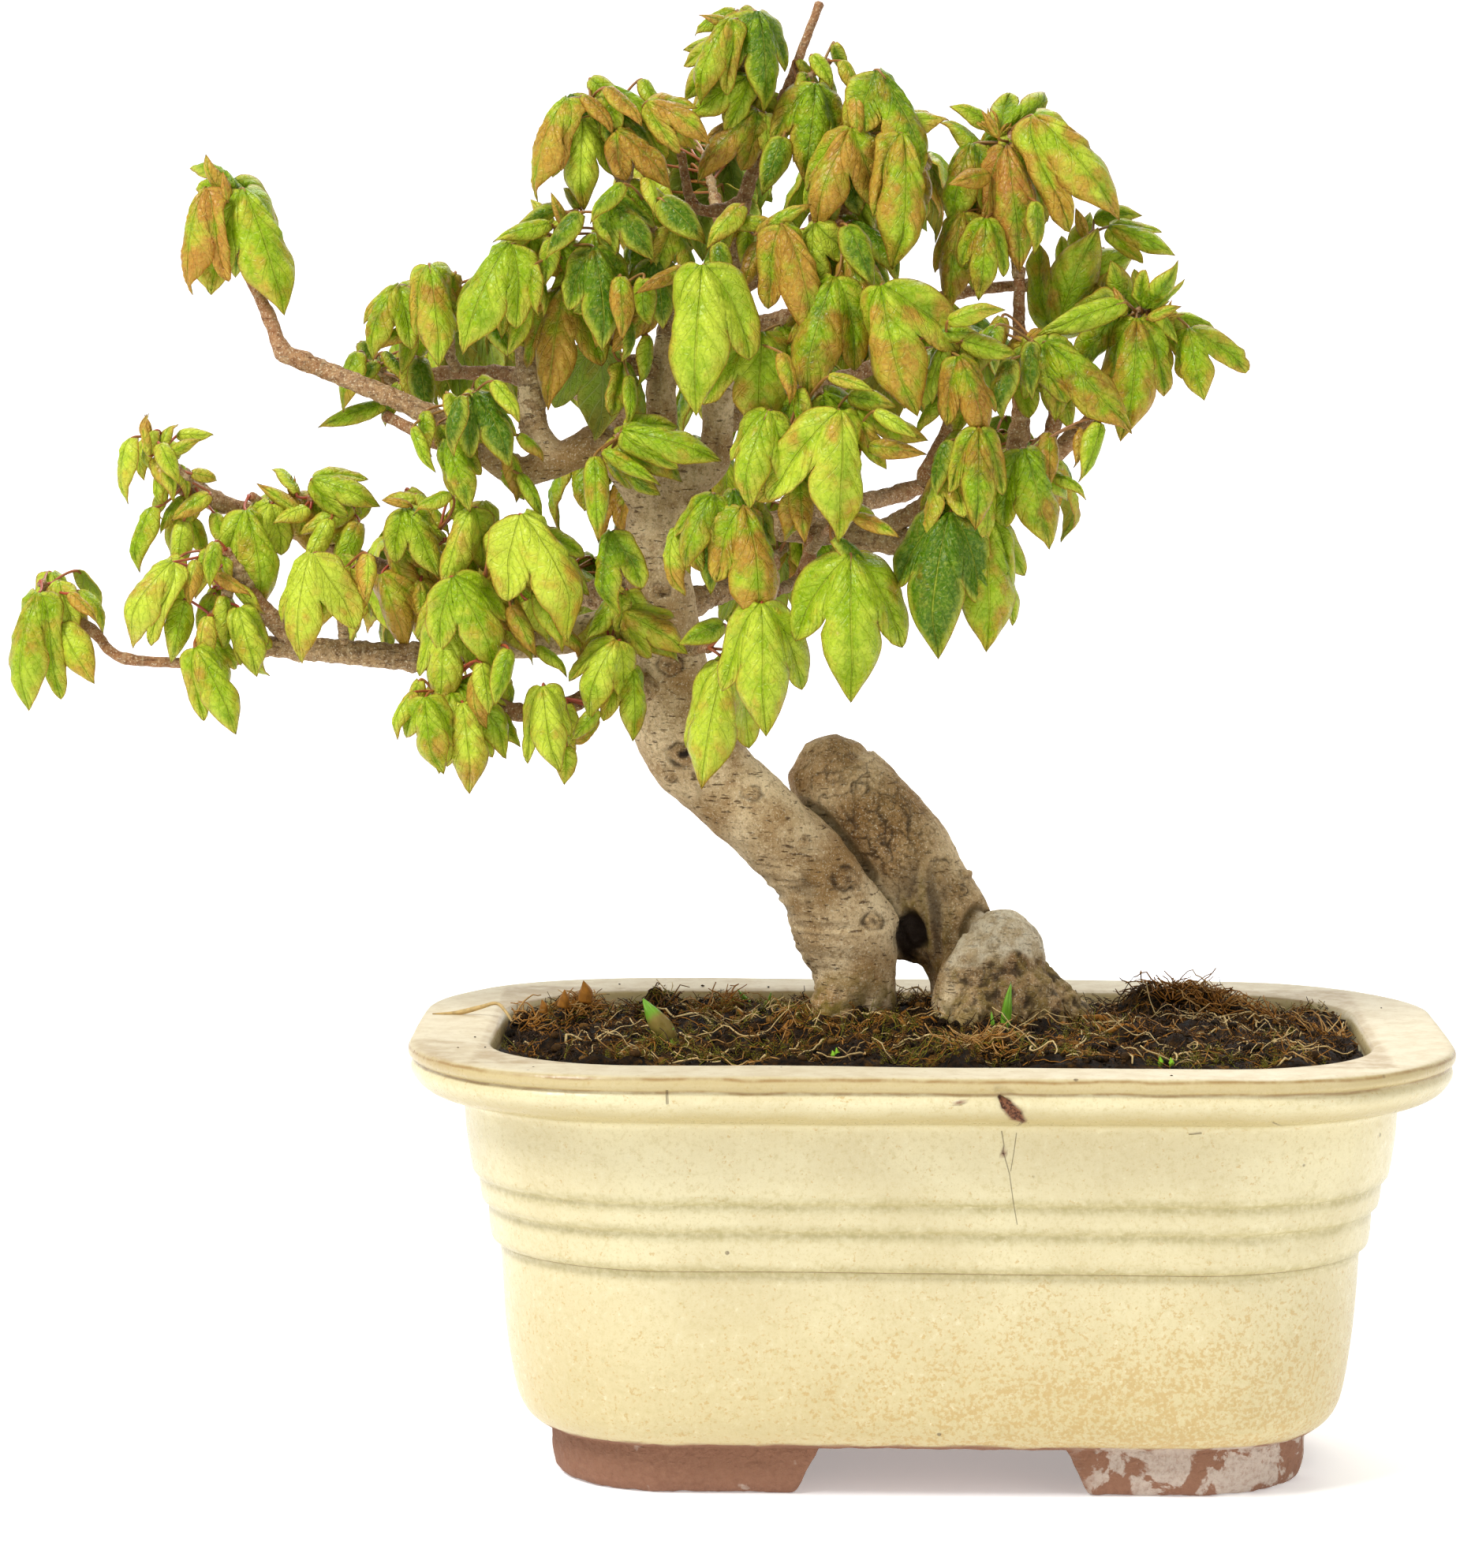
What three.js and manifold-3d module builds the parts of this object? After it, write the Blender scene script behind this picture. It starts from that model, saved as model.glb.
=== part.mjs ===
// Trident maple bonsai in a glazed, rounded-rectangular pot. Millimetres, +Z up, front towards -Y.
import * as THREE from 'three';
import { mergeVertices } from 'three/addons/utils/BufferGeometryUtils.js';
import Module from 'manifold-3d';

const wasm = await Module();
wasm.setup();

// ---------------------------------------------------------------- driving dimensions
const GAP = 0.35;                        // clearance between neighbouring pieces

// The pot's profile: height, half length and corner radius of each ring. Half width = half length - INSET.
const INSET = 32;
const POT_OUTSIDE = [
  [8.2, 65.6, 22], [9.4, 68.2, 24], [12, 70.4, 26], [16.5, 71.9, 28], [26, 73.3, 29], [39.4, 74.3, 30],
  [41.6, 75.8, 31], [46.2, 76.2, 31], [48, 77.3, 31], [51.4, 77.7, 31], [53.2, 78.8, 32],
  [60, 79.8, 32], [66.4, 80.4, 32], [67.2, 84.5, 36], [69, 88, 38.5], [71.4, 89.4, 39],
  [73.3, 88.9, 39], [74.4, 89.9, 39], [75.5, 89.6, 39],
];
const POT_INSIDE = [
  [75.9, 88.2, 38.6], [75.9, 76.4, 27.5], [75, 75, 26], [62, 74.6, 26], [30, 69, 25], [14, 66, 24],
];
const CORNER_STEPS = 4;
const FLOOR_TOP = 14;
const FOOT = {
  halfX: 65.3, halfY: 33.5, radius: 21, taper: 1.2, innerX: 51, innerY: 20, innerRadius: 6, height: 8.2,
};
const SUNK = 1;                          // how far the feet run up into the pot's floor
const FOOT_GAP_X = { left: -18.5, right: 23.1, slant: 4.7 };
const FOOT_GAP_Y = { half: 7, slant: 2.5 };
const DRAIN = { x: 36, radius: 6, sides: 14 };
const SCREEN = { half: 10, thick: 0.9, hole: 6, pitch: 8.4, lift: 0.3 };
const SOIL = { level: 73.6, wallGap: 0.4, rings: 2 };
const MOUND = { rise: 3.2, y: 4, halfX: 48, halfY: 32, front: 1.2 };
// Roughness of the soil: height, and waves per millimetre along x and y.
const CRUMBS = [[0.55, 0.42, 0.17], [0.35, 0.83, -0.6]];

// The viewpoint in front of the pot that the table places are seen from.
const EYE = new THREE.Vector3(-10.8, -899.9, 212.6);
// A table place is x and z on the upright plane through the pot's middle; seen() carries it along the
// line of sight to its own depth y, so that it keeps its place in the front view.
function seen(x, z, y) {
  const reach = (y - EYE.y) / -EYE.y;
  return new THREE.Vector3(
    EYE.x + (x - EYE.x) * reach, y, EYE.z + (z - EYE.z) * reach);
}

// Limbs of the tree: sides of the section, then x, z, depth y and radius of each station.
const LIMBS = [
  // trunk, from the roots to the first fork
  [9, [-12.2, 64, 9, 6.4], [-12.7, 80, 8.5, 7.3], [-14, 90, 8, 8.5],
    [-16, 95, 8, 8.6], [-22.3, 105, 7.5, 7.7], [-27.4, 110, 7, 7.2],
    [-38, 120, 7, 7.8], [-42, 125, 6.5, 8.3], [-44.5, 130.5, 6, 7.8], [-46.5, 145, 6, 6.4],
    [-48, 160, 5, 5.4], [-47.6, 166, 5, 4.9], [-47.4, 170, 4.5, 3.6]],
  // old second trunk, cut back to a rounded stump
  [9, [9, 66, 15, 8.4], [9, 80, 15, 9.8], [6.4, 88, 15, 8.2],
    [-0.6, 101, 15, 7.6], [-6, 108, 15.5, 8.6], [-16, 118.5, 16, 8.3], [-18, 122.8, 16, 6.4],
    [-19, 126, 16, 3]],
  // swollen root in front of the stump, with its side root
  [9, [12.2, 66, 8, 6], [12.4, 80, 8, 7.2], [12.6, 88, 7.5, 7.6], [12.3, 93, 7.5, 5.8], [12, 96, 8, 2.4]],
  [6, [11, 87, 8, 5.4], [18, 83, 9, 4.6], [23.6, 79, 9, 3.6], [27.2, 74, 9, 2.8], [29, 68, 9, 1.6]],
  [6, [12, 84, 6, 5], [8.5, 80, 0, 3.4], [6.5, 76, -5, 2.3], [5.6, 71, -8, 1.3]],
  // web of wood where both trunks meet
  [6, [-13, 99, 10, 4.6], [-7, 93, 12, 4.6], [-1, 90.6, 14, 4.2], [5, 91, 15, 4.2]],
  // leader into the crown
  [6, [-47.6, 163, 5, 4.6], [-45, 169.5, 5, 4], [-40, 172.4, 6, 3.4], [-37.5, 177, 6, 3.1],
    [-37, 190, 4, 2.6], [-36, 199, 3, 2.3], [-34.5, 208, 2, 1.9], [-33, 219.5, 0, 1.3]],
  [5, [-47.6, 166, 4, 3.6], [-48, 173, 2, 3.1], [-47, 180, 2, 2.8], [-47, 187, 1, 2.5],
    [-45.7, 197, 1, 1.9],
    [-46, 206, -1, 1.6], [-49.5, 214, -4, 1.3], [-53, 221, -6, 1.1]],
  [4, [-46.8, 189, 1, 2], [-51, 191, -1, 1.6], [-55, 191.5, -2, 1.4], [-59, 195, -4, 1.2],
    [-61.5, 202, -6, 1]],
  // middle left branch with its long bare twig
  [6, [-47.3, 164, 4, 4.2], [-51, 171, 1, 3.9], [-57, 177.3, -2, 3.6], [-61, 176, -3, 3.1],
    [-66, 173.8, -4, 2.9],
    [-72, 172.5, -5, 2.5], [-79, 177, -7, 2.1], [-87, 182, -9, 1.8], [-109, 191.5, -10, 1.5],
    [-112.5, 193, -10, 1.4], [-115, 199, -10, 1.1], [-118, 206, -9, 1], [-120.6, 213, -9, 0.8]],
  [4, [-75, 174.2, -6, 1.9], [-86, 177.5, -2, 1.2], [-95, 182, 2, 0.9]],
  [5, [-65, 174, -4, 2.8], [-69, 180, -3, 2.5], [-69.5, 190, -2, 2.3], [-71, 197, -3, 1.7],
    [-72.5, 206, -5, 1.2]],
  [4, [-68.6, 188, -2, 1.8], [-76, 189.3, 2, 1.3], [-85, 189.5, 5, 1.1], [-96, 187.2, 8, 0.8]],
  // lowest left branch, reaching past the pot
  [6, [-45.4, 141, 6, 5], [-52, 146, 3, 3.5], [-68, 143, -2, 2.8], [-78, 142, -4, 2.5],
    [-90, 140, -5, 2.3], [-110, 141.5, -5, 2], [-117, 141.6, -5, 1.6], [-123, 139.3, -6, 1],
    [-140, 139.5, -7, 0.9], [-146, 144.5, -6, 0.9], [-153.5, 150.5, -5, 0.7]],
  [4, [-110, 141.5, -5, 1.7], [-115, 147, -7, 1.5], [-119.5, 153, -9, 1.1]],
  [5, [-73, 142.6, -3, 2.2], [-77, 147, 0, 1.9], [-95, 155, 7, 1.7], [-106, 160, 8, 1.6],
    [-118, 165, 5, 1.5], [-124, 167, 3, 1.6], [-131, 171, 1, 2.3]],
  [5, [-45.2, 134, 4, 3.6], [-54, 135.4, -2, 1.8], [-65, 131, -8, 1.5], [-72, 130.5, -12, 1.4],
    [-78, 133, -14, 1.3],
    [-84.5, 135, -15, 1]],
  // right branch
  [5, [-46.6, 160, 5, 3.8], [-40, 164.6, 2, 2.6], [-30, 163, -3, 2.3], [-13, 161.5, -8, 2.3],
    [-5, 160.5, -10, 2.2],
    [2, 162.5, -11, 2.1], [9, 166, -11, 1.9], [17, 172, -11, 1.8], [24, 178.5, -10, 1.5],
    [29, 184, -10, 1.3],
    [33.5, 194, -10, 0.9]],
  [4, [-9, 162, -9, 1.9], [0, 168, -13, 1.4], [-1, 172, -15, 1.3], [1, 176, -15, 1.2], [3.5, 182, -15, 1]],
  [4, [17.5, 172.5, -11, 1.5], [21, 181, -9, 1.2], [20.3, 187, -8, 1]],
  [4, [12, 168.5, -11, 1.6], [15, 179, -12, 1.7], [15, 187, -12, 1.3], [14.6, 208, -11, 0.9]],
  [4, [-21, 162, -6, 1.5], [-21.5, 157, -12, 1.1], [-24.4, 152, -15, 0.9]],
  // branches in the crown
  [4, [-36.4, 196, 3, 1.9], [-25, 199, 0, 1.5], [-12, 201, -4, 1.2], [17, 205, 1, 0.9]],
  [4, [-35.3, 203, 2, 1.8], [-27, 208.5, -2, 1.5], [-20.5, 211, -5, 1.4], [-16, 216, -7, 1.2],
    [-13, 221, -8, 1]],
  [4, [-20.6, 209, -5, 1.1], [-20.6, 217, -5, 0.9]],
  [4, [-33.6, 217, 0, 1.4], [-30, 227, 1, 1.1], [-26, 236, 0, 0.9], [-19.8, 252.8, -2, 0.7]],
  [4, [-33, 219, 0, 1.2], [-37.5, 217.4, -1, 1], [-41.5, 218.5, -2, 0.9], [-43.5, 227.5, -2, 0.7]],
  // branches at the back
  [5, [-46.5, 147, 6, 4], [-41, 150, 15, 2.4], [-33, 153, 26, 1.9], [-27, 157, 35, 1.3]],
  [5, [-46.5, 150, 6, 4], [-58, 151, 15, 2.3], [-70, 151, 25, 1.8], [-84, 153, 33, 1.2]],
  [5, [-47.5, 158, 6, 4], [-49, 163, 19, 2.2], [-46, 168, 31, 1.4]],
  [4, [-30, 163, -2, 2], [-18, 166, 10, 1.8], [-5, 169, 22, 1.5], [8, 174, 30, 1]],
  [5, [-38, 180, 5, 2.4], [-28, 184, 15, 2], [-16, 188, 25, 1.6], [-5, 193, 31, 1]],
  [5, [-47.6, 172, 3, 2.8], [-55, 182, 13, 2.2], [-66, 190, 22, 1.6], [-76, 197, 28, 1]],
  [4, [-34.7, 206, 2, 1.9], [-36, 212, 10, 1.5], [-38, 220, 19, 1]],
  [4, [-26, 209, -2, 1.4], [-19, 214, 9, 1.2], [-11, 221, 15, 0.8]],
];

// Leafy shoots: name, stems (x, z, y of each station), then leaves. A leaf is the place of its base,
// the place of its tip, the way it faces (degrees, 0 = front, + = right), its breadth and its tint.
const SHOOTS = [
  ['low_1', [[[-152, 149.4, -5], [-155, 153, -7]]], [
    [-155.5, 151, -158.8, 130.5, -18, 0.9, 1], [-151.5, 145.5, -146, 135, -15, 1.1, 1],
    [-148.5, 155, -144, 148, 150, 0.9, 1], [-150, 151, -145.5, 146, 35, 0.8, 4]]],
  ['low_2', [[[-126, 168, 3], [-129, 170.6, -3], [-134, 177, -4]]], [
    [-139, 178, -140, 166.5, -45, 0.9, 1], [-136, 175, -136.5, 182, -20, 0.5, 4],
    [-132, 175.5, -127, 178, 30, 0.8, 1], [-134, 177, -131, 170, 10, 1, 1],
    [-125.5, 168.3, -132, 163.5, -10, 0.9, 3],
    [-135, 166, -139, 155, -40, 0.9, 1], [-130, 163.5, -131, 154, 0, 0.9, 1],
    [-124.5, 165, -123, 158, 20, 0.9, 1]]],
  ['low_3', [[[-118.5, 152, -9], [-122.5, 158.5, -12]], [[-118.5, 152, -9], [-125, 147, -13]]], [
    [-124.5, 160, -126, 152, 0, 0.8, 0], [-132, 156.5, -141, 142.5, -25, 1, 2],
    [-124.5, 154.5, -118.5, 150, 30, 0.7, 4],
    [-130, 149.8, -132.5, 138.8, 15, 0.9, 1], [-126, 147, -127, 136.5, -20, 0.8, 3],
    [-120.5, 148.5, -117.5, 136.5, 0, 1, 1], [-128, 141.5, -121, 126.5, 15, 0.9, 1]]],
  ['low_4', [[[-110, 161.6, 7], [-107.5, 168, 2]], [[-110, 161.6, 7], [-118.5, 168, -1]]], [
    [-119, 165.5, -115.5, 148, 22, 1, 1], [-107.5, 171, -96, 166.5, 0, 0.9, 1],
    [-110, 165.5, -117, 170.5, -20, 0.6, 4],
    [-100.5, 166, -110, 161, -10, 0.8, 1], [-104.5, 164, -109, 155, -10, 0.8, 1],
    [-99.5, 163.5, -104, 153, 5, 0.8, 1]]],
  ['low_5', [[[-102, 141.4, -5], [-103, 154, -12]]], [
    [-107.5, 158, -110.5, 139, -22, 0.9, 2], [-101, 155.5, -108.5, 144, -30, 0.8, 3],
    [-98, 158, -98, 150, 20, 0.9, 4]]],
  ['low_6', [[[-86, 150.8, 4], [-91.5, 163, 0]], [[-86, 150.8, 4], [-79, 162, -4]]], [
    [-91.5, 166, -85.5, 154, 15, 0.9, 1], [-89.3, 168.5, -84, 161, 60, 0.8, 1],
    [-90.5, 166.5, -95.5, 167.5, -20, 0.6, 4],
    [-95.5, 154.5, -90, 141.5, -10, 0.9, 4], [-79.5, 166, -84.5, 151, -20, 0.9, 3],
    [-76, 163.5, -75, 155, 25, 0.9, 1],
    [-86, 152, -85, 143, 0, 0.9, 0]]],
  ['low_7', [[[-76, 142.8, -4], [-71, 158, -12]], [[-76, 142.8, -4], [-84, 150, -13]]], [
    [-71, 165, -61, 144, 28, 1, 2], [-73, 149, -69, 140, 10, 0.8, 4], [-68, 152, -64, 141, 30, 0.9, 1],
    [-83, 154, -75, 138, 12, 1, 1], [-84, 148, -85, 130.5, -10, 0.9, 1],
    [-68.5, 142, -63, 137, 40, 0.8, 1]]],
  ['low_8', [[[-82.5, 135, -14.6], [-86.5, 134, -18]]], [
    [-90, 134, -94, 126, -35, 0.8, 3], [-88, 133, -86, 119.5, -12, 1, 1], [-81.5, 132, -79, 116.5, 0, 1, 3],
    [-83, 135.5, -72, 124.8, 25, 0.9, 0], [-73.5, 141.5, -76, 131.5, 20, 0.8, 0]]],
  ['low_9', [[[-64, 131.5, -7.6], [-67, 134.5, -13]]], [
    [-67.5, 135, -66, 119.8, 0, 0.95, 2], [-63.5, 124.5, -63.5, 117.8, 0, 1.2, 1],
    [-58, 131, -62.5, 125.5, 15, 0.9, 0]]],
  ['low_10', [[[-54, 146.2, 2], [-54, 158, -5]], [[-54, 146.2, 2], [-56, 141.5, -9]]], [
    [-54.5, 143, -61, 130, -15, 1, 2], [-52, 138.5, -52, 125.5, 15, 0.9, 1],
    [-55.5, 162, -56.5, 147.5, -30, 0.9, 0],
    [-53.5, 148, -42, 141.5, 5, 0.9, 3]]],
  ['mid_1', [[[-53, 173.6, 0], [-54, 178.5, -7]]], [
    [-53.5, 179.5, -36.5, 174.5, 5, 0.75, 1], [-58.5, 175, -57.5, 160, 0, 0.6, 3],
    [-57, 176, -47, 170, 10, 0.5, 1]]],
  ['mid_2', [[[-79.5, 177.5, -7], [-80.5, 184, -8]]], [
    [-84, 178, -79.5, 165.5, -10, 0.9, 1], [-90, 180, -86.5, 172, -20, 0.6, 1],
    [-79, 186, -72.5, 173.5, 20, 0.9, 0],
    [-81.5, 185.5, -83.5, 175, -30, 0.8, 0], [-76, 188, -71, 181, 15, 0.8, 2],
    [-71.5, 172, -67.3, 164, 20, 0.6, 1]]],
  ['mid_3', [[[-119.7, 211, -9], [-121.5, 219.5, -9]]], [
    [-125.5, 221, -128, 202.8, -38, 0.9, 5], [-119, 221, -112.5, 199.5, 18, 1, 2],
    [-122, 219, -122.4, 224, 0, 0.6, 5]]],
  ['mid_4', [[[-82, 189.6, 4], [-86.5, 198, 1], [-91, 204, -2]], [[-82, 189.6, 4], [-84, 204, -1]]], [
    [-92.3, 204.5, -98, 192, -30, 0.9, 1], [-88, 198, -97.5, 193, -20, 0.6, 4],
    [-90, 197, -92, 189, 0, 0.8, 2],
    [-87, 208, -84.5, 190.5, 5, 0.9, 3], [-78, 206, -83, 199, 0, 0.8, 0]]],
  ['mid_5', [[[-72, 203, -4.5], [-72.8, 211, -10]]], [
    [-73, 211.5, -81, 192.5, -22, 1.05, 2], [-77, 199, -72.5, 191, 20, 0.8, 0],
    [-70, 201, -73, 192, 0, 0.8, 2],
    [-70, 210, -67, 199, 60, 0.8, 1]]],
  ['mid_6', [[[-93, 187.8, 7.4], [-98, 191, 3]]], [
    [-99.5, 193, -102, 182.5, -30, 1, 1], [-95, 184, -106.5, 179.8, -20, 0.6, 1],
    [-89, 192, -87.5, 181, 10, 0.9, 0],
    [-95, 193, -91, 187, 60, 0.8, 0]]],
  ['crown_1', [[[-51.5, 218, -5], [-57, 229, -8], [-59, 236, -9]], [[-53.5, 222, -6], [-51, 233, -11]]], [
    [-63, 236.5, -68, 219, -38, 1, 3], [-60.5, 233, -60.5, 217.5, 0, 0.9, 2],
    [-60.5, 237, -54.5, 231, 20, 0.7, 4],
    [-56.5, 238.5, -50, 232, 35, 0.8, 4], [-54.5, 231, -45, 222, 15, 0.9, 4],
    [-49.3, 236, -38, 230, 10, 0.8, 4],
    [-46.8, 237.3, -44, 230, 60, 0.8, 1]]],
  ['crown_2', [[[-47, 208.6, -2], [-50, 219, -11]]], [
    [-56, 219.5, -48, 209, 10, 0.9, 0], [-47, 219.5, -39.5, 211.5, 15, 1.1, 0],
    [-53.5, 222, -59.5, 215.5, -20, 0.8, 1],
    [-48, 209, -46.5, 197, 10, 1, 0]]],
  ['crown_3', [[[-61.3, 200.8, -6], [-63, 209, -8], [-63.5, 217, -10]]], [
    [-63.5, 214.5, -66, 220.5, 0, 0.6, 4], [-61, 217, -67, 209, -20, 0.9, 0],
    [-58, 217, -54, 210, 15, 0.9, 1],
    [-66, 215, -76, 212, -20, 0.7, 1], [-69, 208, -68, 199, -40, 0.8, 1],
    [-58.5, 211, -56, 193.5, 10, 0.9, 0],
    [-63.5, 204.5, -66, 183, -12, 0.8, 4]]],
  ['crown_4', [[[-55, 191.8, -2], [-55.5, 203, -9]]], [
    [-54, 206, -53.5, 195, 0, 0.8, 4], [-43, 207.5, -51.5, 203, 0, 0.6, 4],
    [-57.5, 194, -58.5, 178, 160, 1.2, 1],
    [-52.5, 189, -52, 180, 10, 0.6, 1]]],
  ['crown_5', [[[-31, 225, 0.8], [-32.5, 240, -3], [-32.7, 250.5, -3.5]]], [
    [-30.5, 251.3, -29.5, 234.5, 20, 0.9, 0], [-35, 250, -41, 236, -25, 0.9, 3],
    [-33, 248.5, -40.5, 250.5, 0, 0.6, 4],
    [-32, 240.3, -42, 233, -15, 1, 1], [-30.5, 234.5, -41, 222.5, -20, 0.8, 4],
    [-29, 234, -28.5, 226, 0, 1.3, 2]]],
  ['crown_6', [[[-28, 231.5, 0.6], [-24, 238, -5], [-18, 243, -1]]], [
    [-26, 230, -29.5, 220, 0, 1, 0], [-20.5, 239, -21.5, 222.5, 5, 1, 1],
    [-26, 236.5, -22.5, 227, 50, 0.7, 0],
    [-21, 244, -17, 238.5, 10, 0.9, 1], [-16, 243, -13, 236.5, 30, 0.9, 3]]],
  ['crown_7', [[[-13.6, 220, -8], [-12.5, 230, -12], [-10.5, 240.5, -11]]], [
    [-9.5, 241.5, -2, 223, 30, 1, 1], [-13.5, 237, -13, 229, 0, 0.8, 4], [-12, 224, -8.5, 234, 10, 0.6, 4],
    [-14.5, 231.5, -20, 213.5, -18, 0.9, 4], [-5.5, 230.5, -5, 207.5, 15, 0.9, 3],
    [-16, 226, -18, 212, -50, 0.8, 0]]],
  ['crown_8', [[[-34, 213, 1.4], [-34, 217, -10]]], [
    [-33, 218.5, -39, 210.5, -20, 0.9, 1], [-30.5, 213.5, -21, 218.5, 0, 0.6, 4],
    [-30, 212, -33, 203.5, -10, 0.9, 4],
    [-37, 212, -36, 202.5, 0, 0.8, 0]]],
  ['crown_9', [[[-22, 210.6, -4.4], [-24.5, 214, -14]], [[-22, 210.6, -4.4], [-16, 215, -14]]], [
    [-26, 215, -20.5, 195.5, 18, 0.9, 4], [-18.5, 212, -17.5, 203, 0, 0.8, 0],
    [-15, 215, -10.5, 204, 10, 0.9, 0],
    [-14, 215.5, -5, 206, 40, 0.9, 0], [-17, 206, -22, 184.5, -15, 0.95, 3]]],
  ['crown_10', [[[-36, 200, 2.6], [-38.5, 206, -19]]], [[-39.8, 208, -40, 182.5, -8, 1, 2]]],
  ['crown_11', [[[-10, 201, -4], [-9.5, 203.5, -15]]], [[-9, 204.5, -3.5, 182, -14, 1, 3]]],
  ['crown_12', [[[-37.4, 188.5, 4.2], [-32, 195, -10]]], [
    [-29.5, 196.5, -30.5, 178.5, 0, 1.2, 3], [-26, 193, -24.5, 184, 30, 0.8, 4]]],
  ['mid_7', [[[-24, 162.6, -4.8], [-25.5, 178, -14]], [[-24, 162.6, -4.8], [-15, 175, -16]]], [
    [-28.5, 183, -33, 166.5, -15, 0.9, 2], [-23, 171, -22, 160, 0, 0.8, 4],
    [-18, 189, -10, 186.5, 0, 0.6, 2],
    [-10, 183, -2.5, 178.5, 0, 0.7, 2], [-16, 183, -17.5, 160.5, 18, 1.05, 2],
    [-11, 177, -1, 175.5, 10, 0.7, 4]]],
  ['mid_8', [[[-36.5, 164.4, 0], [-39.5, 168.4, -9]], [[-36.5, 164.4, 0], [-32.5, 165.5, -13]]], [
    [-38, 168.5, -43, 155.5, -15, 0.95, 3], [-44, 163, -45, 151, -40, 0.8, 3],
    [-38, 163, -38, 151, 0, 0.9, 0],
    [-32.5, 166.5, -29.5, 145, 20, 1, 4]]],
  ['low_11', [[[-44, 141, 2], [-38.5, 141.8, -10]]], [
    [-36, 139, -39, 117, -12, 0.95, 2], [-36, 146, -44, 142.5, -10, 1, 0]]],
  ['low_12', [[[-23.6, 153.4, -14], [-27, 151.5, -20]]], [[-29.5, 149.5, -28.3, 126.5, 0, 0.95, 2]]],
  ['mid_9', [[[-21.3, 158.6, -10], [-17.5, 163, -19]]], [
    [-14, 158, -14.2, 132.5, 0, 1, 2], [-17, 161, -10.5, 155, 45, 0.8, 0],
    [-13.5, 165, -5.5, 161, 20, 0.7, 4]]],
  ['right_1', [[[14.6, 206, -11], [13.4, 222, -10], [13, 231, -10]]], [
    [17, 233.8, 31, 215.5, 15, 1, 3], [12.5, 228.5, 15, 207, 0, 0.8, 5], [6.5, 228.8, 3, 214.5, -20, 1, 1],
    [11, 230, 8, 234.5, 0, 0.6, 4], [5, 217, 2.5, 200.5, -15, 0.8, 4], [9, 216, 8, 202, 0, 0.8, 1],
    [17.5, 219, 17.5, 210, 20, 0.8, 1]]],
  ['right_2', [[[15.5, 204.4, 0.6], [21, 206, -1], [28, 214, -3]]], [
    [21, 196.5, 27, 215, 5, 1, 1], [30.2, 214.8, 41.5, 210, 0, 0.7, 1], [26, 213, 24.5, 218, 0, 0.8, 4]]],
  ['right_3', [[[32.6, 192, -10], [35, 200, -10], [40, 200.6, -11]]], [
    [33, 201.8, 17.5, 196, -5, 0.6, 2], [33, 199.5, 31, 204.5, 0, 0.7, 4],
    [37, 199, 42.5, 201.5, 10, 0.7, 4],
    [35, 199, 34.5, 178, 0, 0.9, 3], [44, 197.3, 47, 185, -10, 1.1, 1], [38, 201, 42, 194.5, 30, 0.8, 1]]],
  ['right_4', [[[20.6, 184, -8.6], [19, 193, -14]]], [
    [19.5, 195, 33.5, 178.5, 12, 0.9, 3], [17, 195, 16.5, 185, 0, 0.8, 0],
    [13.5, 192, 10.5, 182, -20, 0.9, 0],
    [11, 198, 6, 188, -30, 0.9, 1]]],
  ['right_5', [[[3, 180.4, -15], [3, 193, -17]]], [
    [2.5, 198.5, 12, 201.5, 0, 0.7, 2], [4.5, 192.5, 9.5, 177.5, 12, 0.8, 4],
    [2, 194, -1, 184.5, -20, 0.8, 2],
    [2, 186, -3, 178.5, -50, 0.7, 1]]],
  ['right_6', [[[17, 172, -11], [15.5, 175.4, -17]]], [
    [15.8, 176.5, 19.5, 159, 14, 1.05, 1], [20.5, 172, 27, 168.5, 50, 0.7, 1],
    [29, 181, 25, 171, 30, 0.8, 1]]],
  ['right_7', [[[6.2, 164.7, -11], [5.5, 168, -18], [7.5, 177, -20]]], [
    [3, 165.5, -1, 140.5, -8, 0.95, 0], [9, 165, 9.5, 141.5, 10, 1, 2], [8, 180, 8, 162.5, 0, 0.8, 3],
    [3, 178, 0.5, 168, -40, 0.8, 0]]],
];

// Shoots on the far side, grown by rule: name, root (x, z, y), growing direction (x, z).
const BACK_SHOOTS = [
  ['back_1', [-28, 156.4, 33.5], [0.3, 0.35]], ['back_2', [-80, 152.4, 30.5], [-0.6, 0.3]],
  ['back_3', [-47, 166, 26.7], [-0.1, 0.5]], ['back_4', [4, 172.4, 27.5], [0.5, 0.3]],
  ['back_5', [-8, 191.6, 29.2], [0.4, 0.5]], ['back_6', [-72, 194.2, 25.8], [-0.5, 0.4]],
  ['back_7', [-37.4, 217.6, 16.3], [-0.2, 0.8]], ['back_8', [-13.4, 218.8, 13.8], [0.4, 0.5]],
  ['back_9', [-66, 151.2, 21.5], [0.1, 0.2]], ['back_10', [-24, 185.4, 18.9], [-0.2, 0.2]],
];
const BACK_GROW_Y = 0.75;                // how much such a shoot grows away from the front
const BACK_STEM = 14;                    // length of such a shoot's stem
const BACK_LEAF = 19;                    // mean length of its leaves
const BACK_PAIRS = 3;                    // pairs of leaves on it
const BACK_SEED = 71;
const BACK_SEED_STEP = 13;
const BACK_DRAWS = 12;                   // places that are drawn for each, to keep the freest
// Lowest value and range of what is drawn for a leaf there: its heading to the side of the stem in
// radians, its length, the way from stem to blade, the rise on that way, how far the tip leans out
// and hangs down per length, and its breadth.
const BACK_RANGE = {
  heading: [0.3, 1.3], size: [0.75, 0.5], away: [5, 6], rise: [-1, 7], out: [0.25, 0.3], hang: [0.75, 0.2],
  spread: [0.85, 0.2],
};

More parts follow.
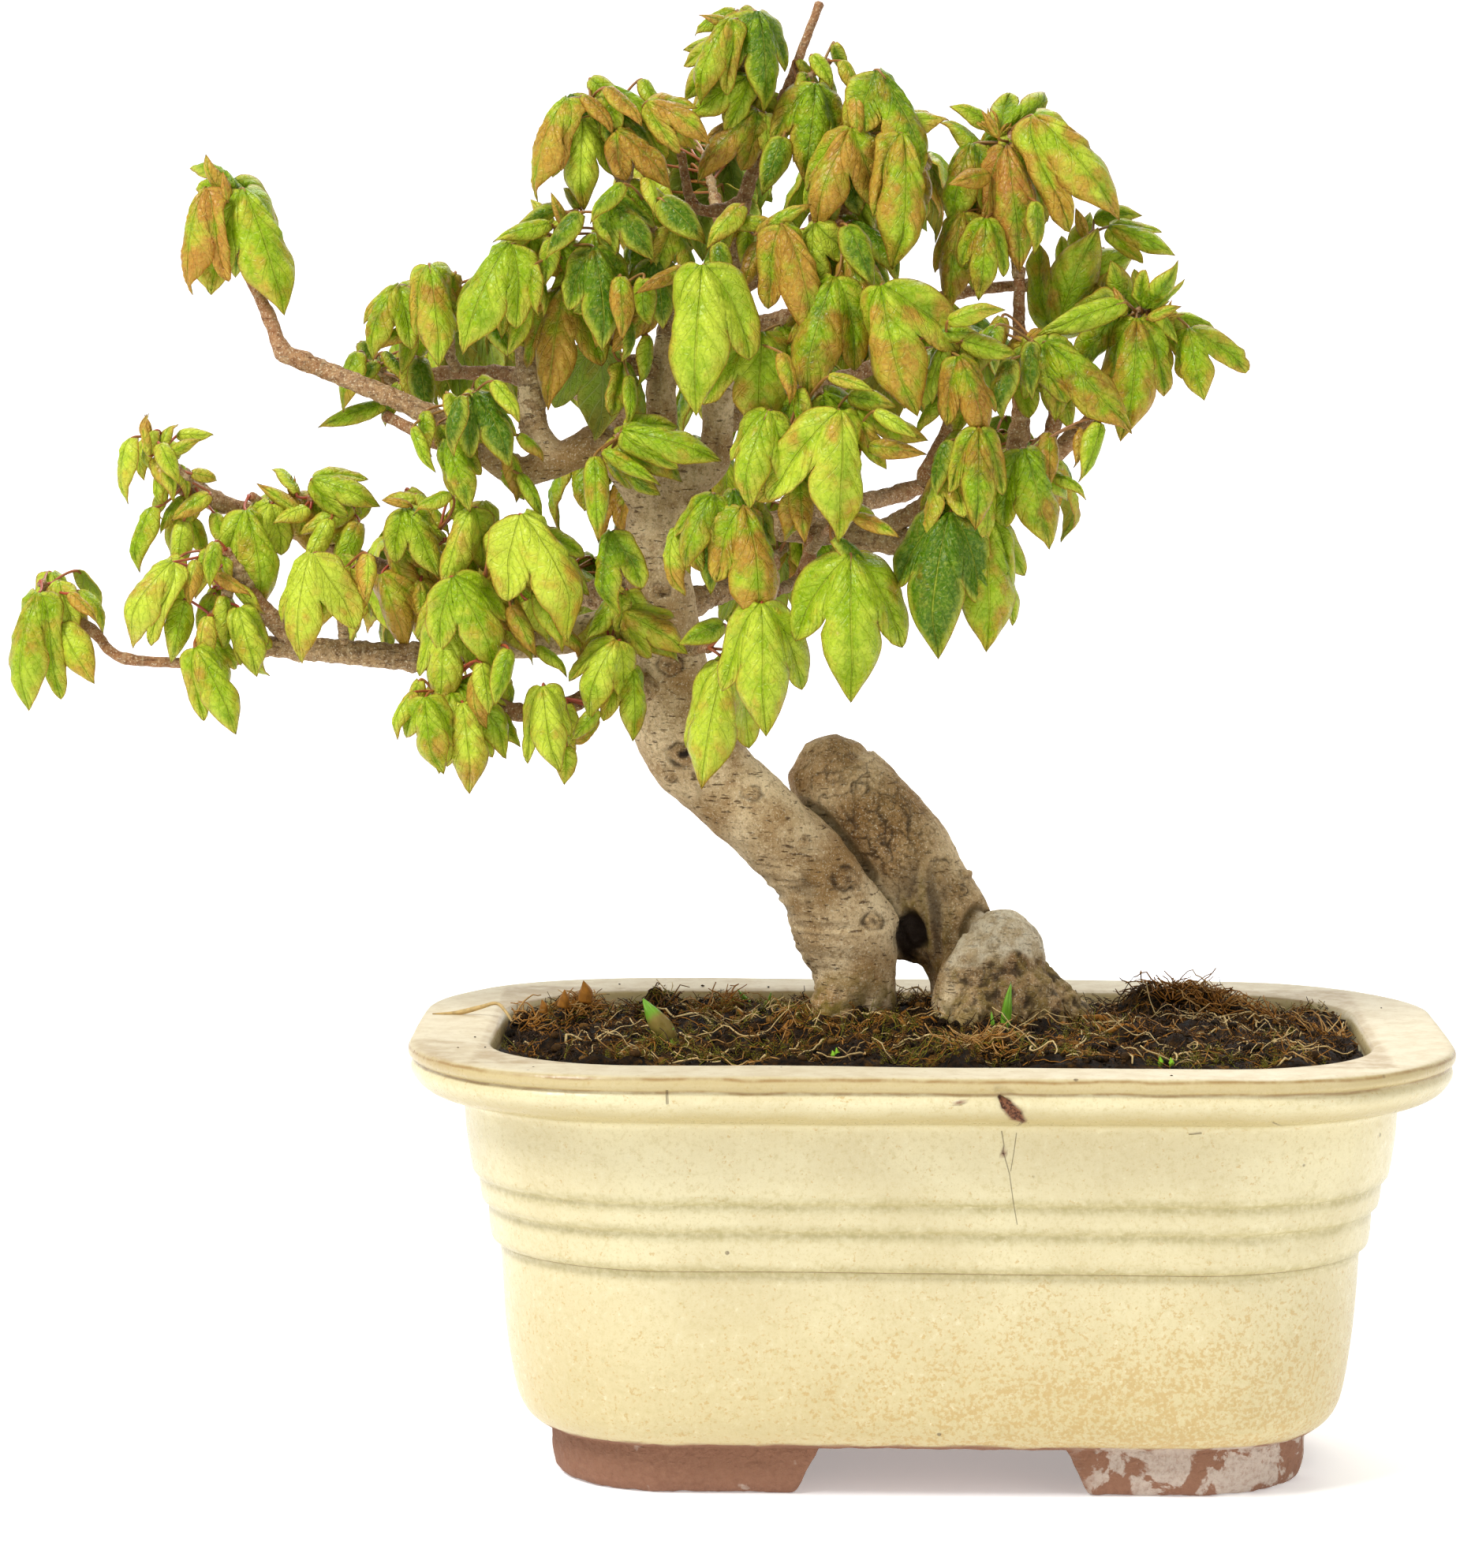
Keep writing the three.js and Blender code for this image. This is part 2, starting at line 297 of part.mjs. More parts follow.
// Tints of leaves: dark green, green, light green, mixed, bronze, pinkish.
const TINTS = [0x5f8f1c, 0x7fae2a, 0x9cc23a, 0x98993f, 0xa67c48, 0xb26a4c];
const GREEN = 1;
const MIXED = 3;

// ---------------------------------------------------------------- solids
const toSolid = (positions, triangles) => new wasm.Manifold(new wasm.Mesh({
  numProp: 3, vertProperties: new Float32Array(positions), triVerts: new Uint32Array(triangles),
}));

function fromGeometry(geometry) {
  const bare = geometry.clone();
  bare.deleteAttribute('normal');
  bare.deleteAttribute('uv');
  const merged = mergeVertices(bare, 1e-5);
  return toSolid(merged.attributes.position.array, merged.index.array);
}

function toGeometry(solid) {
  const mesh = solid.getMesh();
  const geometry = new THREE.BufferGeometry();
  geometry.setAttribute('position', new THREE.BufferAttribute(new Float32Array(mesh.vertProperties), 3));
  geometry.setIndex(new THREE.BufferAttribute(new Uint32Array(mesh.triVerts), 1));
  const flat = geometry.toNonIndexed();
  flat.computeVertexNormals();
  return flat;
}

const join = (solids) => solids.reduce((sum, solid) => sum.add(solid));

// The largest of the bodies that a cut leaves.
function largest(solid) {
  const bodies = solid.decompose();
  return bodies.reduce((best, body) => (body.volume() > best.volume() ? body : best));
}

// A closed skin over rings of equal point count, with a flat fan at each end.
function loft(rings) {
  const count = rings[0].length;
  const positions = rings.flat().flatMap((p) => [p.x, p.y, p.z]);
  const triangles = [];
  for (let r = 0; r + 1 < rings.length; r += 1) {
    for (let i = 0; i < count; i += 1) {
      const a = r * count + i;
      const b = r * count + (i + 1) % count;
      triangles.push(a, b, b + count, a, b + count, a + count);
    }
  }
  const last = (rings.length - 1) * count;
  for (let i = 1; i + 1 < count; i += 1) {
    triangles.push(0, i + 1, i);
    triangles.push(last, last + i, last + i + 1);
  }
  return toSolid(positions, triangles);
}

// Ring of a rounded rectangle at height z, anticlockwise from above.
function roundedRing(z, halfX, halfY, radius) {
  const ring = [];
  const corners = [[1, 1], [-1, 1], [-1, -1], [1, -1]];
  corners.forEach(([sx, sy], corner) => {
    for (let i = 0; i <= CORNER_STEPS; i += 1) {
      const angle = (corner + i / CORNER_STEPS) * Math.PI / 2;
      const x = sx * (halfX - radius) + radius * Math.cos(angle);
      const y = sy * (halfY - radius) + radius * Math.sin(angle);
      ring.push(new THREE.Vector3(x, y, z));
    }
  });
  return ring;
}

// A tapered limb of round section through its stations, with frames carried along without twist.
const FIRST_ACROSS = new THREE.Vector3(0.92, 0.31, 0.24);

function limb(stations, radii, sides) {
  const rings = [];
  let across = null;
  stations.forEach((point, i) => {
    const before = stations[Math.max(i - 1, 0)];
    const after = stations[Math.min(i + 1, stations.length - 1)];
    const along = after.clone().sub(before).normalize();
    across = (across || FIRST_ACROSS).clone();
    across.addScaledVector(along, -across.dot(along)).normalize();
    const third = along.clone().cross(across);
    const ring = [];
    for (let k = 0; k < sides; k += 1) {
      const angle = k / sides * Math.PI * 2;
      ring.push(point.clone().addScaledVector(across, radii[i] * Math.cos(angle))
        .addScaledVector(third, radii[i] * Math.sin(angle)));
    }
    rings.push(ring);
  });
  return loft(rings);
}

function extruded(points, depth, place) {
  const shape = new THREE.Shape(points.map(([x, y]) => new THREE.Vector2(x, y)));
  const geometry = new THREE.ExtrudeGeometry(shape, { depth, bevelEnabled: false });
  geometry.applyMatrix4(place);
  return fromGeometry(geometry);
}

const boxSolid = (sx, sy, sz, x, y, z) => fromGeometry(new THREE.BoxGeometry(sx, sy, sz).translate(x, y, z));

// Small repeatable random numbers.
function randomFrom(seed) {
  let state = seed;
  return () => {
    state = (state * 1664525 + 1013904223) % 4294967296;
    return state / 4294967296;
  };
}

// ---------------------------------------------------------------- pot
function makePot() {
  const rows = [...POT_OUTSIDE, ...POT_INSIDE];
  let pot = loft(rows.map(([z, halfX, radius]) => roundedRing(z, halfX, halfX - INSET, radius)));
  const { halfX, halfY, radius, taper, innerX, innerY, innerRadius, height } = FOOT;
  let feet = loft([[0, taper], [height + SUNK, 0]].map(([z, less]) => (
    roundedRing(z, halfX - less, halfY - less, radius - less))));
  feet = feet.subtract(loft([-SUNK, height + 2 * SUNK].map((z) => (
    roundedRing(z, innerX, innerY, innerRadius)))));
  const { left, right, slant } = FOOT_GAP_X;
  const front = [[left - slant, 0], [right + slant, 0], [right, height], [left, height]];
  const alongY = new THREE.Matrix4().makeRotationX(Math.PI / 2).setPosition(0, halfX, 0);
  feet = feet.subtract(extruded(front, 2 * halfX, alongY));
  const { half, slant: lean } = FOOT_GAP_Y;
  const side = [[-half - lean, 0], [half + lean, 0], [half, height], [-half, height]];
  const alongX = new THREE.Matrix4().makeBasis(
    new THREE.Vector3(0, 1, 0), new THREE.Vector3(0, 0, 1), new THREE.Vector3(1, 0, 0));
  feet = feet.subtract(extruded(side, 4 * halfX, alongX.setPosition(-2 * halfX, 0, 0)));
  pot = pot.add(feet);
  for (const sign of [-1, 1]) {
    const drill = new THREE.CylinderGeometry(DRAIN.radius, DRAIN.radius, 3 * FLOOR_TOP, DRAIN.sides);
    pot = pot.subtract(fromGeometry(drill.rotateX(Math.PI / 2).translate(sign * DRAIN.x, 0, 0)));
  }
  return pot;
}

// Square plastic screen over a drainage hole, lying on the pot's floor.
function makeScreen(x) {
  const { half, thick, hole, pitch, lift } = SCREEN;
  const z = FLOOR_TOP + lift + thick / 2;
  let screen = boxSolid(2 * half, 2 * half, thick, x, 0, z);
  for (const i of [-0.5, 0.5]) {
    for (const j of [-0.5, 0.5]) {
      screen = screen.subtract(boxSolid(hole, hole, 3 * thick, x + i * pitch, j * pitch, z));
    }
  }
  return screen;
}

// The space that the soil leaves free round a screen.
function screenSpace(x) {
  const wide = 2 * (SCREEN.half + GAP);
  const high = SCREEN.thick + SCREEN.lift + 2 * GAP;
  return boxSolid(wide, wide, high, x, 0, FLOOR_TOP + high / 2 - GAP / 2);
}

// ---------------------------------------------------------------- soil
// Height of the soil's surface: a low mound round the trunks, rough with crumbs and moss.
function soilHeight(x, y) {
  const mound = Math.exp(-((x / MOUND.halfX) ** 2) - (((y - MOUND.y) / MOUND.halfY) ** 2));
  const front = Math.max(0, -y / MOUND.halfY) * MOUND.front;
  const rough = CRUMBS.reduce((sum, [high, alongX, alongY]) => (
    sum + high * Math.sin(x * alongX + y * alongY)), 0);
  return SOIL.level + MOUND.rise * mound + front + rough;
}

function makeSoil(woodHole, screens) {
  const wall = POT_INSIDE.slice(3).reverse().map(([z, halfX, radius]) => (
    [Math.max(z, FLOOR_TOP + GAP), halfX - SOIL.wallGap, radius - SOIL.wallGap]));
  const rings = wall.map(([z, halfX, radius]) => roundedRing(z, halfX, halfX - INSET, radius));
  const [, topX, topRadius] = wall[wall.length - 1];
  const edge = roundedRing(0, topX, topX - INSET, topRadius);
  for (let k = 0; k < SOIL.rings; k += 1) {
    const scale = 1 - k / SOIL.rings;
    rings.push(edge.map(({ x, y }) => (
      new THREE.Vector3(x * scale, y * scale, soilHeight(x * scale, y * scale)))));
  }
  let soil = loft(rings);
  soil = soil.subtract(woodHole);
  for (const screen of screens) soil = soil.subtract(screen);
  return largest(soil);
}

// ---------------------------------------------------------------- wood
function makeWood(grow = 0) {
  return join(LIMBS.map(([sides, ...rows]) => (
    limb(rows.map(([x, z, y]) => seen(x, z, y)), rows.map((row) => row[3] + grow), sides))));
}

// ---------------------------------------------------------------- leaves
// Half outline of a three-lobed blade, as fractions of its length (along, across): shoulder, tip of the
// side lobe, notch between the lobes. The blade ends in the tip at (1, 0). Ribs are places on its midrib.
const LOBED = { edge: [[0.2, 0.25], [0.62, 0.37], [0.52, 0.17]], ribs: [0.27, 0.7], lobe: [0.41, 0.22] };
const SIMPLE = { edge: [[0.3, 0.17], [0.66, 0.15]], ribs: [0.45] };
const BLADE_HALF = 0.35;                 // half thickness of a blade at its ribs
const PETIOLE_RADIUS = 0.42;
const SHORT_PETIOLE = 10;                // a petiole shorter than this is straight here
const PETIOLE_BEND = 0.45;               // where its bend lies, in front of the blade's base, per length
const PETIOLE_RISE = 0.12;               // how far the bend stands up, per length
const ARCH = 0.13;                       // rise of the midrib's arch, as a fraction of the blade's length
const FACE_UP = 0.25;                    // how far a blade's face leans back to the sky
const FOLD = { usual: 0.62, spread: 0.9, change: 0.5, least: 0.15, most: 0.75 };

// Frame and size of a blade between its base and its tip.
function bladeFrame(base, tip, turn, spread) {
  const along = tip.clone().sub(base);
  const length = along.length();
  along.normalize();
  const angle = turn * Math.PI / 180;
  const out = new THREE.Vector3(Math.sin(angle), -Math.cos(angle), FACE_UP);
  out.addScaledVector(along, -out.dot(along)).normalize();
  const side = along.clone().cross(out).normalize();
  const folded = FOLD.usual - FOLD.change * (spread - FOLD.spread);
  const fold = Math.min(Math.max(folded, FOLD.least), FOLD.most);
  return { base, along, out, side, length, spread, fold };
}

// Place of blade point (a along, b across), lifted off the blade's middle surface by lift.
function bladePoint(frame, a, b, lift) {
  const across = b * frame.length * frame.spread / Math.cos(frame.fold);
  const height = frame.length * ARCH * 4 * a * (1 - a) - Math.abs(across) * Math.sin(frame.fold) + lift;
  return frame.base.clone().addScaledVector(frame.along, a * frame.length)
    .addScaledVector(frame.side, across * Math.cos(frame.fold)).addScaledVector(frame.out, height);
}

// The petiole's middle: it leaves the stem, rises and bends over into the blade's midrib.
function petioleMiddle(root, frame) {
  const into = frame.along.clone().addScaledVector(frame.out, 4 * ARCH).normalize();
  const span = root.distanceTo(frame.base);
  const control = frame.base.clone().addScaledVector(into, -PETIOLE_BEND * span);
  control.z += PETIOLE_RISE * span;
  return root.clone().multiplyScalar(0.25).addScaledVector(control, 0.5).addScaledVector(frame.base, 0.25);
}

// One leaf: petiole of three sides running into a blade that is a thin arched lens along its ribs.
// grow thickens and widens it all round, for the space that neighbours keep clear of.
function leaf(root, frame, lobed, grow = 0) {
  const plan = lobed ? LOBED : SIMPLE;
  const radius = PETIOLE_RADIUS + grow;
  const positions = [];
  const put = (p) => positions.push(p.x, p.y, p.z) / 3 - 1;
  const ringAt = (centre, heading) => {
    const side = frame.side.clone().addScaledVector(heading, -frame.side.dot(heading)).normalize();
    const out = side.clone().cross(heading);
    return [
      put(centre.clone().addScaledVector(out, radius)),
      put(centre.clone().addScaledVector(side, radius).addScaledVector(out, -0.5 * radius)),
      put(centre.clone().addScaledVector(side, -radius).addScaledVector(out, -0.5 * radius)),
    ];
  };
  const middle = petioleMiddle(root, frame);
  const heading = (from, to) => to.clone().sub(from).normalize();
  const rings = [
    ringAt(root, heading(root, middle)), ringAt(middle, heading(root, frame.base)),
    ringAt(frame.base, heading(middle, frame.base).add(frame.along).normalize()),
  ];
  if (root.distanceTo(frame.base) < SHORT_PETIOLE) rings.splice(1, 1);
  const triangles = [rings[0][0], rings[0][2], rings[0][1]];
  for (let r = 0; r + 1 < rings.length; r += 1) {
    for (let i = 0; i < 3; i += 1) {
      const [a, b, c, d] = [rings[r][i], rings[r][(i + 1) % 3], rings[r + 1][(i + 1) % 3], rings[r + 1][i]];
      triangles.push(a, b, c, a, c, d);
    }
  }
  const [crest, right, left] = rings[rings.length - 1];
  const more = grow / frame.length;
  const widen = (a, b, sign) => [a > 0.5 ? a + more : a, sign * (b + 1.3 * more)];
  // the front and back faces share the edge, or with grow have one each
  const edge = {};
  for (const face of [1, -1]) {
    for (const sign of [1, -1]) {
      const shared = face === -1 && !grow;
      edge[`${face}${sign}`] = shared ? edge[`1${sign}`] : plan.edge.map(([a, b]) => (
        put(bladePoint(frame, ...widen(a, b, sign), face * grow))));
    }
  }
  const tipFront = put(bladePoint(frame, 1 + more, 0, grow));
  const tipBack = grow ? put(bladePoint(frame, 1 + more, 0, -grow)) : tipFront;
  for (const face of [1, -1]) {
    const lift = face * (BLADE_HALF + grow);
    const ribs = plan.ribs.map((a) => put(bladePoint(frame, a, 0, lift)));
    const tip = face === 1 ? tipFront : tipBack;
    for (const sign of [1, -1]) {
      const rim = edge[`${face}${sign}`];
      const corner = sign === 1 ? right : left;
      const fan = [[corner, rim[0], ribs[0]]];
      if (face === 1) fan.splice(0, 1, [crest, corner, rim[0]], [crest, rim[0], ribs[0]]);
      if (face === -1 && sign === 1) fan.push([left, right, ribs[0]]);
      if (lobed) {
        const lobe = put(bladePoint(frame, plan.lobe[0], sign * plan.lobe[1], lift));
        fan.push([ribs[0], rim[0], lobe], [rim[0], rim[1], lobe], [lobe, rim[1], rim[2]]);
        fan.push([ribs[0], lobe, rim[2]], [ribs[0], rim[2], ribs[1]], [ribs[1], rim[2], tip]);
      } else {
        fan.push([ribs[0], rim[0], rim[1]], [ribs[0], rim[1], tip]);
      }
      for (const [a, b, c] of fan) triangles.push(...(face * sign === 1 ? [a, b, c] : [a, c, b]));
    }
  }
  if (grow) {
    for (const sign of [1, -1]) {
      const corner = sign === 1 ? right : left;
      const front = [corner, ...edge[`1${sign}`], tipFront];
      const back = [corner, ...edge[`-1${sign}`], tipBack];
      for (let i = 0; i + 1 < front.length; i += 1) {
        const wall = [[front[i], back[i + 1], front[i + 1]], [front[i], back[i], back[i + 1]]];
        const real = wall.filter((corners) => new Set(corners).size === 3);
        for (const [a, b, c] of real) triangles.push(...(sign === 1 ? [a, b, c] : [a, c, b]));
      }
    }
  }
  return toSolid(positions, triangles);
}

// ---------------------------------------------------------------- shoots
const STEM_RADII = [1.05, 0.75, 0.6];
const STEM_SUNK = 3.4;                   // length of a stem's foot inside the wood
const CROWN = { x: -22, z: 182, wide: 48, high: 34, forward: 17 };
const LOBED_FROM = { length: 12, spread: 0.65 };
const SMALL_LEAF = 9.5;                  // leaves and buds below this length are left out here
const PETIOLE_REACH = 5;                 // how far a blade's base stands out of its stem's depth
const TIP_REACH = 0.12;                  // how far its tip stands out beyond that, per length

// Where a stem comes out of the wood that it grows from.
function freePoint(stem) {
  const share = Math.min(STEM_SUNK / stem[0].distanceTo(stem[1]), 0.85);
  return stem[0].clone().lerp(stem[1], share);
}

// Point of the stems, outside the wood, that is nearest to a place.
function nearestOn(stems, place) {
  let best = null;
  for (const stem of stems) {
    for (let i = 0; i + 1 < stem.length; i += 1) {
      const part = new THREE.Line3(i ? stem[i] : freePoint(stem), stem[i + 1]);
      const at = part.closestPointToPoint(place, true, new THREE.Vector3());
      if (!best || at.distanceTo(place) < best.distanceTo(place)) best = at;
    }
  }
  return best;
}

// Places on a blade that stand for it where leaves make room for each other.
const MARKS = [[0.15, 0], [0.45, 0], [0.75, 0], [1, 0], [0.4, 0.22], [0.4, -0.22], [0.6, 0.34], [0.6, -0.34]];
const MARK_WIDTH = 0.17;                 // reach of a mark in the upright plane, per blade length
const CLOSE = 1 / 1.6;                   // how near two marks may come, per sum of their reaches
const LAYER = 2.3;                       // depth that one blade keeps to the next
const STAY = 0.02;                       // how much each millimetre of moving counts against a place
const TRIES = [0, -1, 1, -2, 2, -3, 3, -4, 4, -5, 5, -6, 6].map((step) => step * 1.3);
const settled = [];                      // marks of all the leaves placed so far

function marksOf(frame) {
  return MARKS.map(([a, b]) => (
    { p: bladePoint(frame, a, b, 0), reach: MARK_WIDTH * frame.length, out: frame.out }));
}

// How deeply a leaf's marks sink into those of the leaves that are already there.
function crowding(marks) {
  let sum = 0;
  for (const { p, reach } of marks) {
    for (const other of settled) {
      const wide = (reach + other.reach) * CLOSE;
      const gap = p.clone().sub(other.p);
      const deep = gap.dot(other.out);
      const far = (gap.lengthSq() - deep * deep) / (wide * wide) + (deep / LAYER) ** 2;
      if (far < 1) sum += 1 - far;
    }
  }
  return sum;
}

// A leaf from its table row, moved along the line of sight to the nearest depth that is free.
function placeLeaf(stems, [bx, bz, tx, tz, turn, spread]) {
  const near = nearestOn(stems, seen(bx, bz, stems[0][stems[0].length - 1].y));
  const facing = Math.cos(turn * Math.PI / 180);
  const length = Math.hypot(tx - bx, tz - bz);
  let best = null;
  for (const step of TRIES) {
    const baseY = near.y - PETIOLE_REACH * facing + step;
    const tipY = baseY - TIP_REACH * length * facing;
    const frame = bladeFrame(seen(bx, bz, baseY), seen(tx, tz, tipY), turn, spread);
    const crowd = crowding(marksOf(frame)) + STAY * Math.abs(step);
    if (!best || crowd < best.crowd) best = { crowd, frame };
  }
  settled.push(...marksOf(best.frame));
  const lobed = length > LOBED_FROM.length && spread > LOBED_FROM.spread;
  return { root: nearestOn(stems, best.frame.base), frame: best.frame, lobed };
}

function shootSolids(stems, leaves) {
  const build = (grow) => join([
    ...stems.map((stem) => limb(stem, stem.map((_, i) => STEM_RADII[i] + grow), 4)),
    ...leaves.map(({ root, frame, lobed }) => leaf(root, frame, lobed, grow))]);
  return { body: build(0), space: build(GAP) };
}

// How much further forward the shoots in the middle of the crown reach.
function forward(x, z) {
  return CROWN.forward * Math.exp(-(((x - CROWN.x) / CROWN.wide) ** 2) - (((z - CROWN.z) / CROWN.high) ** 2));
}

function handShoot([name, stemRows, rows]) {
  const stems = stemRows.map((stem) => stem.map(([x, z, y], i) => seen(x, z, i ? y - forward(x, z) : y)));
  for (const branch of stems.slice(1)) branch[0] = freePoint(stems[0]);
  const leaves = rows.map((row) => placeLeaf(stems, row)).filter(({ frame }) => frame.length > SMALL_LEAF);
  return { name, tint: rows[0][6], ...shootSolids(stems, leaves) };
}

// A far-side shoot: opposite pairs of leaves hang round its stem, turned outwards from the tree.
function backShoot([name, [x, z, y], [growX, growZ]], index) {
  const random = randomFrom(BACK_SEED + BACK_SEED_STEP * index);
  const draw = (range) => range[0] + range[1] * random();
  const root = seen(x, z, y);
  const along = new THREE.Vector3(growX, BACK_GROW_Y, growZ).normalize();
  const end = root.clone().addScaledVector(along, BACK_STEM);
  const stems = [[root, root.clone().lerp(end, 0.5), end]];
  const leaves = [];
  for (let pair = 0; pair < BACK_PAIRS; pair += 1) {
    for (const sign of [-1, 1]) {
      const from = root.clone().lerp(end, 0.3 + 0.65 * pair / (BACK_PAIRS - 1));
      let best = null;
      for (let k = 0; k < BACK_DRAWS; k += 1) {
        const heading = Math.atan2(along.x, along.y) + sign * draw(BACK_RANGE.heading);
        const away = new THREE.Vector3(Math.sin(heading), Math.cos(heading), 0);
        const size = BACK_LEAF * draw(BACK_RANGE.size);
        const base = from.clone().addScaledVector(away, draw(BACK_RANGE.away));
        base.z += draw(BACK_RANGE.rise);
        const tip = base.clone().addScaledVector(away, size * draw(BACK_RANGE.out));
        tip.z -= size * draw(BACK_RANGE.hang);
        const turn = Math.atan2(away.x, -away.y) * 180 / Math.PI;
        const frame = bladeFrame(base, tip, turn, draw(BACK_RANGE.spread));
        const crowd = crowding(marksOf(frame));
        if (!best || crowd < best.crowd) best = { crowd, frame };
      }
      settled.push(...marksOf(best.frame));
      leaves.push({ root: from, frame: best.frame, lobed: true });
    }
  }
  return { name, tint: index % 3 === 1 ? MIXED : GREEN, ...shootSolids(stems, leaves) };
}

// ---------------------------------------------------------------- seedlings in the soil
// Name, root (x, z, y), leaves as in a shoot but without their tint, tint.
const SEEDLINGS = [
  ['seedling_blade', [13.2, 71, -10], [[13.2, 74.5, 13.9, 83.4, 0, 1]], 1],
  ['seedling_leaf', [-45, 71, -14], [[-44.8, 72.5, -50.4, 80.2, -10, 1.3]], 3],
  ['seedling_sprout', [-30, 73, 22], [[-30, 77.5, -33.4, 82.2, -20, 1.2]], 2],
];

const SEEDLING_STEM = 4;

function makeSeedling([name, [x, z, y], rows, tint]) {
  const root = seen(x, z, y);
  const top = root.clone();
  top.z += SEEDLING_STEM;
  const leaves = rows.map(([bx, bz, tx, tz, turn, spread]) => {
    const frame = bladeFrame(seen(bx, bz, y), seen(tx, tz, y), turn, spread);
    return { root: top, frame, lobed: false };
  });
  return { name, tint, ...shootSolids([[root, top]], leaves) };
}

// ---------------------------------------------------------------- assembly
const model = new THREE.Group();

function place(name, solid, color, roughness) {
  const material = new THREE.MeshStandardMaterial({ color, roughness, metalness: 0 });
  const mesh = new THREE.Mesh(toGeometry(solid), material);
  mesh.name = name;
  model.add(mesh);
}

// Whether a solid's box reaches another solid's box.
function boxTest(space) {
  const own = space.boundingBox();
  return (solid) => {
    const box = solid.boundingBox();
    return [0, 1, 2].every((i) => box.min[i] < own.max[i] && own.min[i] < box.max[i]);
  };
}

const woodSpace = makeWood(GAP);
const seedlings = SEEDLINGS.map(makeSeedling);
place('pot', makePot(), 0xe4d398, 0.3);
place('drain_screen_left', makeScreen(-DRAIN.x), 0x2f3a33, 0.6);
place('drain_screen_right', makeScreen(DRAIN.x), 0x2f3a33, 0.6);
const holes = join([woodSpace, ...seedlings.map(({ space }) => space)]);
place('soil', makeSoil(holes, [screenSpace(-DRAIN.x), screenSpace(DRAIN.x)]), 0x3a2718, 0.95);
place('tree_wood', makeWood(), 0x9c8a70, 0.85);

// Each shoot keeps clear of the wood and of the shoots before it.
const kept = [];
for (const { name, tint, body, space } of [...SHOOTS.map(handShoot), ...BACK_SHOOTS.map(backShoot)]) {
  let solid = body.subtract(woodSpace);
  for (const other of kept) {
    if (other.meets(solid)) solid = solid.subtract(other.space);
  }
  solid = largest(solid);
  kept.push({ space, meets: boxTest(space) });
  place(`shoot_${name}`, solid, TINTS[tint], 0.4);
}
for (const { name, tint, body } of seedlings) place(name, largest(body), TINTS[tint], 0.5);

// The origin is at the middle of the object's box, on the surface that it stands on.
const extent = new THREE.Box3().setFromObject(model);
const middle = extent.getCenter(new THREE.Vector3());
model.position.set(-middle.x, -middle.y, 0);

export default model;
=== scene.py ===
"""Looks of a trident maple bonsai in a glazed pot: fine leaves, bark, soil and glaze over the model."""
import math

import bpy
import numpy as np
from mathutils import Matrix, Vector


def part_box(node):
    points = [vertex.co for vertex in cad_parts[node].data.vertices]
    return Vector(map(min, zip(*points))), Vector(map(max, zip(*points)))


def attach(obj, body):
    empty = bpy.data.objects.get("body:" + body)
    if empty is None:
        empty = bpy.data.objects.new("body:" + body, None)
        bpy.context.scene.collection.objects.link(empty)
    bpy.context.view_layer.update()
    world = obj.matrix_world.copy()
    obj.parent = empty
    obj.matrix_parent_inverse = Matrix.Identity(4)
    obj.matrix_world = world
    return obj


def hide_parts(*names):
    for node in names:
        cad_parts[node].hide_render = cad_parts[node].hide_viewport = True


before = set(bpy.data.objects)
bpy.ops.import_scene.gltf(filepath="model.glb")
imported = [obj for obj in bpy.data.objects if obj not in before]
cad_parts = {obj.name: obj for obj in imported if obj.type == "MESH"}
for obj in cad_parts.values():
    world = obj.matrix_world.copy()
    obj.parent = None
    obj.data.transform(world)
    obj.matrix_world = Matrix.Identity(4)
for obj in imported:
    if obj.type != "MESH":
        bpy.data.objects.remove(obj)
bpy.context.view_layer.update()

# ---------------------------------------------------------------- frame and driving dimensions
MM = 0.001
POT_BOX = [np.array(corner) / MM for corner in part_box("pot")]
# The tables below are in millimetres, from the middle of the pot's box on the surface it stands on.
SHIFT = (POT_BOX[0] + POT_BOX[1]) / 2 * [1, 1, 0]
POT_HIGH = POT_BOX[1][2]
EYE = np.array([-10.8, -899.9, 212.6])
INSET = 32.0                             # half width of the pot = half length - INSET
LENS, AIM, ROLL = 119.3, np.array([-34.9, 0.0, 118.1]), 0.0019

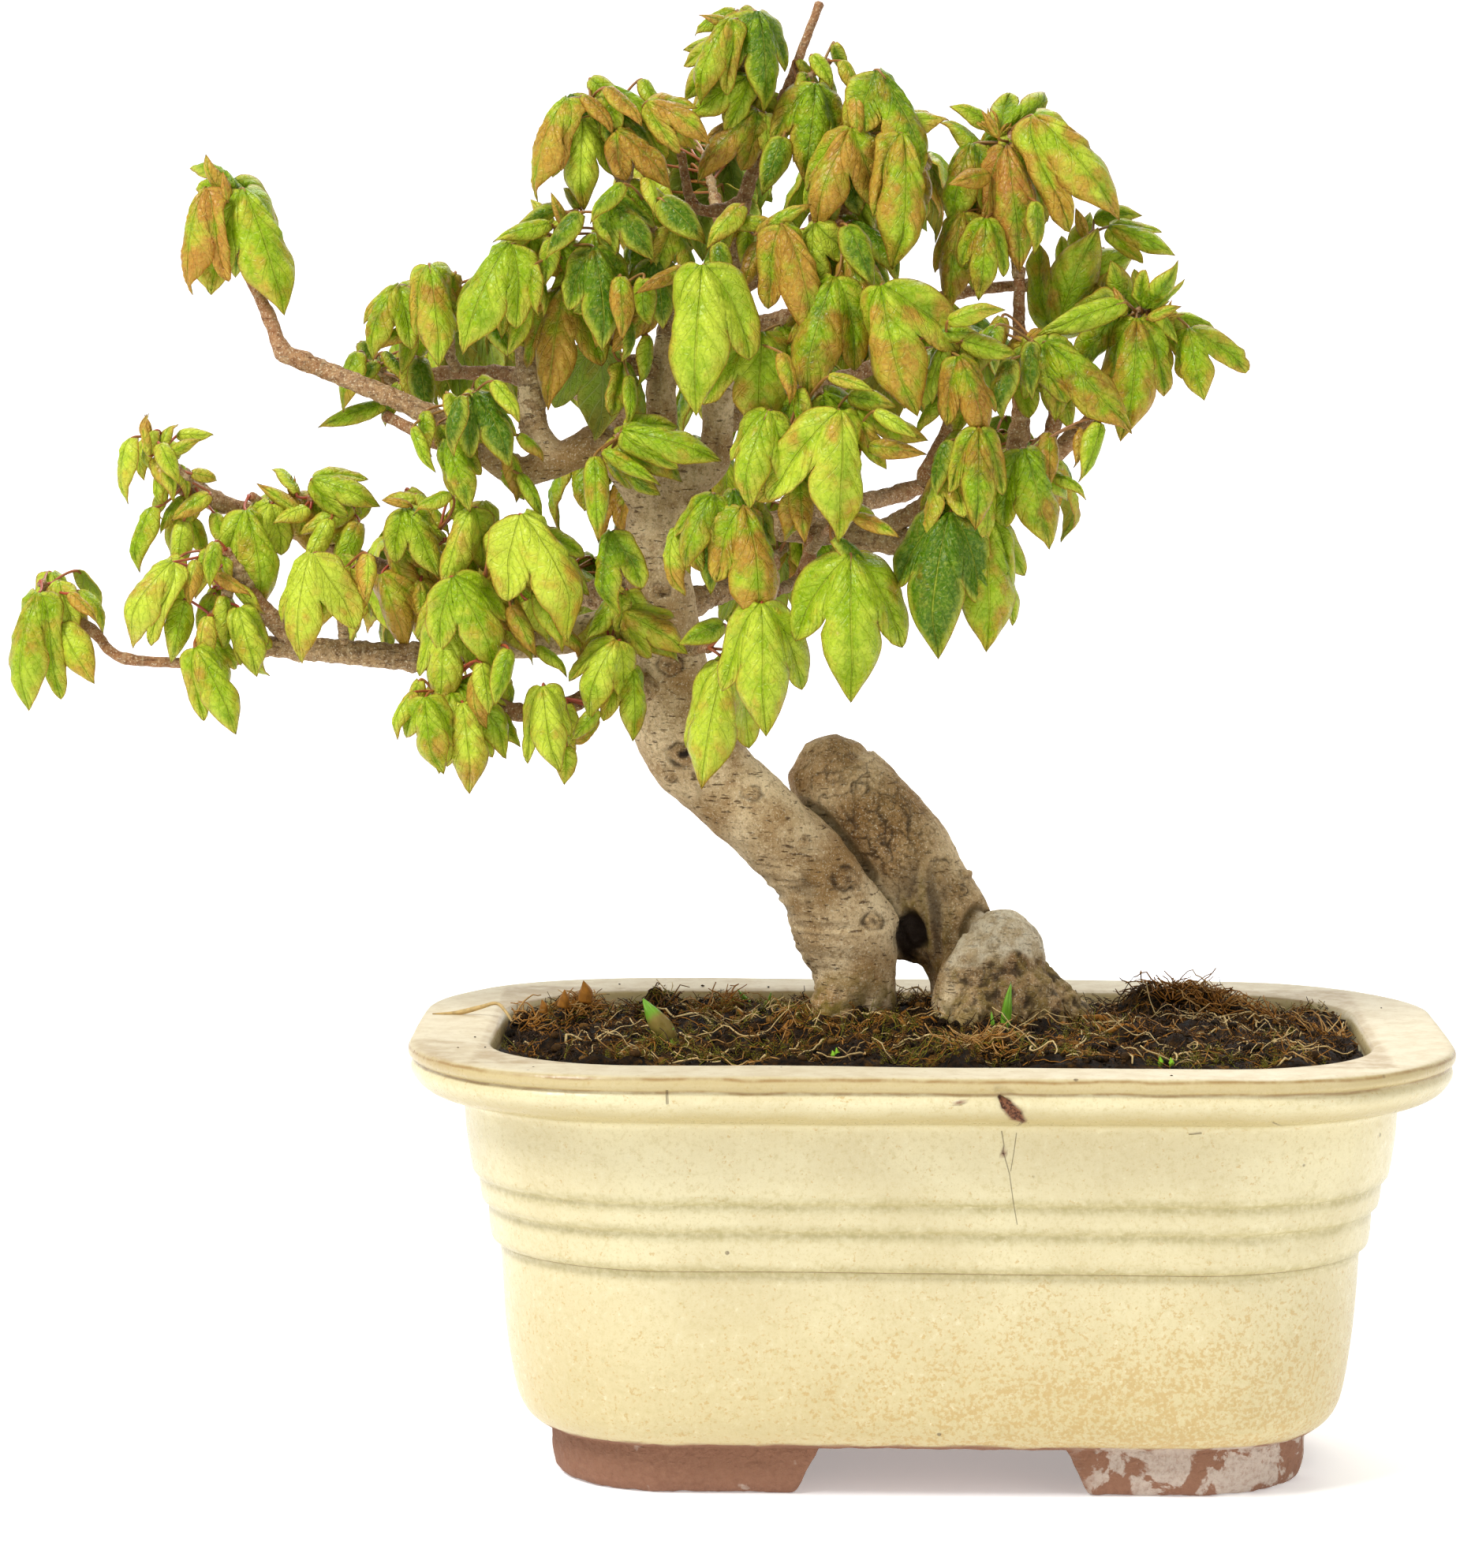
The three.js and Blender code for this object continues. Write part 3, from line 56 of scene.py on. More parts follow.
# Limbs of the tree: sides of the CAD section, then x, z, depth y and radius of each station.
LIMBS = [
  # trunk, from the roots to the first fork
  [9, [-12.2, 64, 9, 6.4], [-12.7, 80, 8.5, 7.3], [-14, 90, 8, 8.5],
    [-16, 95, 8, 8.6], [-22.3, 105, 7.5, 7.7], [-27.4, 110, 7, 7.2],
    [-38, 120, 7, 7.8], [-42, 125, 6.5, 8.3], [-44.5, 130.5, 6, 7.8], [-46.5, 145, 6, 6.4],
    [-48, 160, 5, 5.4], [-47.6, 166, 5, 4.9], [-47.4, 170, 4.5, 3.6]],
  # old second trunk, cut back to a rounded stump
  [9, [9, 66, 15, 8.4], [9, 80, 15, 9.8], [6.4, 88, 15, 8.2],
    [-0.6, 101, 15, 7.6], [-6, 108, 15.5, 8.6], [-16, 118.5, 16, 8.3], [-18, 122.8, 16, 6.4],
    [-19, 126, 16, 3]],
  # swollen root in front of the stump, with its side root
  [9, [12.2, 66, 8, 6], [12.4, 80, 8, 7.2], [12.6, 88, 7.5, 7.6], [12.3, 93, 7.5, 5.8], [12, 96, 8, 2.4]],
  [6, [11, 87, 8, 5.4], [18, 83, 9, 4.6], [23.6, 79, 9, 3.6], [27.2, 74, 9, 2.8], [29, 68, 9, 1.6]],
  [6, [12, 84, 6, 5], [8.5, 80, 0, 3.4], [6.5, 76, -5, 2.3], [5.6, 71, -8, 1.3]],
  # web of wood where both trunks meet
  [6, [-13, 99, 10, 4.6], [-7, 93, 12, 4.6], [-1, 90.6, 14, 4.2], [5, 91, 15, 4.2]],
  # leader into the crown
  [6, [-47.6, 163, 5, 4.6], [-45, 169.5, 5, 4], [-40, 172.4, 6, 3.4], [-37.5, 177, 6, 3.1],
    [-37, 190, 4, 2.6], [-36, 199, 3, 2.3], [-34.5, 208, 2, 1.9], [-33, 219.5, 0, 1.3]],
  [5, [-47.6, 166, 4, 3.6], [-48, 173, 2, 3.1], [-47, 180, 2, 2.8], [-47, 187, 1, 2.5],
    [-45.7, 197, 1, 1.9],
    [-46, 206, -1, 1.6], [-49.5, 214, -4, 1.3], [-53, 221, -6, 1.1]],
  [4, [-46.8, 189, 1, 2], [-51, 191, -1, 1.6], [-55, 191.5, -2, 1.4], [-59, 195, -4, 1.2],
    [-61.5, 202, -6, 1]],
  # middle left branch with its long bare twig
  [6, [-47.3, 164, 4, 4.2], [-51, 171, 1, 3.9], [-57, 177.3, -2, 3.6], [-61, 176, -3, 3.1],
    [-66, 173.8, -4, 2.9],
    [-72, 172.5, -5, 2.5], [-79, 177, -7, 2.1], [-87, 182, -9, 1.8], [-109, 191.5, -10, 1.5],
    [-112.5, 193, -10, 1.4], [-115, 199, -10, 1.1], [-118, 206, -9, 1], [-120.6, 213, -9, 0.8]],
  [4, [-75, 174.2, -6, 1.9], [-86, 177.5, -2, 1.2], [-95, 182, 2, 0.9]],
  [5, [-65, 174, -4, 2.8], [-69, 180, -3, 2.5], [-69.5, 190, -2, 2.3], [-71, 197, -3, 1.7],
    [-72.5, 206, -5, 1.2]],
  [4, [-68.6, 188, -2, 1.8], [-76, 189.3, 2, 1.3], [-85, 189.5, 5, 1.1], [-96, 187.2, 8, 0.8]],
  # lowest left branch, reaching past the pot
  [6, [-45.4, 141, 6, 5], [-52, 146, 3, 3.5], [-68, 143, -2, 2.8], [-78, 142, -4, 2.5],
    [-90, 140, -5, 2.3], [-110, 141.5, -5, 2], [-117, 141.6, -5, 1.6], [-123, 139.3, -6, 1],
    [-140, 139.5, -7, 0.9], [-146, 144.5, -6, 0.9], [-153.5, 150.5, -5, 0.7]],
  [4, [-110, 141.5, -5, 1.7], [-115, 147, -7, 1.5], [-119.5, 153, -9, 1.1]],
  [5, [-73, 142.6, -3, 2.2], [-77, 147, 0, 1.9], [-95, 155, 7, 1.7], [-106, 160, 8, 1.6],
    [-118, 165, 5, 1.5], [-124, 167, 3, 1.6], [-131, 171, 1, 2.3]],
  [5, [-45.2, 134, 4, 3.6], [-54, 135.4, -2, 1.8], [-65, 131, -8, 1.5], [-72, 130.5, -12, 1.4],
    [-78, 133, -14, 1.3],
    [-84.5, 135, -15, 1]],
  # right branch
  [5, [-46.6, 160, 5, 3.8], [-40, 164.6, 2, 2.6], [-30, 163, -3, 2.3], [-13, 161.5, -8, 2.3],
    [-5, 160.5, -10, 2.2],
    [2, 162.5, -11, 2.1], [9, 166, -11, 1.9], [17, 172, -11, 1.8], [24, 178.5, -10, 1.5],
    [29, 184, -10, 1.3],
    [33.5, 194, -10, 0.9]],
  [4, [-9, 162, -9, 1.9], [0, 168, -13, 1.4], [-1, 172, -15, 1.3], [1, 176, -15, 1.2], [3.5, 182, -15, 1]],
  [4, [17.5, 172.5, -11, 1.5], [21, 181, -9, 1.2], [20.3, 187, -8, 1]],
  [4, [12, 168.5, -11, 1.6], [15, 179, -12, 1.7], [15, 187, -12, 1.3], [14.6, 208, -11, 0.9]],
  [4, [-21, 162, -6, 1.5], [-21.5, 157, -12, 1.1], [-24.4, 152, -15, 0.9]],
  # branches in the crown
  [4, [-36.4, 196, 3, 1.9], [-25, 199, 0, 1.5], [-12, 201, -4, 1.2], [17, 205, 1, 0.9]],
  [4, [-35.3, 203, 2, 1.8], [-27, 208.5, -2, 1.5], [-20.5, 211, -5, 1.4], [-16, 216, -7, 1.2],
    [-13, 221, -8, 1]],
  [4, [-20.6, 209, -5, 1.1], [-20.6, 217, -5, 0.9]],
  [4, [-33.6, 217, 0, 1.4], [-30, 227, 1, 1.1], [-26, 236, 0, 0.9], [-19.8, 252.8, -2, 0.7]],
  [4, [-33, 219, 0, 1.2], [-37.5, 217.4, -1, 1], [-41.5, 218.5, -2, 0.9], [-43.5, 227.5, -2, 0.7]],
  # branches at the back
  [5, [-46.5, 147, 6, 4], [-41, 150, 15, 2.4], [-33, 153, 26, 1.9], [-27, 157, 35, 1.3]],
  [5, [-46.5, 150, 6, 4], [-58, 151, 15, 2.3], [-70, 151, 25, 1.8], [-84, 153, 33, 1.2]],
  [5, [-47.5, 158, 6, 4], [-49, 163, 19, 2.2], [-46, 168, 31, 1.4]],
  [4, [-30, 163, -2, 2], [-18, 166, 10, 1.8], [-5, 169, 22, 1.5], [8, 174, 30, 1]],
  [5, [-38, 180, 5, 2.4], [-28, 184, 15, 2], [-16, 188, 25, 1.6], [-5, 193, 31, 1]],
  [5, [-47.6, 172, 3, 2.8], [-55, 182, 13, 2.2], [-66, 190, 22, 1.6], [-76, 197, 28, 1]],
  [4, [-34.7, 206, 2, 1.9], [-36, 212, 10, 1.5], [-38, 220, 19, 1]],
  [4, [-26, 209, -2, 1.4], [-19, 214, 9, 1.2], [-11, 221, 15, 0.8]],
]

# Leafy shoots: name, stems (x, z, y of each station), then leaves. A leaf is the place of its base,
# the place of its tip, the way it faces (degrees, 0 = front, + = right), its breadth and its tint:
# dark green, green, light green, mixed, bronze, pinkish.
SHOOTS = [
  ['low_1', [[[-152, 149.4, -5], [-155, 153, -7]]], [
    [-155.5, 151, -158.8, 130.5, -18, 0.9, 1], [-151.5, 145.5, -146, 135, -15, 1.1, 1],
    [-148.5, 155, -144, 148, 150, 0.9, 1], [-150, 151, -145.5, 146, 35, 0.8, 4]]],
  ['low_2', [[[-126, 168, 3], [-129, 170.6, -3], [-134, 177, -4]]], [
    [-139, 178, -140, 166.5, -45, 0.9, 1], [-136, 175, -136.5, 182, -20, 0.5, 4],
    [-132, 175.5, -127, 178, 30, 0.8, 1], [-134, 177, -131, 170, 10, 1, 1],
    [-125.5, 168.3, -132, 163.5, -10, 0.9, 3],
    [-135, 166, -139, 155, -40, 0.9, 1], [-130, 163.5, -131, 154, 0, 0.9, 1],
    [-124.5, 165, -123, 158, 20, 0.9, 1]]],
  ['low_3', [[[-118.5, 152, -9], [-122.5, 158.5, -12]], [[-118.5, 152, -9], [-125, 147, -13]]], [
    [-124.5, 160, -126, 152, 0, 0.8, 0], [-132, 156.5, -141, 142.5, -25, 1, 2],
    [-124.5, 154.5, -118.5, 150, 30, 0.7, 4],
    [-130, 149.8, -132.5, 138.8, 15, 0.9, 1], [-126, 147, -127, 136.5, -20, 0.8, 3],
    [-120.5, 148.5, -117.5, 136.5, 0, 1, 1], [-128, 141.5, -121, 126.5, 15, 0.9, 1]]],
  ['low_4', [[[-110, 161.6, 7], [-107.5, 168, 2]], [[-110, 161.6, 7], [-118.5, 168, -1]]], [
    [-119, 165.5, -115.5, 148, 22, 1, 1], [-107.5, 171, -96, 166.5, 0, 0.9, 1],
    [-110, 165.5, -117, 170.5, -20, 0.6, 4],
    [-100.5, 166, -110, 161, -10, 0.8, 1], [-104.5, 164, -109, 155, -10, 0.8, 1],
    [-99.5, 163.5, -104, 153, 5, 0.8, 1]]],
  ['low_5', [[[-102, 141.4, -5], [-103, 154, -12]]], [
    [-107.5, 158, -110.5, 139, -22, 0.9, 2], [-101, 155.5, -108.5, 144, -30, 0.8, 3],
    [-98, 158, -98, 150, 20, 0.9, 4]]],
  ['low_6', [[[-86, 150.8, 4], [-91.5, 163, 0]], [[-86, 150.8, 4], [-79, 162, -4]]], [
    [-91.5, 166, -85.5, 154, 15, 0.9, 1], [-89.3, 168.5, -84, 161, 60, 0.8, 1],
    [-90.5, 166.5, -95.5, 167.5, -20, 0.6, 4],
    [-95.5, 154.5, -90, 141.5, -10, 0.9, 4], [-79.5, 166, -84.5, 151, -20, 0.9, 3],
    [-76, 163.5, -75, 155, 25, 0.9, 1],
    [-86, 152, -85, 143, 0, 0.9, 0]]],
  ['low_7', [[[-76, 142.8, -4], [-71, 158, -12]], [[-76, 142.8, -4], [-84, 150, -13]]], [
    [-71, 165, -61, 144, 28, 1, 2], [-73, 149, -69, 140, 10, 0.8, 4], [-68, 152, -64, 141, 30, 0.9, 1],
    [-83, 154, -75, 138, 12, 1, 1], [-84, 148, -85, 130.5, -10, 0.9, 1],
    [-68.5, 142, -63, 137, 40, 0.8, 1]]],
  ['low_8', [[[-82.5, 135, -14.6], [-86.5, 134, -18]]], [
    [-90, 134, -94, 126, -35, 0.8, 3], [-88, 133, -86, 119.5, -12, 1, 1], [-81.5, 132, -79, 116.5, 0, 1, 3],
    [-83, 135.5, -72, 124.8, 25, 0.9, 0], [-73.5, 141.5, -76, 131.5, 20, 0.8, 0]]],
  ['low_9', [[[-64, 131.5, -7.6], [-67, 134.5, -13]]], [
    [-67.5, 135, -66, 119.8, 0, 0.95, 2], [-63.5, 124.5, -63.5, 117.8, 0, 1.2, 1],
    [-58, 131, -62.5, 125.5, 15, 0.9, 0]]],
  ['low_10', [[[-54, 146.2, 2], [-54, 158, -5]], [[-54, 146.2, 2], [-56, 141.5, -9]]], [
    [-54.5, 143, -61, 130, -15, 1, 2], [-52, 138.5, -52, 125.5, 15, 0.9, 1],
    [-55.5, 162, -56.5, 147.5, -30, 0.9, 0],
    [-53.5, 148, -42, 141.5, 5, 0.9, 3]]],
  ['mid_1', [[[-53, 173.6, 0], [-54, 178.5, -7]]], [
    [-53.5, 179.5, -36.5, 174.5, 5, 0.75, 1], [-58.5, 175, -57.5, 160, 0, 0.6, 3],
    [-57, 176, -47, 170, 10, 0.5, 1]]],
  ['mid_2', [[[-79.5, 177.5, -7], [-80.5, 184, -8]]], [
    [-84, 178, -79.5, 165.5, -10, 0.9, 1], [-90, 180, -86.5, 172, -20, 0.6, 1],
    [-79, 186, -72.5, 173.5, 20, 0.9, 0],
    [-81.5, 185.5, -83.5, 175, -30, 0.8, 0], [-76, 188, -71, 181, 15, 0.8, 2],
    [-71.5, 172, -67.3, 164, 20, 0.6, 1]]],
  ['mid_3', [[[-119.7, 211, -9], [-121.5, 219.5, -9]]], [
    [-125.5, 221, -128, 202.8, -38, 0.9, 5], [-119, 221, -112.5, 199.5, 18, 1, 2],
    [-122, 219, -122.4, 224, 0, 0.6, 5]]],
  ['mid_4', [[[-82, 189.6, 4], [-86.5, 198, 1], [-91, 204, -2]], [[-82, 189.6, 4], [-84, 204, -1]]], [
    [-92.3, 204.5, -98, 192, -30, 0.9, 1], [-88, 198, -97.5, 193, -20, 0.6, 4],
    [-90, 197, -92, 189, 0, 0.8, 2],
    [-87, 208, -84.5, 190.5, 5, 0.9, 3], [-78, 206, -83, 199, 0, 0.8, 0]]],
  ['mid_5', [[[-72, 203, -4.5], [-72.8, 211, -10]]], [
    [-73, 211.5, -81, 192.5, -22, 1.05, 2], [-77, 199, -72.5, 191, 20, 0.8, 0],
    [-70, 201, -73, 192, 0, 0.8, 2],
    [-70, 210, -67, 199, 60, 0.8, 1]]],
  ['mid_6', [[[-93, 187.8, 7.4], [-98, 191, 3]]], [
    [-99.5, 193, -102, 182.5, -30, 1, 1], [-95, 184, -106.5, 179.8, -20, 0.6, 1],
    [-89, 192, -87.5, 181, 10, 0.9, 0],
    [-95, 193, -91, 187, 60, 0.8, 0]]],
  ['crown_1', [[[-51.5, 218, -5], [-57, 229, -8], [-59, 236, -9]], [[-53.5, 222, -6], [-51, 233, -11]]], [
    [-63, 236.5, -68, 219, -38, 1, 3], [-60.5, 233, -60.5, 217.5, 0, 0.9, 2],
    [-60.5, 237, -54.5, 231, 20, 0.7, 4],
    [-56.5, 238.5, -50, 232, 35, 0.8, 4], [-54.5, 231, -45, 222, 15, 0.9, 4],
    [-49.3, 236, -38, 230, 10, 0.8, 4],
    [-46.8, 237.3, -44, 230, 60, 0.8, 1]]],
  ['crown_2', [[[-47, 208.6, -2], [-50, 219, -11]]], [
    [-56, 219.5, -48, 209, 10, 0.9, 0], [-47, 219.5, -39.5, 211.5, 15, 1.1, 0],
    [-53.5, 222, -59.5, 215.5, -20, 0.8, 1],
    [-48, 209, -46.5, 197, 10, 1, 0]]],
  ['crown_3', [[[-61.3, 200.8, -6], [-63, 209, -8], [-63.5, 217, -10]]], [
    [-63.5, 214.5, -66, 220.5, 0, 0.6, 4], [-61, 217, -67, 209, -20, 0.9, 0],
    [-58, 217, -54, 210, 15, 0.9, 1],
    [-66, 215, -76, 212, -20, 0.7, 1], [-69, 208, -68, 199, -40, 0.8, 1],
    [-58.5, 211, -56, 193.5, 10, 0.9, 0],
    [-63.5, 204.5, -66, 183, -12, 0.8, 4]]],
  ['crown_4', [[[-55, 191.8, -2], [-55.5, 203, -9]]], [
    [-54, 206, -53.5, 195, 0, 0.8, 4], [-43, 207.5, -51.5, 203, 0, 0.6, 4],
    [-57.5, 194, -58.5, 178, 160, 1.2, 1],
    [-52.5, 189, -52, 180, 10, 0.6, 1]]],
  ['crown_5', [[[-31, 225, 0.8], [-32.5, 240, -3], [-32.7, 250.5, -3.5]]], [
    [-30.5, 251.3, -29.5, 234.5, 20, 0.9, 0], [-35, 250, -41, 236, -25, 0.9, 3],
    [-33, 248.5, -40.5, 250.5, 0, 0.6, 4],
    [-32, 240.3, -42, 233, -15, 1, 1], [-30.5, 234.5, -41, 222.5, -20, 0.8, 4],
    [-29, 234, -28.5, 226, 0, 1.3, 2]]],
  ['crown_6', [[[-28, 231.5, 0.6], [-24, 238, -5], [-18, 243, -1]]], [
    [-26, 230, -29.5, 220, 0, 1, 0], [-20.5, 239, -21.5, 222.5, 5, 1, 1],
    [-26, 236.5, -22.5, 227, 50, 0.7, 0],
    [-21, 244, -17, 238.5, 10, 0.9, 1], [-16, 243, -13, 236.5, 30, 0.9, 3]]],
  ['crown_7', [[[-13.6, 220, -8], [-12.5, 230, -12], [-10.5, 240.5, -11]]], [
    [-9.5, 241.5, -2, 223, 30, 1, 1], [-13.5, 237, -13, 229, 0, 0.8, 4], [-12, 224, -8.5, 234, 10, 0.6, 4],
    [-14.5, 231.5, -20, 213.5, -18, 0.9, 4], [-5.5, 230.5, -5, 207.5, 15, 0.9, 3],
    [-16, 226, -18, 212, -50, 0.8, 0]]],
  ['crown_8', [[[-34, 213, 1.4], [-34, 217, -10]]], [
    [-33, 218.5, -39, 210.5, -20, 0.9, 1], [-30.5, 213.5, -21, 218.5, 0, 0.6, 4],
    [-30, 212, -33, 203.5, -10, 0.9, 4],
    [-37, 212, -36, 202.5, 0, 0.8, 0]]],
  ['crown_9', [[[-22, 210.6, -4.4], [-24.5, 214, -14]], [[-22, 210.6, -4.4], [-16, 215, -14]]], [
    [-26, 215, -20.5, 195.5, 18, 0.9, 4], [-18.5, 212, -17.5, 203, 0, 0.8, 0],
    [-15, 215, -10.5, 204, 10, 0.9, 0],
    [-14, 215.5, -5, 206, 40, 0.9, 0], [-17, 206, -22, 184.5, -15, 0.95, 3]]],
  ['crown_10', [[[-36, 200, 2.6], [-38.5, 206, -19]]], [[-39.8, 208, -40, 182.5, -8, 1, 2]]],
  ['crown_11', [[[-10, 201, -4], [-9.5, 203.5, -15]]], [[-9, 204.5, -3.5, 182, -14, 1, 3]]],
  ['crown_12', [[[-37.4, 188.5, 4.2], [-32, 195, -10]]], [
    [-29.5, 196.5, -30.5, 178.5, 0, 1.2, 3], [-26, 193, -24.5, 184, 30, 0.8, 4]]],
  ['mid_7', [[[-24, 162.6, -4.8], [-25.5, 178, -14]], [[-24, 162.6, -4.8], [-15, 175, -16]]], [
    [-28.5, 183, -33, 166.5, -15, 0.9, 2], [-23, 171, -22, 160, 0, 0.8, 4],
    [-18, 189, -10, 186.5, 0, 0.6, 2],
    [-10, 183, -2.5, 178.5, 0, 0.7, 2], [-16, 183, -17.5, 160.5, 18, 1.05, 2],
    [-11, 177, -1, 175.5, 10, 0.7, 4]]],
  ['mid_8', [[[-36.5, 164.4, 0], [-39.5, 168.4, -9]], [[-36.5, 164.4, 0], [-32.5, 165.5, -13]]], [
    [-38, 168.5, -43, 155.5, -15, 0.95, 3], [-44, 163, -45, 151, -40, 0.8, 3],
    [-38, 163, -38, 151, 0, 0.9, 0],
    [-32.5, 166.5, -29.5, 145, 20, 1, 4]]],
  ['low_11', [[[-44, 141, 2], [-38.5, 141.8, -10]]], [
    [-36, 139, -39, 117, -12, 0.95, 2], [-36, 146, -44, 142.5, -10, 1, 0]]],
  ['low_12', [[[-23.6, 153.4, -14], [-27, 151.5, -20]]], [[-29.5, 149.5, -28.3, 126.5, 0, 0.95, 2]]],
  ['mid_9', [[[-21.3, 158.6, -10], [-17.5, 163, -19]]], [
    [-14, 158, -14.2, 132.5, 0, 1, 2], [-17, 161, -10.5, 155, 45, 0.8, 0],
    [-13.5, 165, -5.5, 161, 20, 0.7, 4]]],
  ['right_1', [[[14.6, 206, -11], [13.4, 222, -10], [13, 231, -10]]], [
    [17, 233.8, 31, 215.5, 15, 1, 3], [12.5, 228.5, 15, 207, 0, 0.8, 5], [6.5, 228.8, 3, 214.5, -20, 1, 1],
    [11, 230, 8, 234.5, 0, 0.6, 4], [5, 217, 2.5, 200.5, -15, 0.8, 4], [9, 216, 8, 202, 0, 0.8, 1],
    [17.5, 219, 17.5, 210, 20, 0.8, 1]]],
  ['right_2', [[[15.5, 204.4, 0.6], [21, 206, -1], [28, 214, -3]]], [
    [21, 196.5, 27, 215, 5, 1, 1], [30.2, 214.8, 41.5, 210, 0, 0.7, 1], [26, 213, 24.5, 218, 0, 0.8, 4]]],
  ['right_3', [[[32.6, 192, -10], [35, 200, -10], [40, 200.6, -11]]], [
    [33, 201.8, 17.5, 196, -5, 0.6, 2], [33, 199.5, 31, 204.5, 0, 0.7, 4],
    [37, 199, 42.5, 201.5, 10, 0.7, 4],
    [35, 199, 34.5, 178, 0, 0.9, 3], [44, 197.3, 47, 185, -10, 1.1, 1], [38, 201, 42, 194.5, 30, 0.8, 1]]],
  ['right_4', [[[20.6, 184, -8.6], [19, 193, -14]]], [
    [19.5, 195, 33.5, 178.5, 12, 0.9, 3], [17, 195, 16.5, 185, 0, 0.8, 0],
    [13.5, 192, 10.5, 182, -20, 0.9, 0],
    [11, 198, 6, 188, -30, 0.9, 1]]],
  ['right_5', [[[3, 180.4, -15], [3, 193, -17]]], [
    [2.5, 198.5, 12, 201.5, 0, 0.7, 2], [4.5, 192.5, 9.5, 177.5, 12, 0.8, 4],
    [2, 194, -1, 184.5, -20, 0.8, 2],
    [2, 186, -3, 178.5, -50, 0.7, 1]]],
  ['right_6', [[[17, 172, -11], [15.5, 175.4, -17]]], [
    [15.8, 176.5, 19.5, 159, 14, 1.05, 1], [20.5, 172, 27, 168.5, 50, 0.7, 1],
    [29, 181, 25, 171, 30, 0.8, 1]]],
  ['right_7', [[[6.2, 164.7, -11], [5.5, 168, -18], [7.5, 177, -20]]], [
    [3, 165.5, -1, 140.5, -8, 0.95, 0], [9, 165, 9.5, 141.5, 10, 1, 2], [8, 180, 8, 162.5, 0, 0.8, 3],
    [3, 178, 0.5, 168, -40, 0.8, 0]]],
]

# Shoots on the far side, grown by rule: name, root (x, z, y), growing direction (x, z).
BACK_SHOOTS = [
  ['back_1', [-28, 156.4, 33.5], [0.3, 0.35]], ['back_2', [-80, 152.4, 30.5], [-0.6, 0.3]],
  ['back_3', [-47, 166, 26.7], [-0.1, 0.5]], ['back_4', [4, 172.4, 27.5], [0.5, 0.3]],
  ['back_5', [-8, 191.6, 29.2], [0.4, 0.5]], ['back_6', [-72, 194.2, 25.8], [-0.5, 0.4]],
  ['back_7', [-37.4, 217.6, 16.3], [-0.2, 0.8]], ['back_8', [-13.4, 218.8, 13.8], [0.4, 0.5]],
  ['back_9', [-66, 151.2, 21.5], [0.1, 0.2]], ['back_10', [-24, 185.4, 18.9], [-0.2, 0.2]],
]

# Seedlings: name, root (x, z, y), leaves as in a shoot but without their tint, tint.
SEEDLINGS = [
  ['seedling_blade', [13.2, 71, -10], [[13.2, 74.5, 13.9, 83.4, 0, 1]], 1],
  ['seedling_leaf', [-45, 71, -14], [[-44.8, 72.5, -50.4, 80.2, -10, 1.3]], 3],
  ['seedling_sprout', [-30, 73, 22], [[-30, 77.5, -33.4, 82.2, -20, 1.2]], 2],
]

# Where the tip of one side lobe is seen, for leaves that show it apart: shoot, number of the leaf.
LOBE_TIPS = {
    ("low_1", 0): (-153.5, 132.5), ("low_1", 1): (-149, 136),
    ("low_2", 0): (-137, 167), ("low_3", 1): (-136.5, 142), ("low_3", 3): (-136, 138.5),
    ("low_3", 5): (-120.5, 138.5), ("low_3", 6): (-126.5, 129), ("low_4", 0): (-122.5, 151),
    ("low_4", 5): (-108, 157), ("low_6", 3): (-85.5, 143.5), ("low_6", 4): (-87, 155),
    ("low_7", 0): (-73, 150), ("low_8", 1): (-92.5, 126), ("low_8", 2): (-84, 121),
    ("low_9", 0): (-70.5, 121.5), ("low_10", 0): (-65, 137), ("low_10", 1): (-56.5, 129),
    ("mid_1", 0): (-44, 173.5), ("mid_2", 0): (-83.5, 168), ("mid_3", 1): (-124, 203.5),
    ("mid_3", 0): (-122.5, 205), ("mid_5", 0): (-72, 197), ("mid_6", 0): (-98.5, 184),
    ("mid_4", 0): (-91.5, 194), ("mid_4", 3): (-89, 196),
    ("crown_1", 0): (-64, 224), ("crown_1", 4): (-52.5, 223.5), ("crown_5", 1): (-36.5, 237.5),
    ("crown_5", 3): (-36.5, 231.5), ("crown_7", 0): (-11.5, 231), ("crown_7", 4): (-9.5, 216.5),
    ("crown_9", 0): (-27.5, 201), ("crown_10", 0): (-31.5, 192), ("crown_11", 0): (3.5, 193.5),
    ("crown_12", 0): (-40, 184.5), ("mid_7", 4): (-27, 167.5), ("mid_8", 3): (-36.5, 153.5),
    ("low_11", 0): (-43.5, 124.5), ("right_1", 0): (23.5, 214), ("right_1", 2): (8.5, 216.5),
    ("right_3", 3): (40.5, 186), ("right_3", 4): (54, 190), ("right_4", 0): (23, 184.5),
    ("right_6", 0): (13, 163), ("right_7", 1): (14.5, 146),
}


# ---------------------------------------------------------------- numbers
def seen(x, z, y):
    """A table place, carried along the line of sight from the plane y = 0 to its own depth."""
    reach = (y - EYE[1]) / -EYE[1]
    return np.array([EYE[0] + (x - EYE[0]) * reach, y, EYE[2] + (z - EYE[2]) * reach])


def apparent(points):
    """Table places x and z of points, the inverse of seen."""
    reach = (points[:, 1] - EYE[1]) / -EYE[1]
    return EYE[0] + (points[:, 0] - EYE[0]) / reach, EYE[2] + (points[:, 2] - EYE[2]) / reach


def unit(vectors):
    return vectors / np.maximum(np.linalg.norm(vectors, axis=-1, keepdims=True), 1e-12)


def smooth(low, high, value):
    share = np.clip((value - low) / (high - low), 0, 1)
    return share * share * (3 - 2 * share)


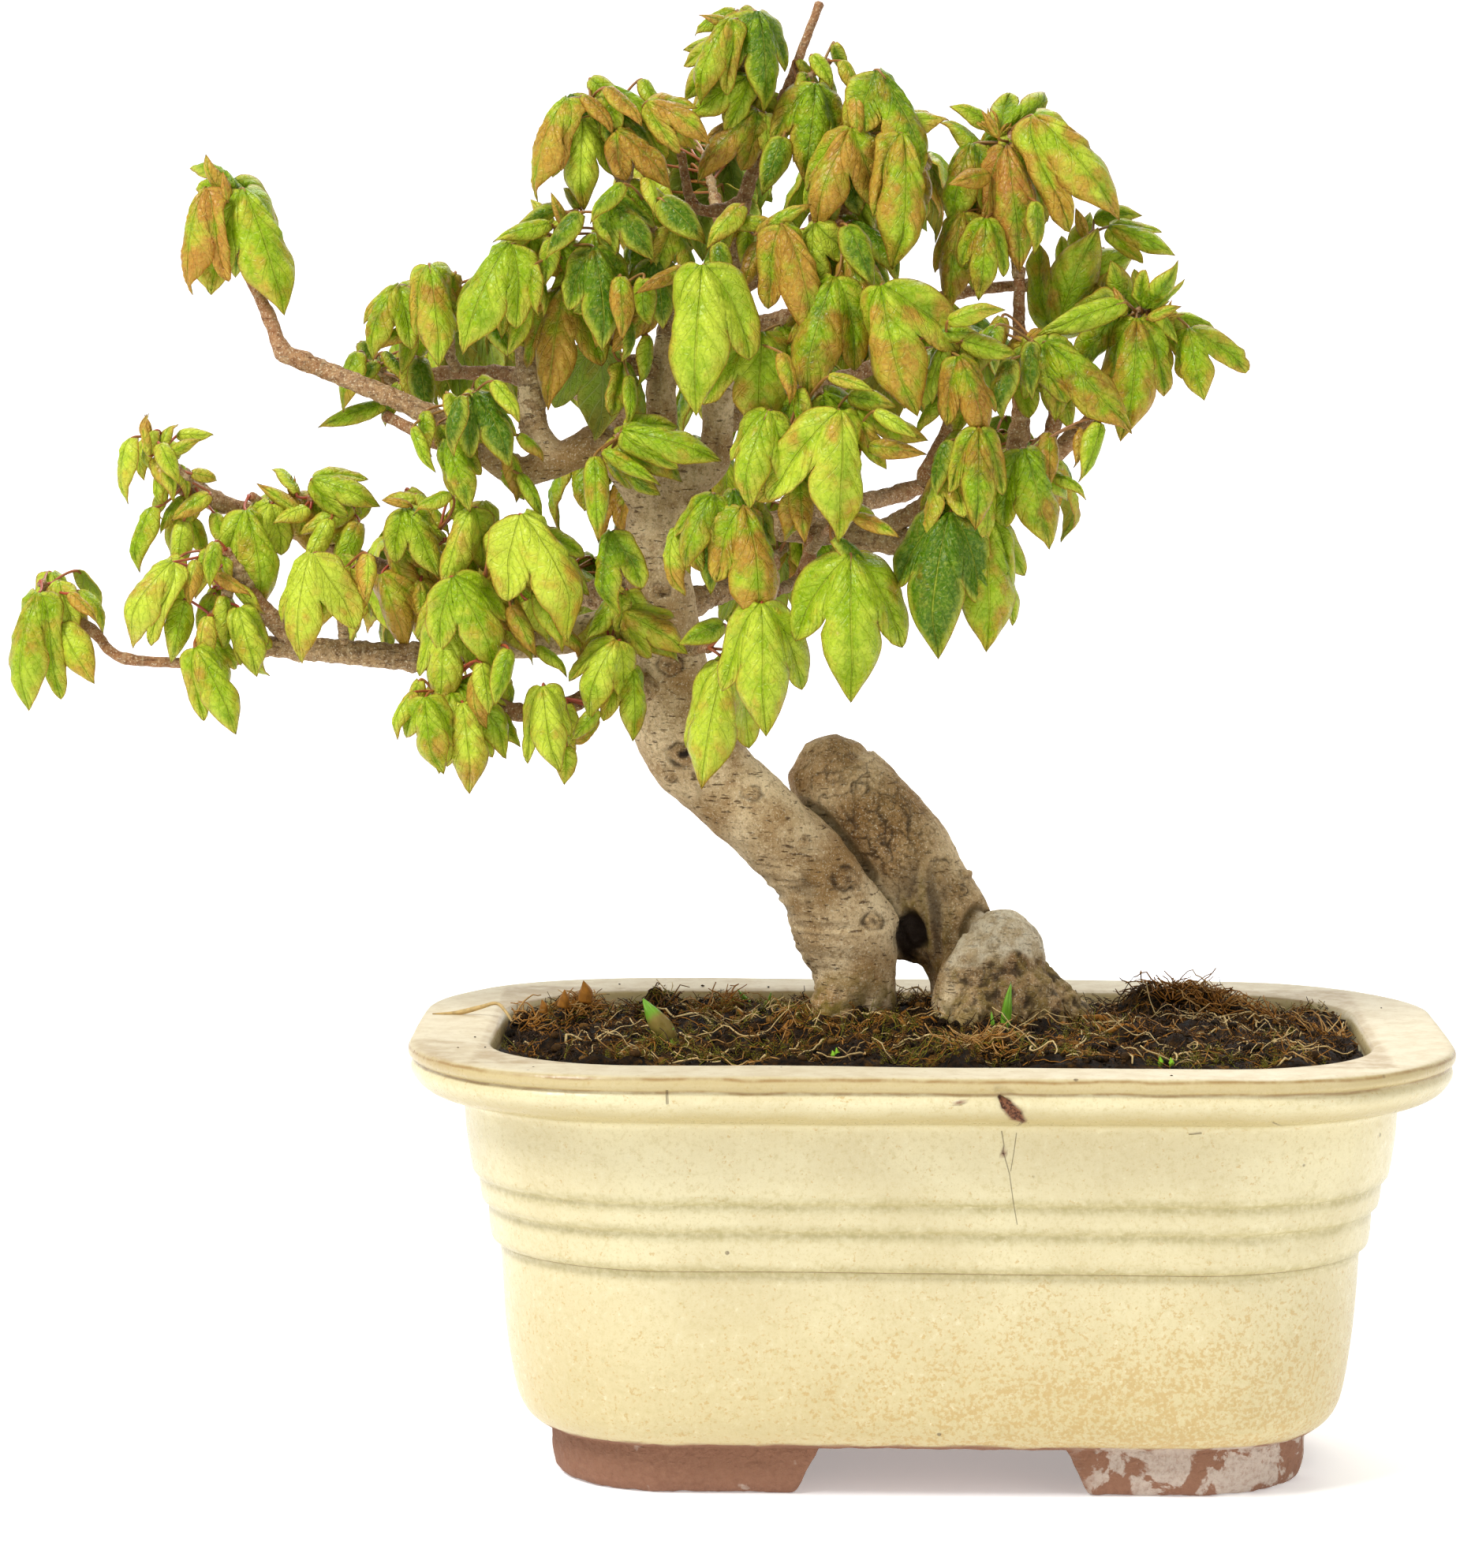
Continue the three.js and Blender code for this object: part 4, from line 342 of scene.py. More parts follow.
def hashed(cells, seed):
    """Repeatable numbers from 0 to 1 for whole-number cells."""
    c = cells.astype(np.int64).astype(np.uint32)
    mixed = c[..., 0] * np.uint32(374761393) + c[..., 1] * np.uint32(668265263)
    mixed = mixed + c[..., 2] * np.uint32(2246822519) + np.uint32((seed * 3266489917) % 2**32)
    mixed = (mixed ^ (mixed >> np.uint32(15))) * np.uint32(2246822519)
    mixed = (mixed ^ (mixed >> np.uint32(13))) * np.uint32(3266489917)
    return (mixed ^ (mixed >> np.uint32(16))) / 2.0**32


def grain(points, size, seed=0, octaves=1):
    """Smooth noise about 0, within -1 and 1, with features of that size and finer ones in each octave."""
    total = np.zeros(len(points))
    for octave in range(octaves):
        place = points / size * 2**octave + 31.7 * octave
        low = np.floor(place)
        part = place - low
        part = part * part * (3 - 2 * part)
        value = 0
        for corner in np.ndindex(2, 2, 2):
            weight = np.prod(np.where(corner, part, 1 - part), axis=1)
            value = value + weight * hashed(low + corner, seed + octave)
        total += (2 * value - 1) / 2**octave
    return total


def plates(points, size, seed=0):
    """Irregular plates: distance to the nearest border between two of them, and a number for each."""
    place = points / size
    low = np.floor(place)
    near = np.full(len(points), 9.0)
    second = near.copy()
    own = np.zeros(len(points))
    for step in np.ndindex(3, 3, 3):
        cell = low + step - 1
        seat = cell + np.stack([hashed(cell, seed + k) for k in (1, 2, 3)], axis=1)
        away = np.linalg.norm(place - seat, axis=1)
        first = away < near
        second = np.where(first, near, np.minimum(second, away))
        own = np.where(first, hashed(cell, seed + 4), own)
        near = np.where(first, away, near)
    return (second - near) * size, own


def through(stations, steps):
    """Points on a smooth curve through the stations, so many steps to each span."""
    p = np.asarray(stations, float)
    p = np.vstack([2 * p[0] - p[1], p, 2 * p[-1] - p[-2]])
    rows = []
    for i in range(1, len(p) - 2):
        count = steps if np.isscalar(steps) else steps[i - 1]
        for t in np.arange(count) / count:
            rows.append(0.5 * (2 * p[i] + (p[i + 1] - p[i - 1]) * t
                               + (2 * p[i - 1] - 5 * p[i] + 4 * p[i + 1] - p[i + 2]) * t**2
                               + (3 * p[i] - p[i - 1] - 3 * p[i + 1] + p[i + 2]) * t**3))
    return np.array(rows + [p[-2]])


def linear(r, g, b):
    """A colour given as 0 to 255 on screen, as the shader wants it."""
    return tuple(c / 12.92 if c <= 0.04045 else ((c + 0.055) / 1.055) ** 2.4
                 for c in (r / 255, g / 255, b / 255))


# ---------------------------------------------------------------- meshes
class Build:
    """Points, faces, material numbers and named values of one mesh while it is put together."""

    def __init__(self):
        self.points, self.faces, self.slots, self.values = [], [], [], {}
        self.count = 0

    def add(self, points, faces, slot=0, **values):
        points = np.asarray(points, float)
        for face in faces:
            self.faces.append(np.asarray(face) + self.count)
            self.slots.append(np.full(len(face), slot))
        for name in set(self.values) | set(values):
            before = self.values.setdefault(name, [np.zeros(self.count)] if self.count else [])
            before.append(np.broadcast_to(np.asarray(values.get(name, 0.0), float), len(points)))
        self.points.append(points)
        self.count += len(points)
        return self

    def mesh(self, name):
        points = np.vstack(self.points)
        mesh = bpy.data.meshes.new(name)
        mesh.vertices.add(len(points))
        mesh.vertices.foreach_set("co", ((points + SHIFT) * MM).ravel())
        sizes = np.concatenate([np.full(len(f), f.shape[1]) for f in self.faces])
        mesh.loops.add(int(sizes.sum()))
        mesh.loops.foreach_set("vertex_index", np.concatenate([f.ravel() for f in self.faces]))
        mesh.polygons.add(len(sizes))
        mesh.polygons.foreach_set("loop_start", np.concatenate([[0], np.cumsum(sizes)[:-1]]))
        mesh.polygons.foreach_set("loop_total", sizes)
        mesh.polygons.foreach_set("material_index", np.concatenate(self.slots))
        mesh.update(calc_edges=True)
        mesh.validate()
        mesh.polygons.foreach_set("use_smooth", np.ones(len(mesh.polygons), bool))
        for key, rows in self.values.items():
            mesh.attributes.new(key, "FLOAT", "POINT").data.foreach_set("value", np.concatenate(rows))
        return mesh


def piece(name, mesh, materials, slot, *nodes):
    """A finished piece of the object: it rides on the pot and stands for the CAD nodes."""
    obj = bpy.data.objects.new(name, mesh)
    bpy.context.scene.collection.objects.link(obj)
    for material in materials:
        mesh.materials.append(material)
    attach(obj, "root")
    if nodes:
        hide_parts(*nodes)
    return obj


def applied(mesh, *modifiers):
    """The mesh after modifiers, each given as its type and its settings."""
    obj = bpy.data.objects.new("work", mesh)
    bpy.context.scene.collection.objects.link(obj)
    for kind, settings in modifiers:
        modifier = obj.modifiers.new(kind, kind)
        for key, value in settings.items():
            setattr(modifier, key, value)
    done = bpy.data.meshes.new_from_object(obj.evaluated_get(bpy.context.evaluated_depsgraph_get()))
    bpy.data.objects.remove(obj)
    return done


def read(mesh):
    """Points of a mesh in millimetres, their normals, and the corners of its faces, face after face."""
    points = np.empty(len(mesh.vertices) * 3)
    mesh.vertices.foreach_get("co", points)
    normals = np.empty(len(mesh.vertices) * 3)
    mesh.vertex_normals.foreach_get("vector", normals)
    corners = np.empty(len(mesh.loops), int)
    mesh.loops.foreach_get("vertex_index", corners)
    return points.reshape(-1, 3) / MM - SHIFT, normals.reshape(-1, 3), corners


def grid_faces(rows, columns, closed=True):
    """Faces of a net of points, row after row. Closed nets join their last column to the first."""
    spans = columns if closed else columns - 1
    r, c = np.meshgrid(np.arange(rows - 1), np.arange(spans), indexing="ij")
    a = r * columns + c
    b = r * columns + (c + 1) % columns
    return np.stack([a, b, b + columns, a + columns], axis=-1).reshape(-1, 4)


def capped(rings, columns):
    """Faces of a closed net of rings, and the fans that close it at two further points, first and last."""
    c = np.arange(columns)
    ahead, first, end = (c + 1) % columns, rings * columns, (rings - 1) * columns
    caps = np.vstack([np.stack([ahead, c, np.full(columns, first)], 1),
                      np.stack([c + end, ahead + end, np.full(columns, first + 1)], 1)])
    return [grid_faces(rings, columns), caps]


def tube(centres, radii, sides, lift=None):
    """A closed tube round a line of centres. lift(ring, angle) gives extra radius."""
    centres = np.asarray(centres, float)
    along = unit(np.gradient(centres, axis=0))
    across = np.array([0.92, 0.31, 0.24])
    angles = np.arange(sides) / sides * 2 * np.pi
    rings = []
    for i, (centre, heading) in enumerate(zip(centres, along)):
        across = unit(across - heading * across.dot(heading))
        third = np.cross(heading, across)
        reach = radii[i] + (lift(i, angles) if lift else 0)
        spokes = np.outer(np.cos(angles), across) + np.outer(np.sin(angles), third)
        rings.append(centre + spokes * np.reshape(reach, (-1, 1)))
    return np.vstack([*rings, centres[:1], centres[-1:]]), capped(len(centres), sides)


def along_tube(rows, sides, first=1, last=1):
    """Values of a tube's rings, given to each of its points. first and last are those of its two ends."""
    return np.concatenate([np.repeat(rows, sides), [first, last]])


def rounded(z, half_x, half_y, radius, columns):
    """Ring of a rounded rectangle. columns are shares of the way round, from the middle of the +X side."""
    straight_x, straight_y = half_x - radius, half_y - radius
    arc = radius * np.pi / 2
    lengths = np.array([straight_y, arc, 2 * straight_x, arc, 2 * straight_y, arc, 2 * straight_x, arc,
                        straight_y])
    ends = np.concatenate([[0], np.cumsum(lengths)])
    way = np.asarray(columns) * ends[-1]
    part = np.clip(np.searchsorted(ends, way, side="right") - 1, 0, 8)
    at = way - ends[part]
    points = np.empty((len(way), 3))
    corner = np.array([[1, 1], [-1, 1], [-1, -1], [1, -1]])
    for k in range(9):
        here = part == k
        if k % 2:
            sign = corner[k // 2]
            angle = (k // 2 + at[here] / arc) * np.pi / 2
            points[here, 0] = sign[0] * straight_x + radius * np.cos(angle)
            points[here, 1] = sign[1] * straight_y + radius * np.sin(angle)
        else:
            starts = {0: (half_x, 0), 2: (straight_x, half_y), 4: (-half_x, straight_y),
                      6: (-straight_x, -half_y), 8: (half_x, -straight_y)}
            turns = {0: (0, 1), 2: (-1, 0), 4: (0, -1), 6: (1, 0), 8: (0, 1)}
            points[here, 0] = starts[k][0] + turns[k][0] * at[here]
            points[here, 1] = starts[k][1] + turns[k][1] * at[here]
    points[:, 2] = z
    return points

# ---------------------------------------------------------------- materials
class Nodes:
    """Short forms for building a node tree."""

    def __init__(self, name):
        self.material = bpy.data.materials.new(name)
        self.material.use_nodes = True
        self.tree = self.material.node_tree
        self.shader = self.tree.nodes["Principled BSDF"]
        self.output = self.tree.nodes["Material Output"]
        self.place = self.node("ShaderNodeTexCoord").outputs["Object"]

    def node(self, kind, **settings):
        made = self.tree.nodes.new(kind)
        for key, value in settings.items():
            setattr(made, key, value)
        return made

    def feed(self, socket, value):
        if isinstance(value, bpy.types.NodeSocket):
            self.tree.links.new(value, socket)
        elif isinstance(value, tuple) and len(value) == 3 and len(socket.default_value) == 4:
            socket.default_value = (*value, 1)
        else:
            socket.default_value = value

    def math(self, operation, *values, clamp=False):
        made = self.node("ShaderNodeMath", operation=operation, use_clamp=clamp)
        for socket, value in zip(made.inputs, values):
            self.feed(socket, value)
        return made.outputs[0]

    def plus(self, first, second, clamp=False):
        return self.math("ADD", first, second, clamp=clamp)

    def less(self, first, second):
        return self.math("SUBTRACT", first, second)

    def times(self, first, second):
        return self.math("MULTIPLY", first, second)

    def most(self, first, second):
        return self.math("MAXIMUM", first, second)

    def ramp(self, value, low, high, to_low=0.0, to_high=1.0):
        """value from low to high becomes to_low to to_high, clamped and eased."""
        made = self.node("ShaderNodeMapRange", interpolation_type="SMOOTHSTEP", clamp=True)
        for socket, number in zip(made.inputs, (value, low, high, to_low, to_high)):
            self.feed(socket, number)
        return made.outputs[0]

    def mix(self, share, first, second, blend="MIX"):
        made = self.node("ShaderNodeMix", data_type="RGBA", blend_type=blend, clamp_factor=True)
        for key, value in ((0, share), (6, first), (7, second)):
            self.feed(made.inputs[key], value)
        return made.outputs[2]

    def value(self, name):
        return self.node("ShaderNodeAttribute", attribute_name=name).outputs["Fac"]

    def axes(self, place=None):
        split = self.node("ShaderNodeSeparateXYZ")
        self.feed(split.inputs[0], place or self.place)
        return split.outputs

    def stretch(self, x, y, z):
        made = self.node("ShaderNodeMapping")
        self.feed(made.inputs["Vector"], self.place)
        made.inputs["Scale"].default_value = (x, y, z)
        return made.outputs[0]

    def noise(self, size, detail=3.0, rough=0.55, place=None, warp=0.0):
        """Noise from 0 to 1 whose features are so many metres wide."""
        made = self.node("ShaderNodeTexNoise", normalize=True)
        self.feed(made.inputs["Vector"], place or self.place)
        made.inputs["Scale"].default_value = 1 / size
        made.inputs["Detail"].default_value = detail
        made.inputs["Roughness"].default_value = rough
        made.inputs["Distortion"].default_value = warp
        return made.outputs[0]

    def cells(self, size, feature="F1", place=None):
        made = self.node("ShaderNodeTexVoronoi", feature=feature)
        self.feed(made.inputs["Vector"], place or self.place)
        made.inputs["Scale"].default_value = 1 / size
        return made.outputs["Distance"]

    def between(self, share, first, second):
        """From one colour on screen to another. share may be a ramp's value, low and high."""
        share = self.ramp(*share) if isinstance(share, tuple) else share
        return self.mix(share, linear(*first), linear(*second))

    def over(self, colour, *coats):
        """A colour under coats. Each is the value, low and high of a ramp, its share at high, and a colour
        on screen."""
        for value, low, high, share, coat in coats:
            colour = self.mix(self.ramp(value, low, high, 0.0, share), colour, linear(*coat))
        return colour

    def bump(self, height, depth, normal=None):
        """A bump that stands depth metres high for a height from 0 to 1."""
        made = self.node("ShaderNodeBump")
        made.inputs["Strength"].default_value = 1.0
        made.inputs["Distance"].default_value = depth
        self.feed(made.inputs["Height"], height)
        if normal:
            self.feed(made.inputs["Normal"], normal)
        return made.outputs[0]

    def finish(self, colour, roughness, normal=None, specular=0.5, through=None, share=0.0):
        """Links the shader's inputs. through is the colour of light that passes a thin piece."""
        self.feed(self.shader.inputs["Base Color"], colour)
        self.feed(self.shader.inputs["Roughness"], roughness)
        self.shader.inputs["Specular IOR Level"].default_value = specular
        if normal:
            self.feed(self.shader.inputs["Normal"], normal)
        if through is not None:
            lit = self.node("ShaderNodeBsdfTranslucent")
            self.feed(lit.inputs["Color"], through)
            if normal:
                self.feed(lit.inputs["Normal"], normal)
            both = self.node("ShaderNodeMixShader")
            both.inputs[0].default_value = share
            self.tree.links.new(self.shader.outputs[0], both.inputs[1])
            self.tree.links.new(lit.outputs[0], both.inputs[2])
            self.tree.links.new(both.outputs[0], self.output.inputs["Surface"])
        return self.material


VEIN_PAIRS, VEIN_SLANT = 5.5, 0.28       # side veins of a leaf, and how far they lag at its edge


def leaf_material():
    """Young maple blade: glossy and quilted, bronze on its raised parts, yellow-green along its edge."""
    n = Nodes("leaf")
    along, across, margin = n.value("along"), n.value("across"), n.value("margin")
    bronze, light, back = n.value("bronze"), n.value("light"), n.value("back")
    blotch, fine = n.noise(0.0032, 3.0, 0.6), n.noise(0.0006, 3.0, 0.65)
    side = n.math("ABSOLUTE", across)
    # pairs of side veins leave the midvein at a slant
    phase = n.times(n.less(along, n.times(side, VEIN_SLANT)), VEIN_PAIRS)
    rib = n.math("ABSOLUTE", n.less(n.math("FRACT", phase), 0.5))
    rib = n.times(n.ramp(rib, 0.4, 0.5), n.ramp(side, 0.02, 0.2))
    midvein = n.ramp(side, 0.06, 0.01)
    net = n.ramp(n.cells(0.0012, "DISTANCE_TO_EDGE"), 0.14, 0.0)
    vein = n.most(n.times(rib, 0.5), n.times(net, 0.3))
    tone = n.plus(light, n.times(n.less(blotch, 0.5), 1.2))
    green = n.between((tone, -0.2, 0.5), (72, 114, 2), (148, 182, 10))
    green = n.over(green, (tone, 0.4, 1.1, 1.0, (212, 228, 66)))
    patch = n.plus(bronze, n.times(n.less(n.noise(0.0044, 3.0), 0.5), 2.2))
    patch = n.less(patch, n.times(vein, 0.2))
    patch = n.less(patch, n.times(n.ramp(side, 0.3, 0.0), 0.12))
    red = n.between((tone, 0.0, 0.8), (148, 78, 22), (206, 138, 56))
    red = n.mix(n.times(n.value("pink"), 0.8), red, linear(206, 102, 64))
    colour = n.mix(n.ramp(patch, 0.3, 1.05, 0.0, 0.8), green, red)
    rim = n.between((bronze, 0.35, 0.9), (222, 218, 76), (216, 160, 66))
    colour = n.mix(n.ramp(margin, 1.4, 0.1, 0.0, 0.65), colour, rim)
    colour = n.over(colour, (margin, 0.26, 0.04, 0.6, (196, 104, 52)))
    colour = n.mix(n.times(vein, 0.2), colour, linear(96, 120, 4))
    colour = n.mix(n.times(midvein, 0.5), colour, linear(178, 184, 54))
    # the pale fine speckles are painted highlights, set beside dark fine speckles
    colour = n.over(colour, (fine, 0.42, 0.75, 0.3, (232, 232, 96)), (fine, 0.5, 0.25, 0.3, (80, 98, 2)))
    under = n.mix(0.5, colour, linear(176, 196, 92))
    under = n.mix(n.most(midvein, rib), under, linear(196, 208, 118))
    colour = n.mix(back, colour, under)
    height = n.less(n.times(blotch, 1.1), n.plus(n.times(vein, 0.6), n.times(midvein, 0.5)))
    normal = n.bump(height, 0.0004, n.bump(fine, 0.00007))
    rough = n.plus(n.ramp(fine, 0.2, 0.8, 0.24, 0.4), n.times(back, 0.25))
    glow = n.mix(0.6, colour, linear(206, 222, 20))
    return n.finish(colour, rough, normal, 0.3, glow, 0.3)


def stem_material():
    """Petioles: red where red is set, olive and brown elsewhere."""
    n = Nodes("petiole")
    streak = n.noise(0.0012, 3.0, 0.6, n.stretch(1, 1, 0.25))
    olive = n.between(streak, (112, 96, 34), (164, 138, 66))
    red = n.between(streak, (142, 48, 34), (186, 84, 58))
    colour = n.mix(n.times(n.value("red"), 0.85), olive, red)
    return n.finish(colour, n.ramp(streak, 0.2, 0.8, 0.32, 0.5), n.bump(streak, 0.00008), 0.5)


def bark_material(name="bark"):
    """Bark in the colours that the wood's own values name, with dashes, grain, lichen and moss. Pale fine
    specks and broad pale patches are partly painted highlights, and the dark value is mostly painted shade.
    """
    n = Nodes(name)
    fine, grit = n.noise(0.0009, 5.0, 0.66), n.noise(0.00035, 3.0, 0.65)
    broad, spot = n.noise(0.011, 3.0, 0.55), n.noise(0.0022, 4.0, 0.6)
    dashes = n.noise(0.0008, 2.0, 0.5, n.stretch(0.35, 0.35, 1.7))
    # the broad pale patches of the grey bark are partly its own tone and partly painted highlight
    grey = n.between((broad, 0.32, 0.68), (172, 136, 86), (236, 212, 168))
    grey = n.over(grey, (fine, 0.46, 0.68, 0.6, (132, 98, 56)), (spot, 0.56, 0.7, 0.4, (146, 106, 62)),
                  (dashes, 0.63, 0.7, 0.75, (88, 58, 28)))
    brown = n.between((broad, 0.3, 0.7), (150, 110, 62), (204, 170, 118))
    brown = n.over(brown, (fine, 0.4, 0.66, 0.75, (88, 62, 34)))
    pale = n.between((spot, 0.35, 0.68), (232, 222, 194), (196, 174, 134))
    pale = n.over(pale, (fine, 0.46, 0.7, 0.6, (150, 120, 78)))
    twig = n.between((fine, 0.35, 0.65), (184, 150, 104), (116, 84, 52))
    twig = n.mix(n.times(n.value("young"), 0.7), twig, linear(150, 86, 48))
    colour = n.mix(n.value("brown"), grey, brown)
    colour = n.mix(n.value("pale"), colour, pale)
    colour = n.mix(n.value("twig"), colour, twig)
    # the pale fine specks are painted highlights, set beside dark fine specks
    colour = n.over(colour, (grit, 0.54, 0.7, 0.75, (240, 226, 192)),
                    (grit, 0.43, 0.28, 0.55, (66, 44, 22)))
    green = n.between(fine, (92, 76, 18), (150, 128, 52))
    damp = n.times(n.value("moss"), n.ramp(spot, 0.3, 0.6, 0.45, 1.0))
    colour = n.mix(damp, colour, green)
    # dark is mostly painted shade in cracks, creases, troughs and hollows and on the right side of the
    # trunk's foot; it also holds the dark scars of knots and dark patches on twigs
    colour = n.mix(n.value("dark"), colour, linear(34, 22, 10))
    colour = n.mix(n.value("ring"), colour, linear(206, 184, 144))
    height = n.plus(n.times(fine, 0.6), n.times(grit, 0.25))
    height = n.less(height, n.ramp(dashes, 0.62, 0.74, 0.0, 0.6))
    return n.finish(colour, n.ramp(fine, 0.2, 0.8, 0.6, 0.85), n.bump(height, 0.0006), 0.25)


def near_lines(n, x, z, lines):
    """1 on lines of stations (x, z, half width), in metres, and 0 just beside them."""
    share = 0.0
    for line in lines:
        for (ax, az, ar), (bx, bz, br) in zip(line, line[1:]):
            long = max((bx - ax) ** 2 + (bz - az) ** 2, 1e-12)
            from_x, from_z = n.less(x, ax), n.less(z, az)
            t = n.plus(n.times(from_x, (bx - ax) / long), n.times(from_z, (bz - az) / long), clamp=True)
            off_x = n.less(from_x, n.times(t, bx - ax))
            off_z = n.less(from_z, n.times(t, bz - az))
            away = n.math("SQRT", n.plus(n.times(off_x, off_x), n.times(off_z, off_z)))
            away = n.less(away, n.times(t, br - ar))
            share = n.most(share, n.ramp(away, 1.4 * ar, 0.6 * ar))
    return share


RIM_FOOT = 0.0668                        # height in metres of the crease under the rim


def glaze_material(cracks, chips):
    """Cream-yellow glaze over brown clay: it runs thin and brown on edges, pools grey-green above steps,
    with painted shade there too, and is speckled ochre low on the right. Painted shade darkens the crease
    under the rim and the rim's lower roll. The feet and the foot of the wall are bare. cracks and chips
    are lines on the front, in metres."""
    n = Nodes("glaze")
    x, y, z = n.axes()
    fine, grit = n.noise(0.0011, 4.0, 0.65), n.noise(0.00045, 3.0, 0.65)
    cloud, drift = n.noise(0.022, 3.0, 0.5), n.noise(0.0045, 3.0, 0.6)
    uneven = n.plus(z, n.times(n.less(n.noise(0.012, 2.0), 0.5), 0.0012))
    cream = n.between((cloud, 0.3, 0.7), (222, 211, 170), (211, 198, 156))
    cream = n.over(cream, (z, 0.05, 0.012, 0.6, (198, 180, 128)))
    colour = n.over(cream, (fine, 0.5, 0.72, 0.5, (194, 178, 126)),
                    (fine, 0.46, 0.26, 0.5, (234, 226, 190)), (grit, 0.54, 0.72, 0.35, (188, 170, 112)))
    # ochre speckles, thickest low in the middle of the right half
    right = n.times(n.ramp(x, -0.02, 0.075), n.ramp(x, 0.125, 0.08, 0.45, 1.0))
    field = n.times(n.ramp(z, 0.046, 0.016, 0.15, 1.0), n.plus(n.times(right, 0.75), 0.25))
    field = n.times(field, n.ramp(z, 0.05, 0.04))
    dots = n.plus(n.noise(0.0008, 3.0, 0.65), n.times(n.less(drift, 0.5), 0.25))
    dots = n.plus(dots, n.times(field, 0.17))
    colour = n.over(colour, (dots, 0.6, 0.74, 0.55, (188, 150, 80)))
    # grey-green bands at the steps: glaze pooling, and painted shade in the step
    pool_and_shade = 0.0
    for height in GROOVES:
        off = n.math("ABSOLUTE", n.less(uneven, height * MM))
        pool_and_shade = n.most(pool_and_shade, n.ramp(off, 0.0022, 0.0001))
    pool_and_shade = n.times(pool_and_shade, n.ramp(drift, 0.25, 0.6, 0.45, 0.85))
    colour = n.mix(n.times(pool_and_shade, n.ramp(fine, 0.3, 0.6, 0.4, 0.9)), colour, linear(168, 156, 104))
    shade = n.ramp(n.math("ABSOLUTE", n.less(z, RIM_FOOT)), 0.0012, 0.0, 0.0, 0.5)
    colour = n.mix(shade, colour, linear(188, 172, 116))
    # the rim's upper band is tinted ochre; its lower roll gets painted shade in olive
    band = n.times(n.ramp(uneven, 0.0729, 0.0733), n.ramp(uneven, 0.076, 0.0745, 0.6, 1.0))
    roll = n.times(n.ramp(uneven, 0.0712, 0.0684), n.ramp(uneven, 0.0664, 0.067))
    colour = n.mix(n.times(band, 0.55), colour, linear(172, 146, 84))
    colour = n.mix(n.times(roll, 0.65), colour, linear(168, 148, 88))
    top = n.value("top")
    dust = n.between((drift, 0.35, 0.7), (218, 206, 176), (206, 190, 156))
    dust = n.over(dust, (fine, 0.55, 0.72, 0.35, (176, 154, 116)))
    colour = n.mix(n.times(top, 0.95), colour, dust)
    thin = 0.0
    for height, wide in BROWN_LINES:
        off = n.math("ABSOLUTE", n.less(uneven, height * MM))
        thin = n.most(thin, n.ramp(off, wide * MM, 0.0))
    thin = n.times(thin, n.less(1.0, n.most(n.value("inner"), top)))
    wear = n.most(n.times(thin, 0.8), n.value("edge"))
    wear = n.times(wear, n.ramp(drift, 0.3, 0.6, 0.35, 1.0))
    colour = n.mix(wear, colour, linear(148, 112, 58))
    pits = n.times(n.ramp(n.cells(0.0075), 0.06, 0.03), n.ramp(n.noise(0.015, 1.0), 0.5, 0.6))
    front = n.ramp(y, -0.03, -0.04)
    chip = n.times(near_lines(n, x, z, chips), front)
    crack = n.times(near_lines(n, x, z, cracks), front)
    bare = n.most(n.value("bare"), chip)
    clay = n.between(fine, (118, 78, 58), (166, 122, 96))
    clay = n.over(clay, (cloud, 0.35, 0.65, 0.7, (146, 104, 80)))
    lime = n.times(n.ramp(n.noise(0.0075, 5.0, 0.62, None, 0.4), 0.48, 0.53), n.ramp(x, 0.058, 0.066))
    lime = n.most(lime, n.times(n.ramp(drift, 0.66, 0.72), 0.6))
    lime = n.times(lime, n.ramp(z, 0.0098, 0.0088))
    clay = n.mix(n.times(lime, n.ramp(fine, 0.3, 0.6, 0.45, 0.85)), clay, linear(206, 192, 178))
    clay = n.mix(chip, clay, n.between((grit, 0.4, 0.6), (66, 36, 22), (132, 84, 56)))
    colour = n.mix(bare, colour, clay)
    colour = n.mix(n.most(n.times(crack, 0.5), n.times(pits, 0.7)), colour, linear(74, 50, 34))
    inner = n.value("inner")
    colour = n.mix(inner, colour, n.between(fine, (112, 78, 58), (146, 106, 80)))
    dull = n.most(bare, inner)
    rough = n.plus(n.ramp(fine, 0.2, 0.8, 0.24, 0.38), n.times(top, 0.3))
    rough = n.most(rough, n.times(dull, 0.85))
    height = n.plus(n.times(fine, 0.5), n.times(n.noise(0.003, 2.0), 0.8))
    height = n.less(height, n.most(crack, pits))
    depth = n.bump(height, 0.00016, n.bump(n.times(fine, dull), 0.0006))
    return n.finish(colour, rough, depth, 0.42)


def earth_material():
    """Moist peat with brown and ochre crumbs."""
    n = Nodes("earth")
    fine, broad = n.noise(0.0012, 6.0, 0.7), n.noise(0.008, 3.0, 0.55)
    colour = n.between((fine, 0.36, 0.66), (14, 9, 4), (54, 36, 16))
    ochre = n.times(n.ramp(broad, 0.5, 0.68), n.ramp(fine, 0.42, 0.62))
    colour = n.mix(n.times(ochre, 0.85), colour, linear(140, 98, 36))
    return n.finish(colour, n.ramp(fine, 0.3, 0.7, 0.6, 0.95), n.bump(fine, 0.0014), 0.15)


def crumb_material():
    """Crumbs of peat and bark, each in its own brown, darker with painted shade where they lie low among the
    lumps.
    """
    n = Nodes("crumb")
    fine = n.noise(0.0006, 4.0, 0.65)
    tone = n.value("tone")
    colour = n.between((tone, 0.0, 0.6), (16, 10, 4), (66, 44, 19))
    colour = n.over(colour, (tone, 0.6, 1.0, 1.0, (140, 98, 42)), (fine, 0.45, 0.7, 0.4, (104, 76, 36)))
    return n.finish(colour, 0.85, n.bump(fine, 0.0006), 0.15)


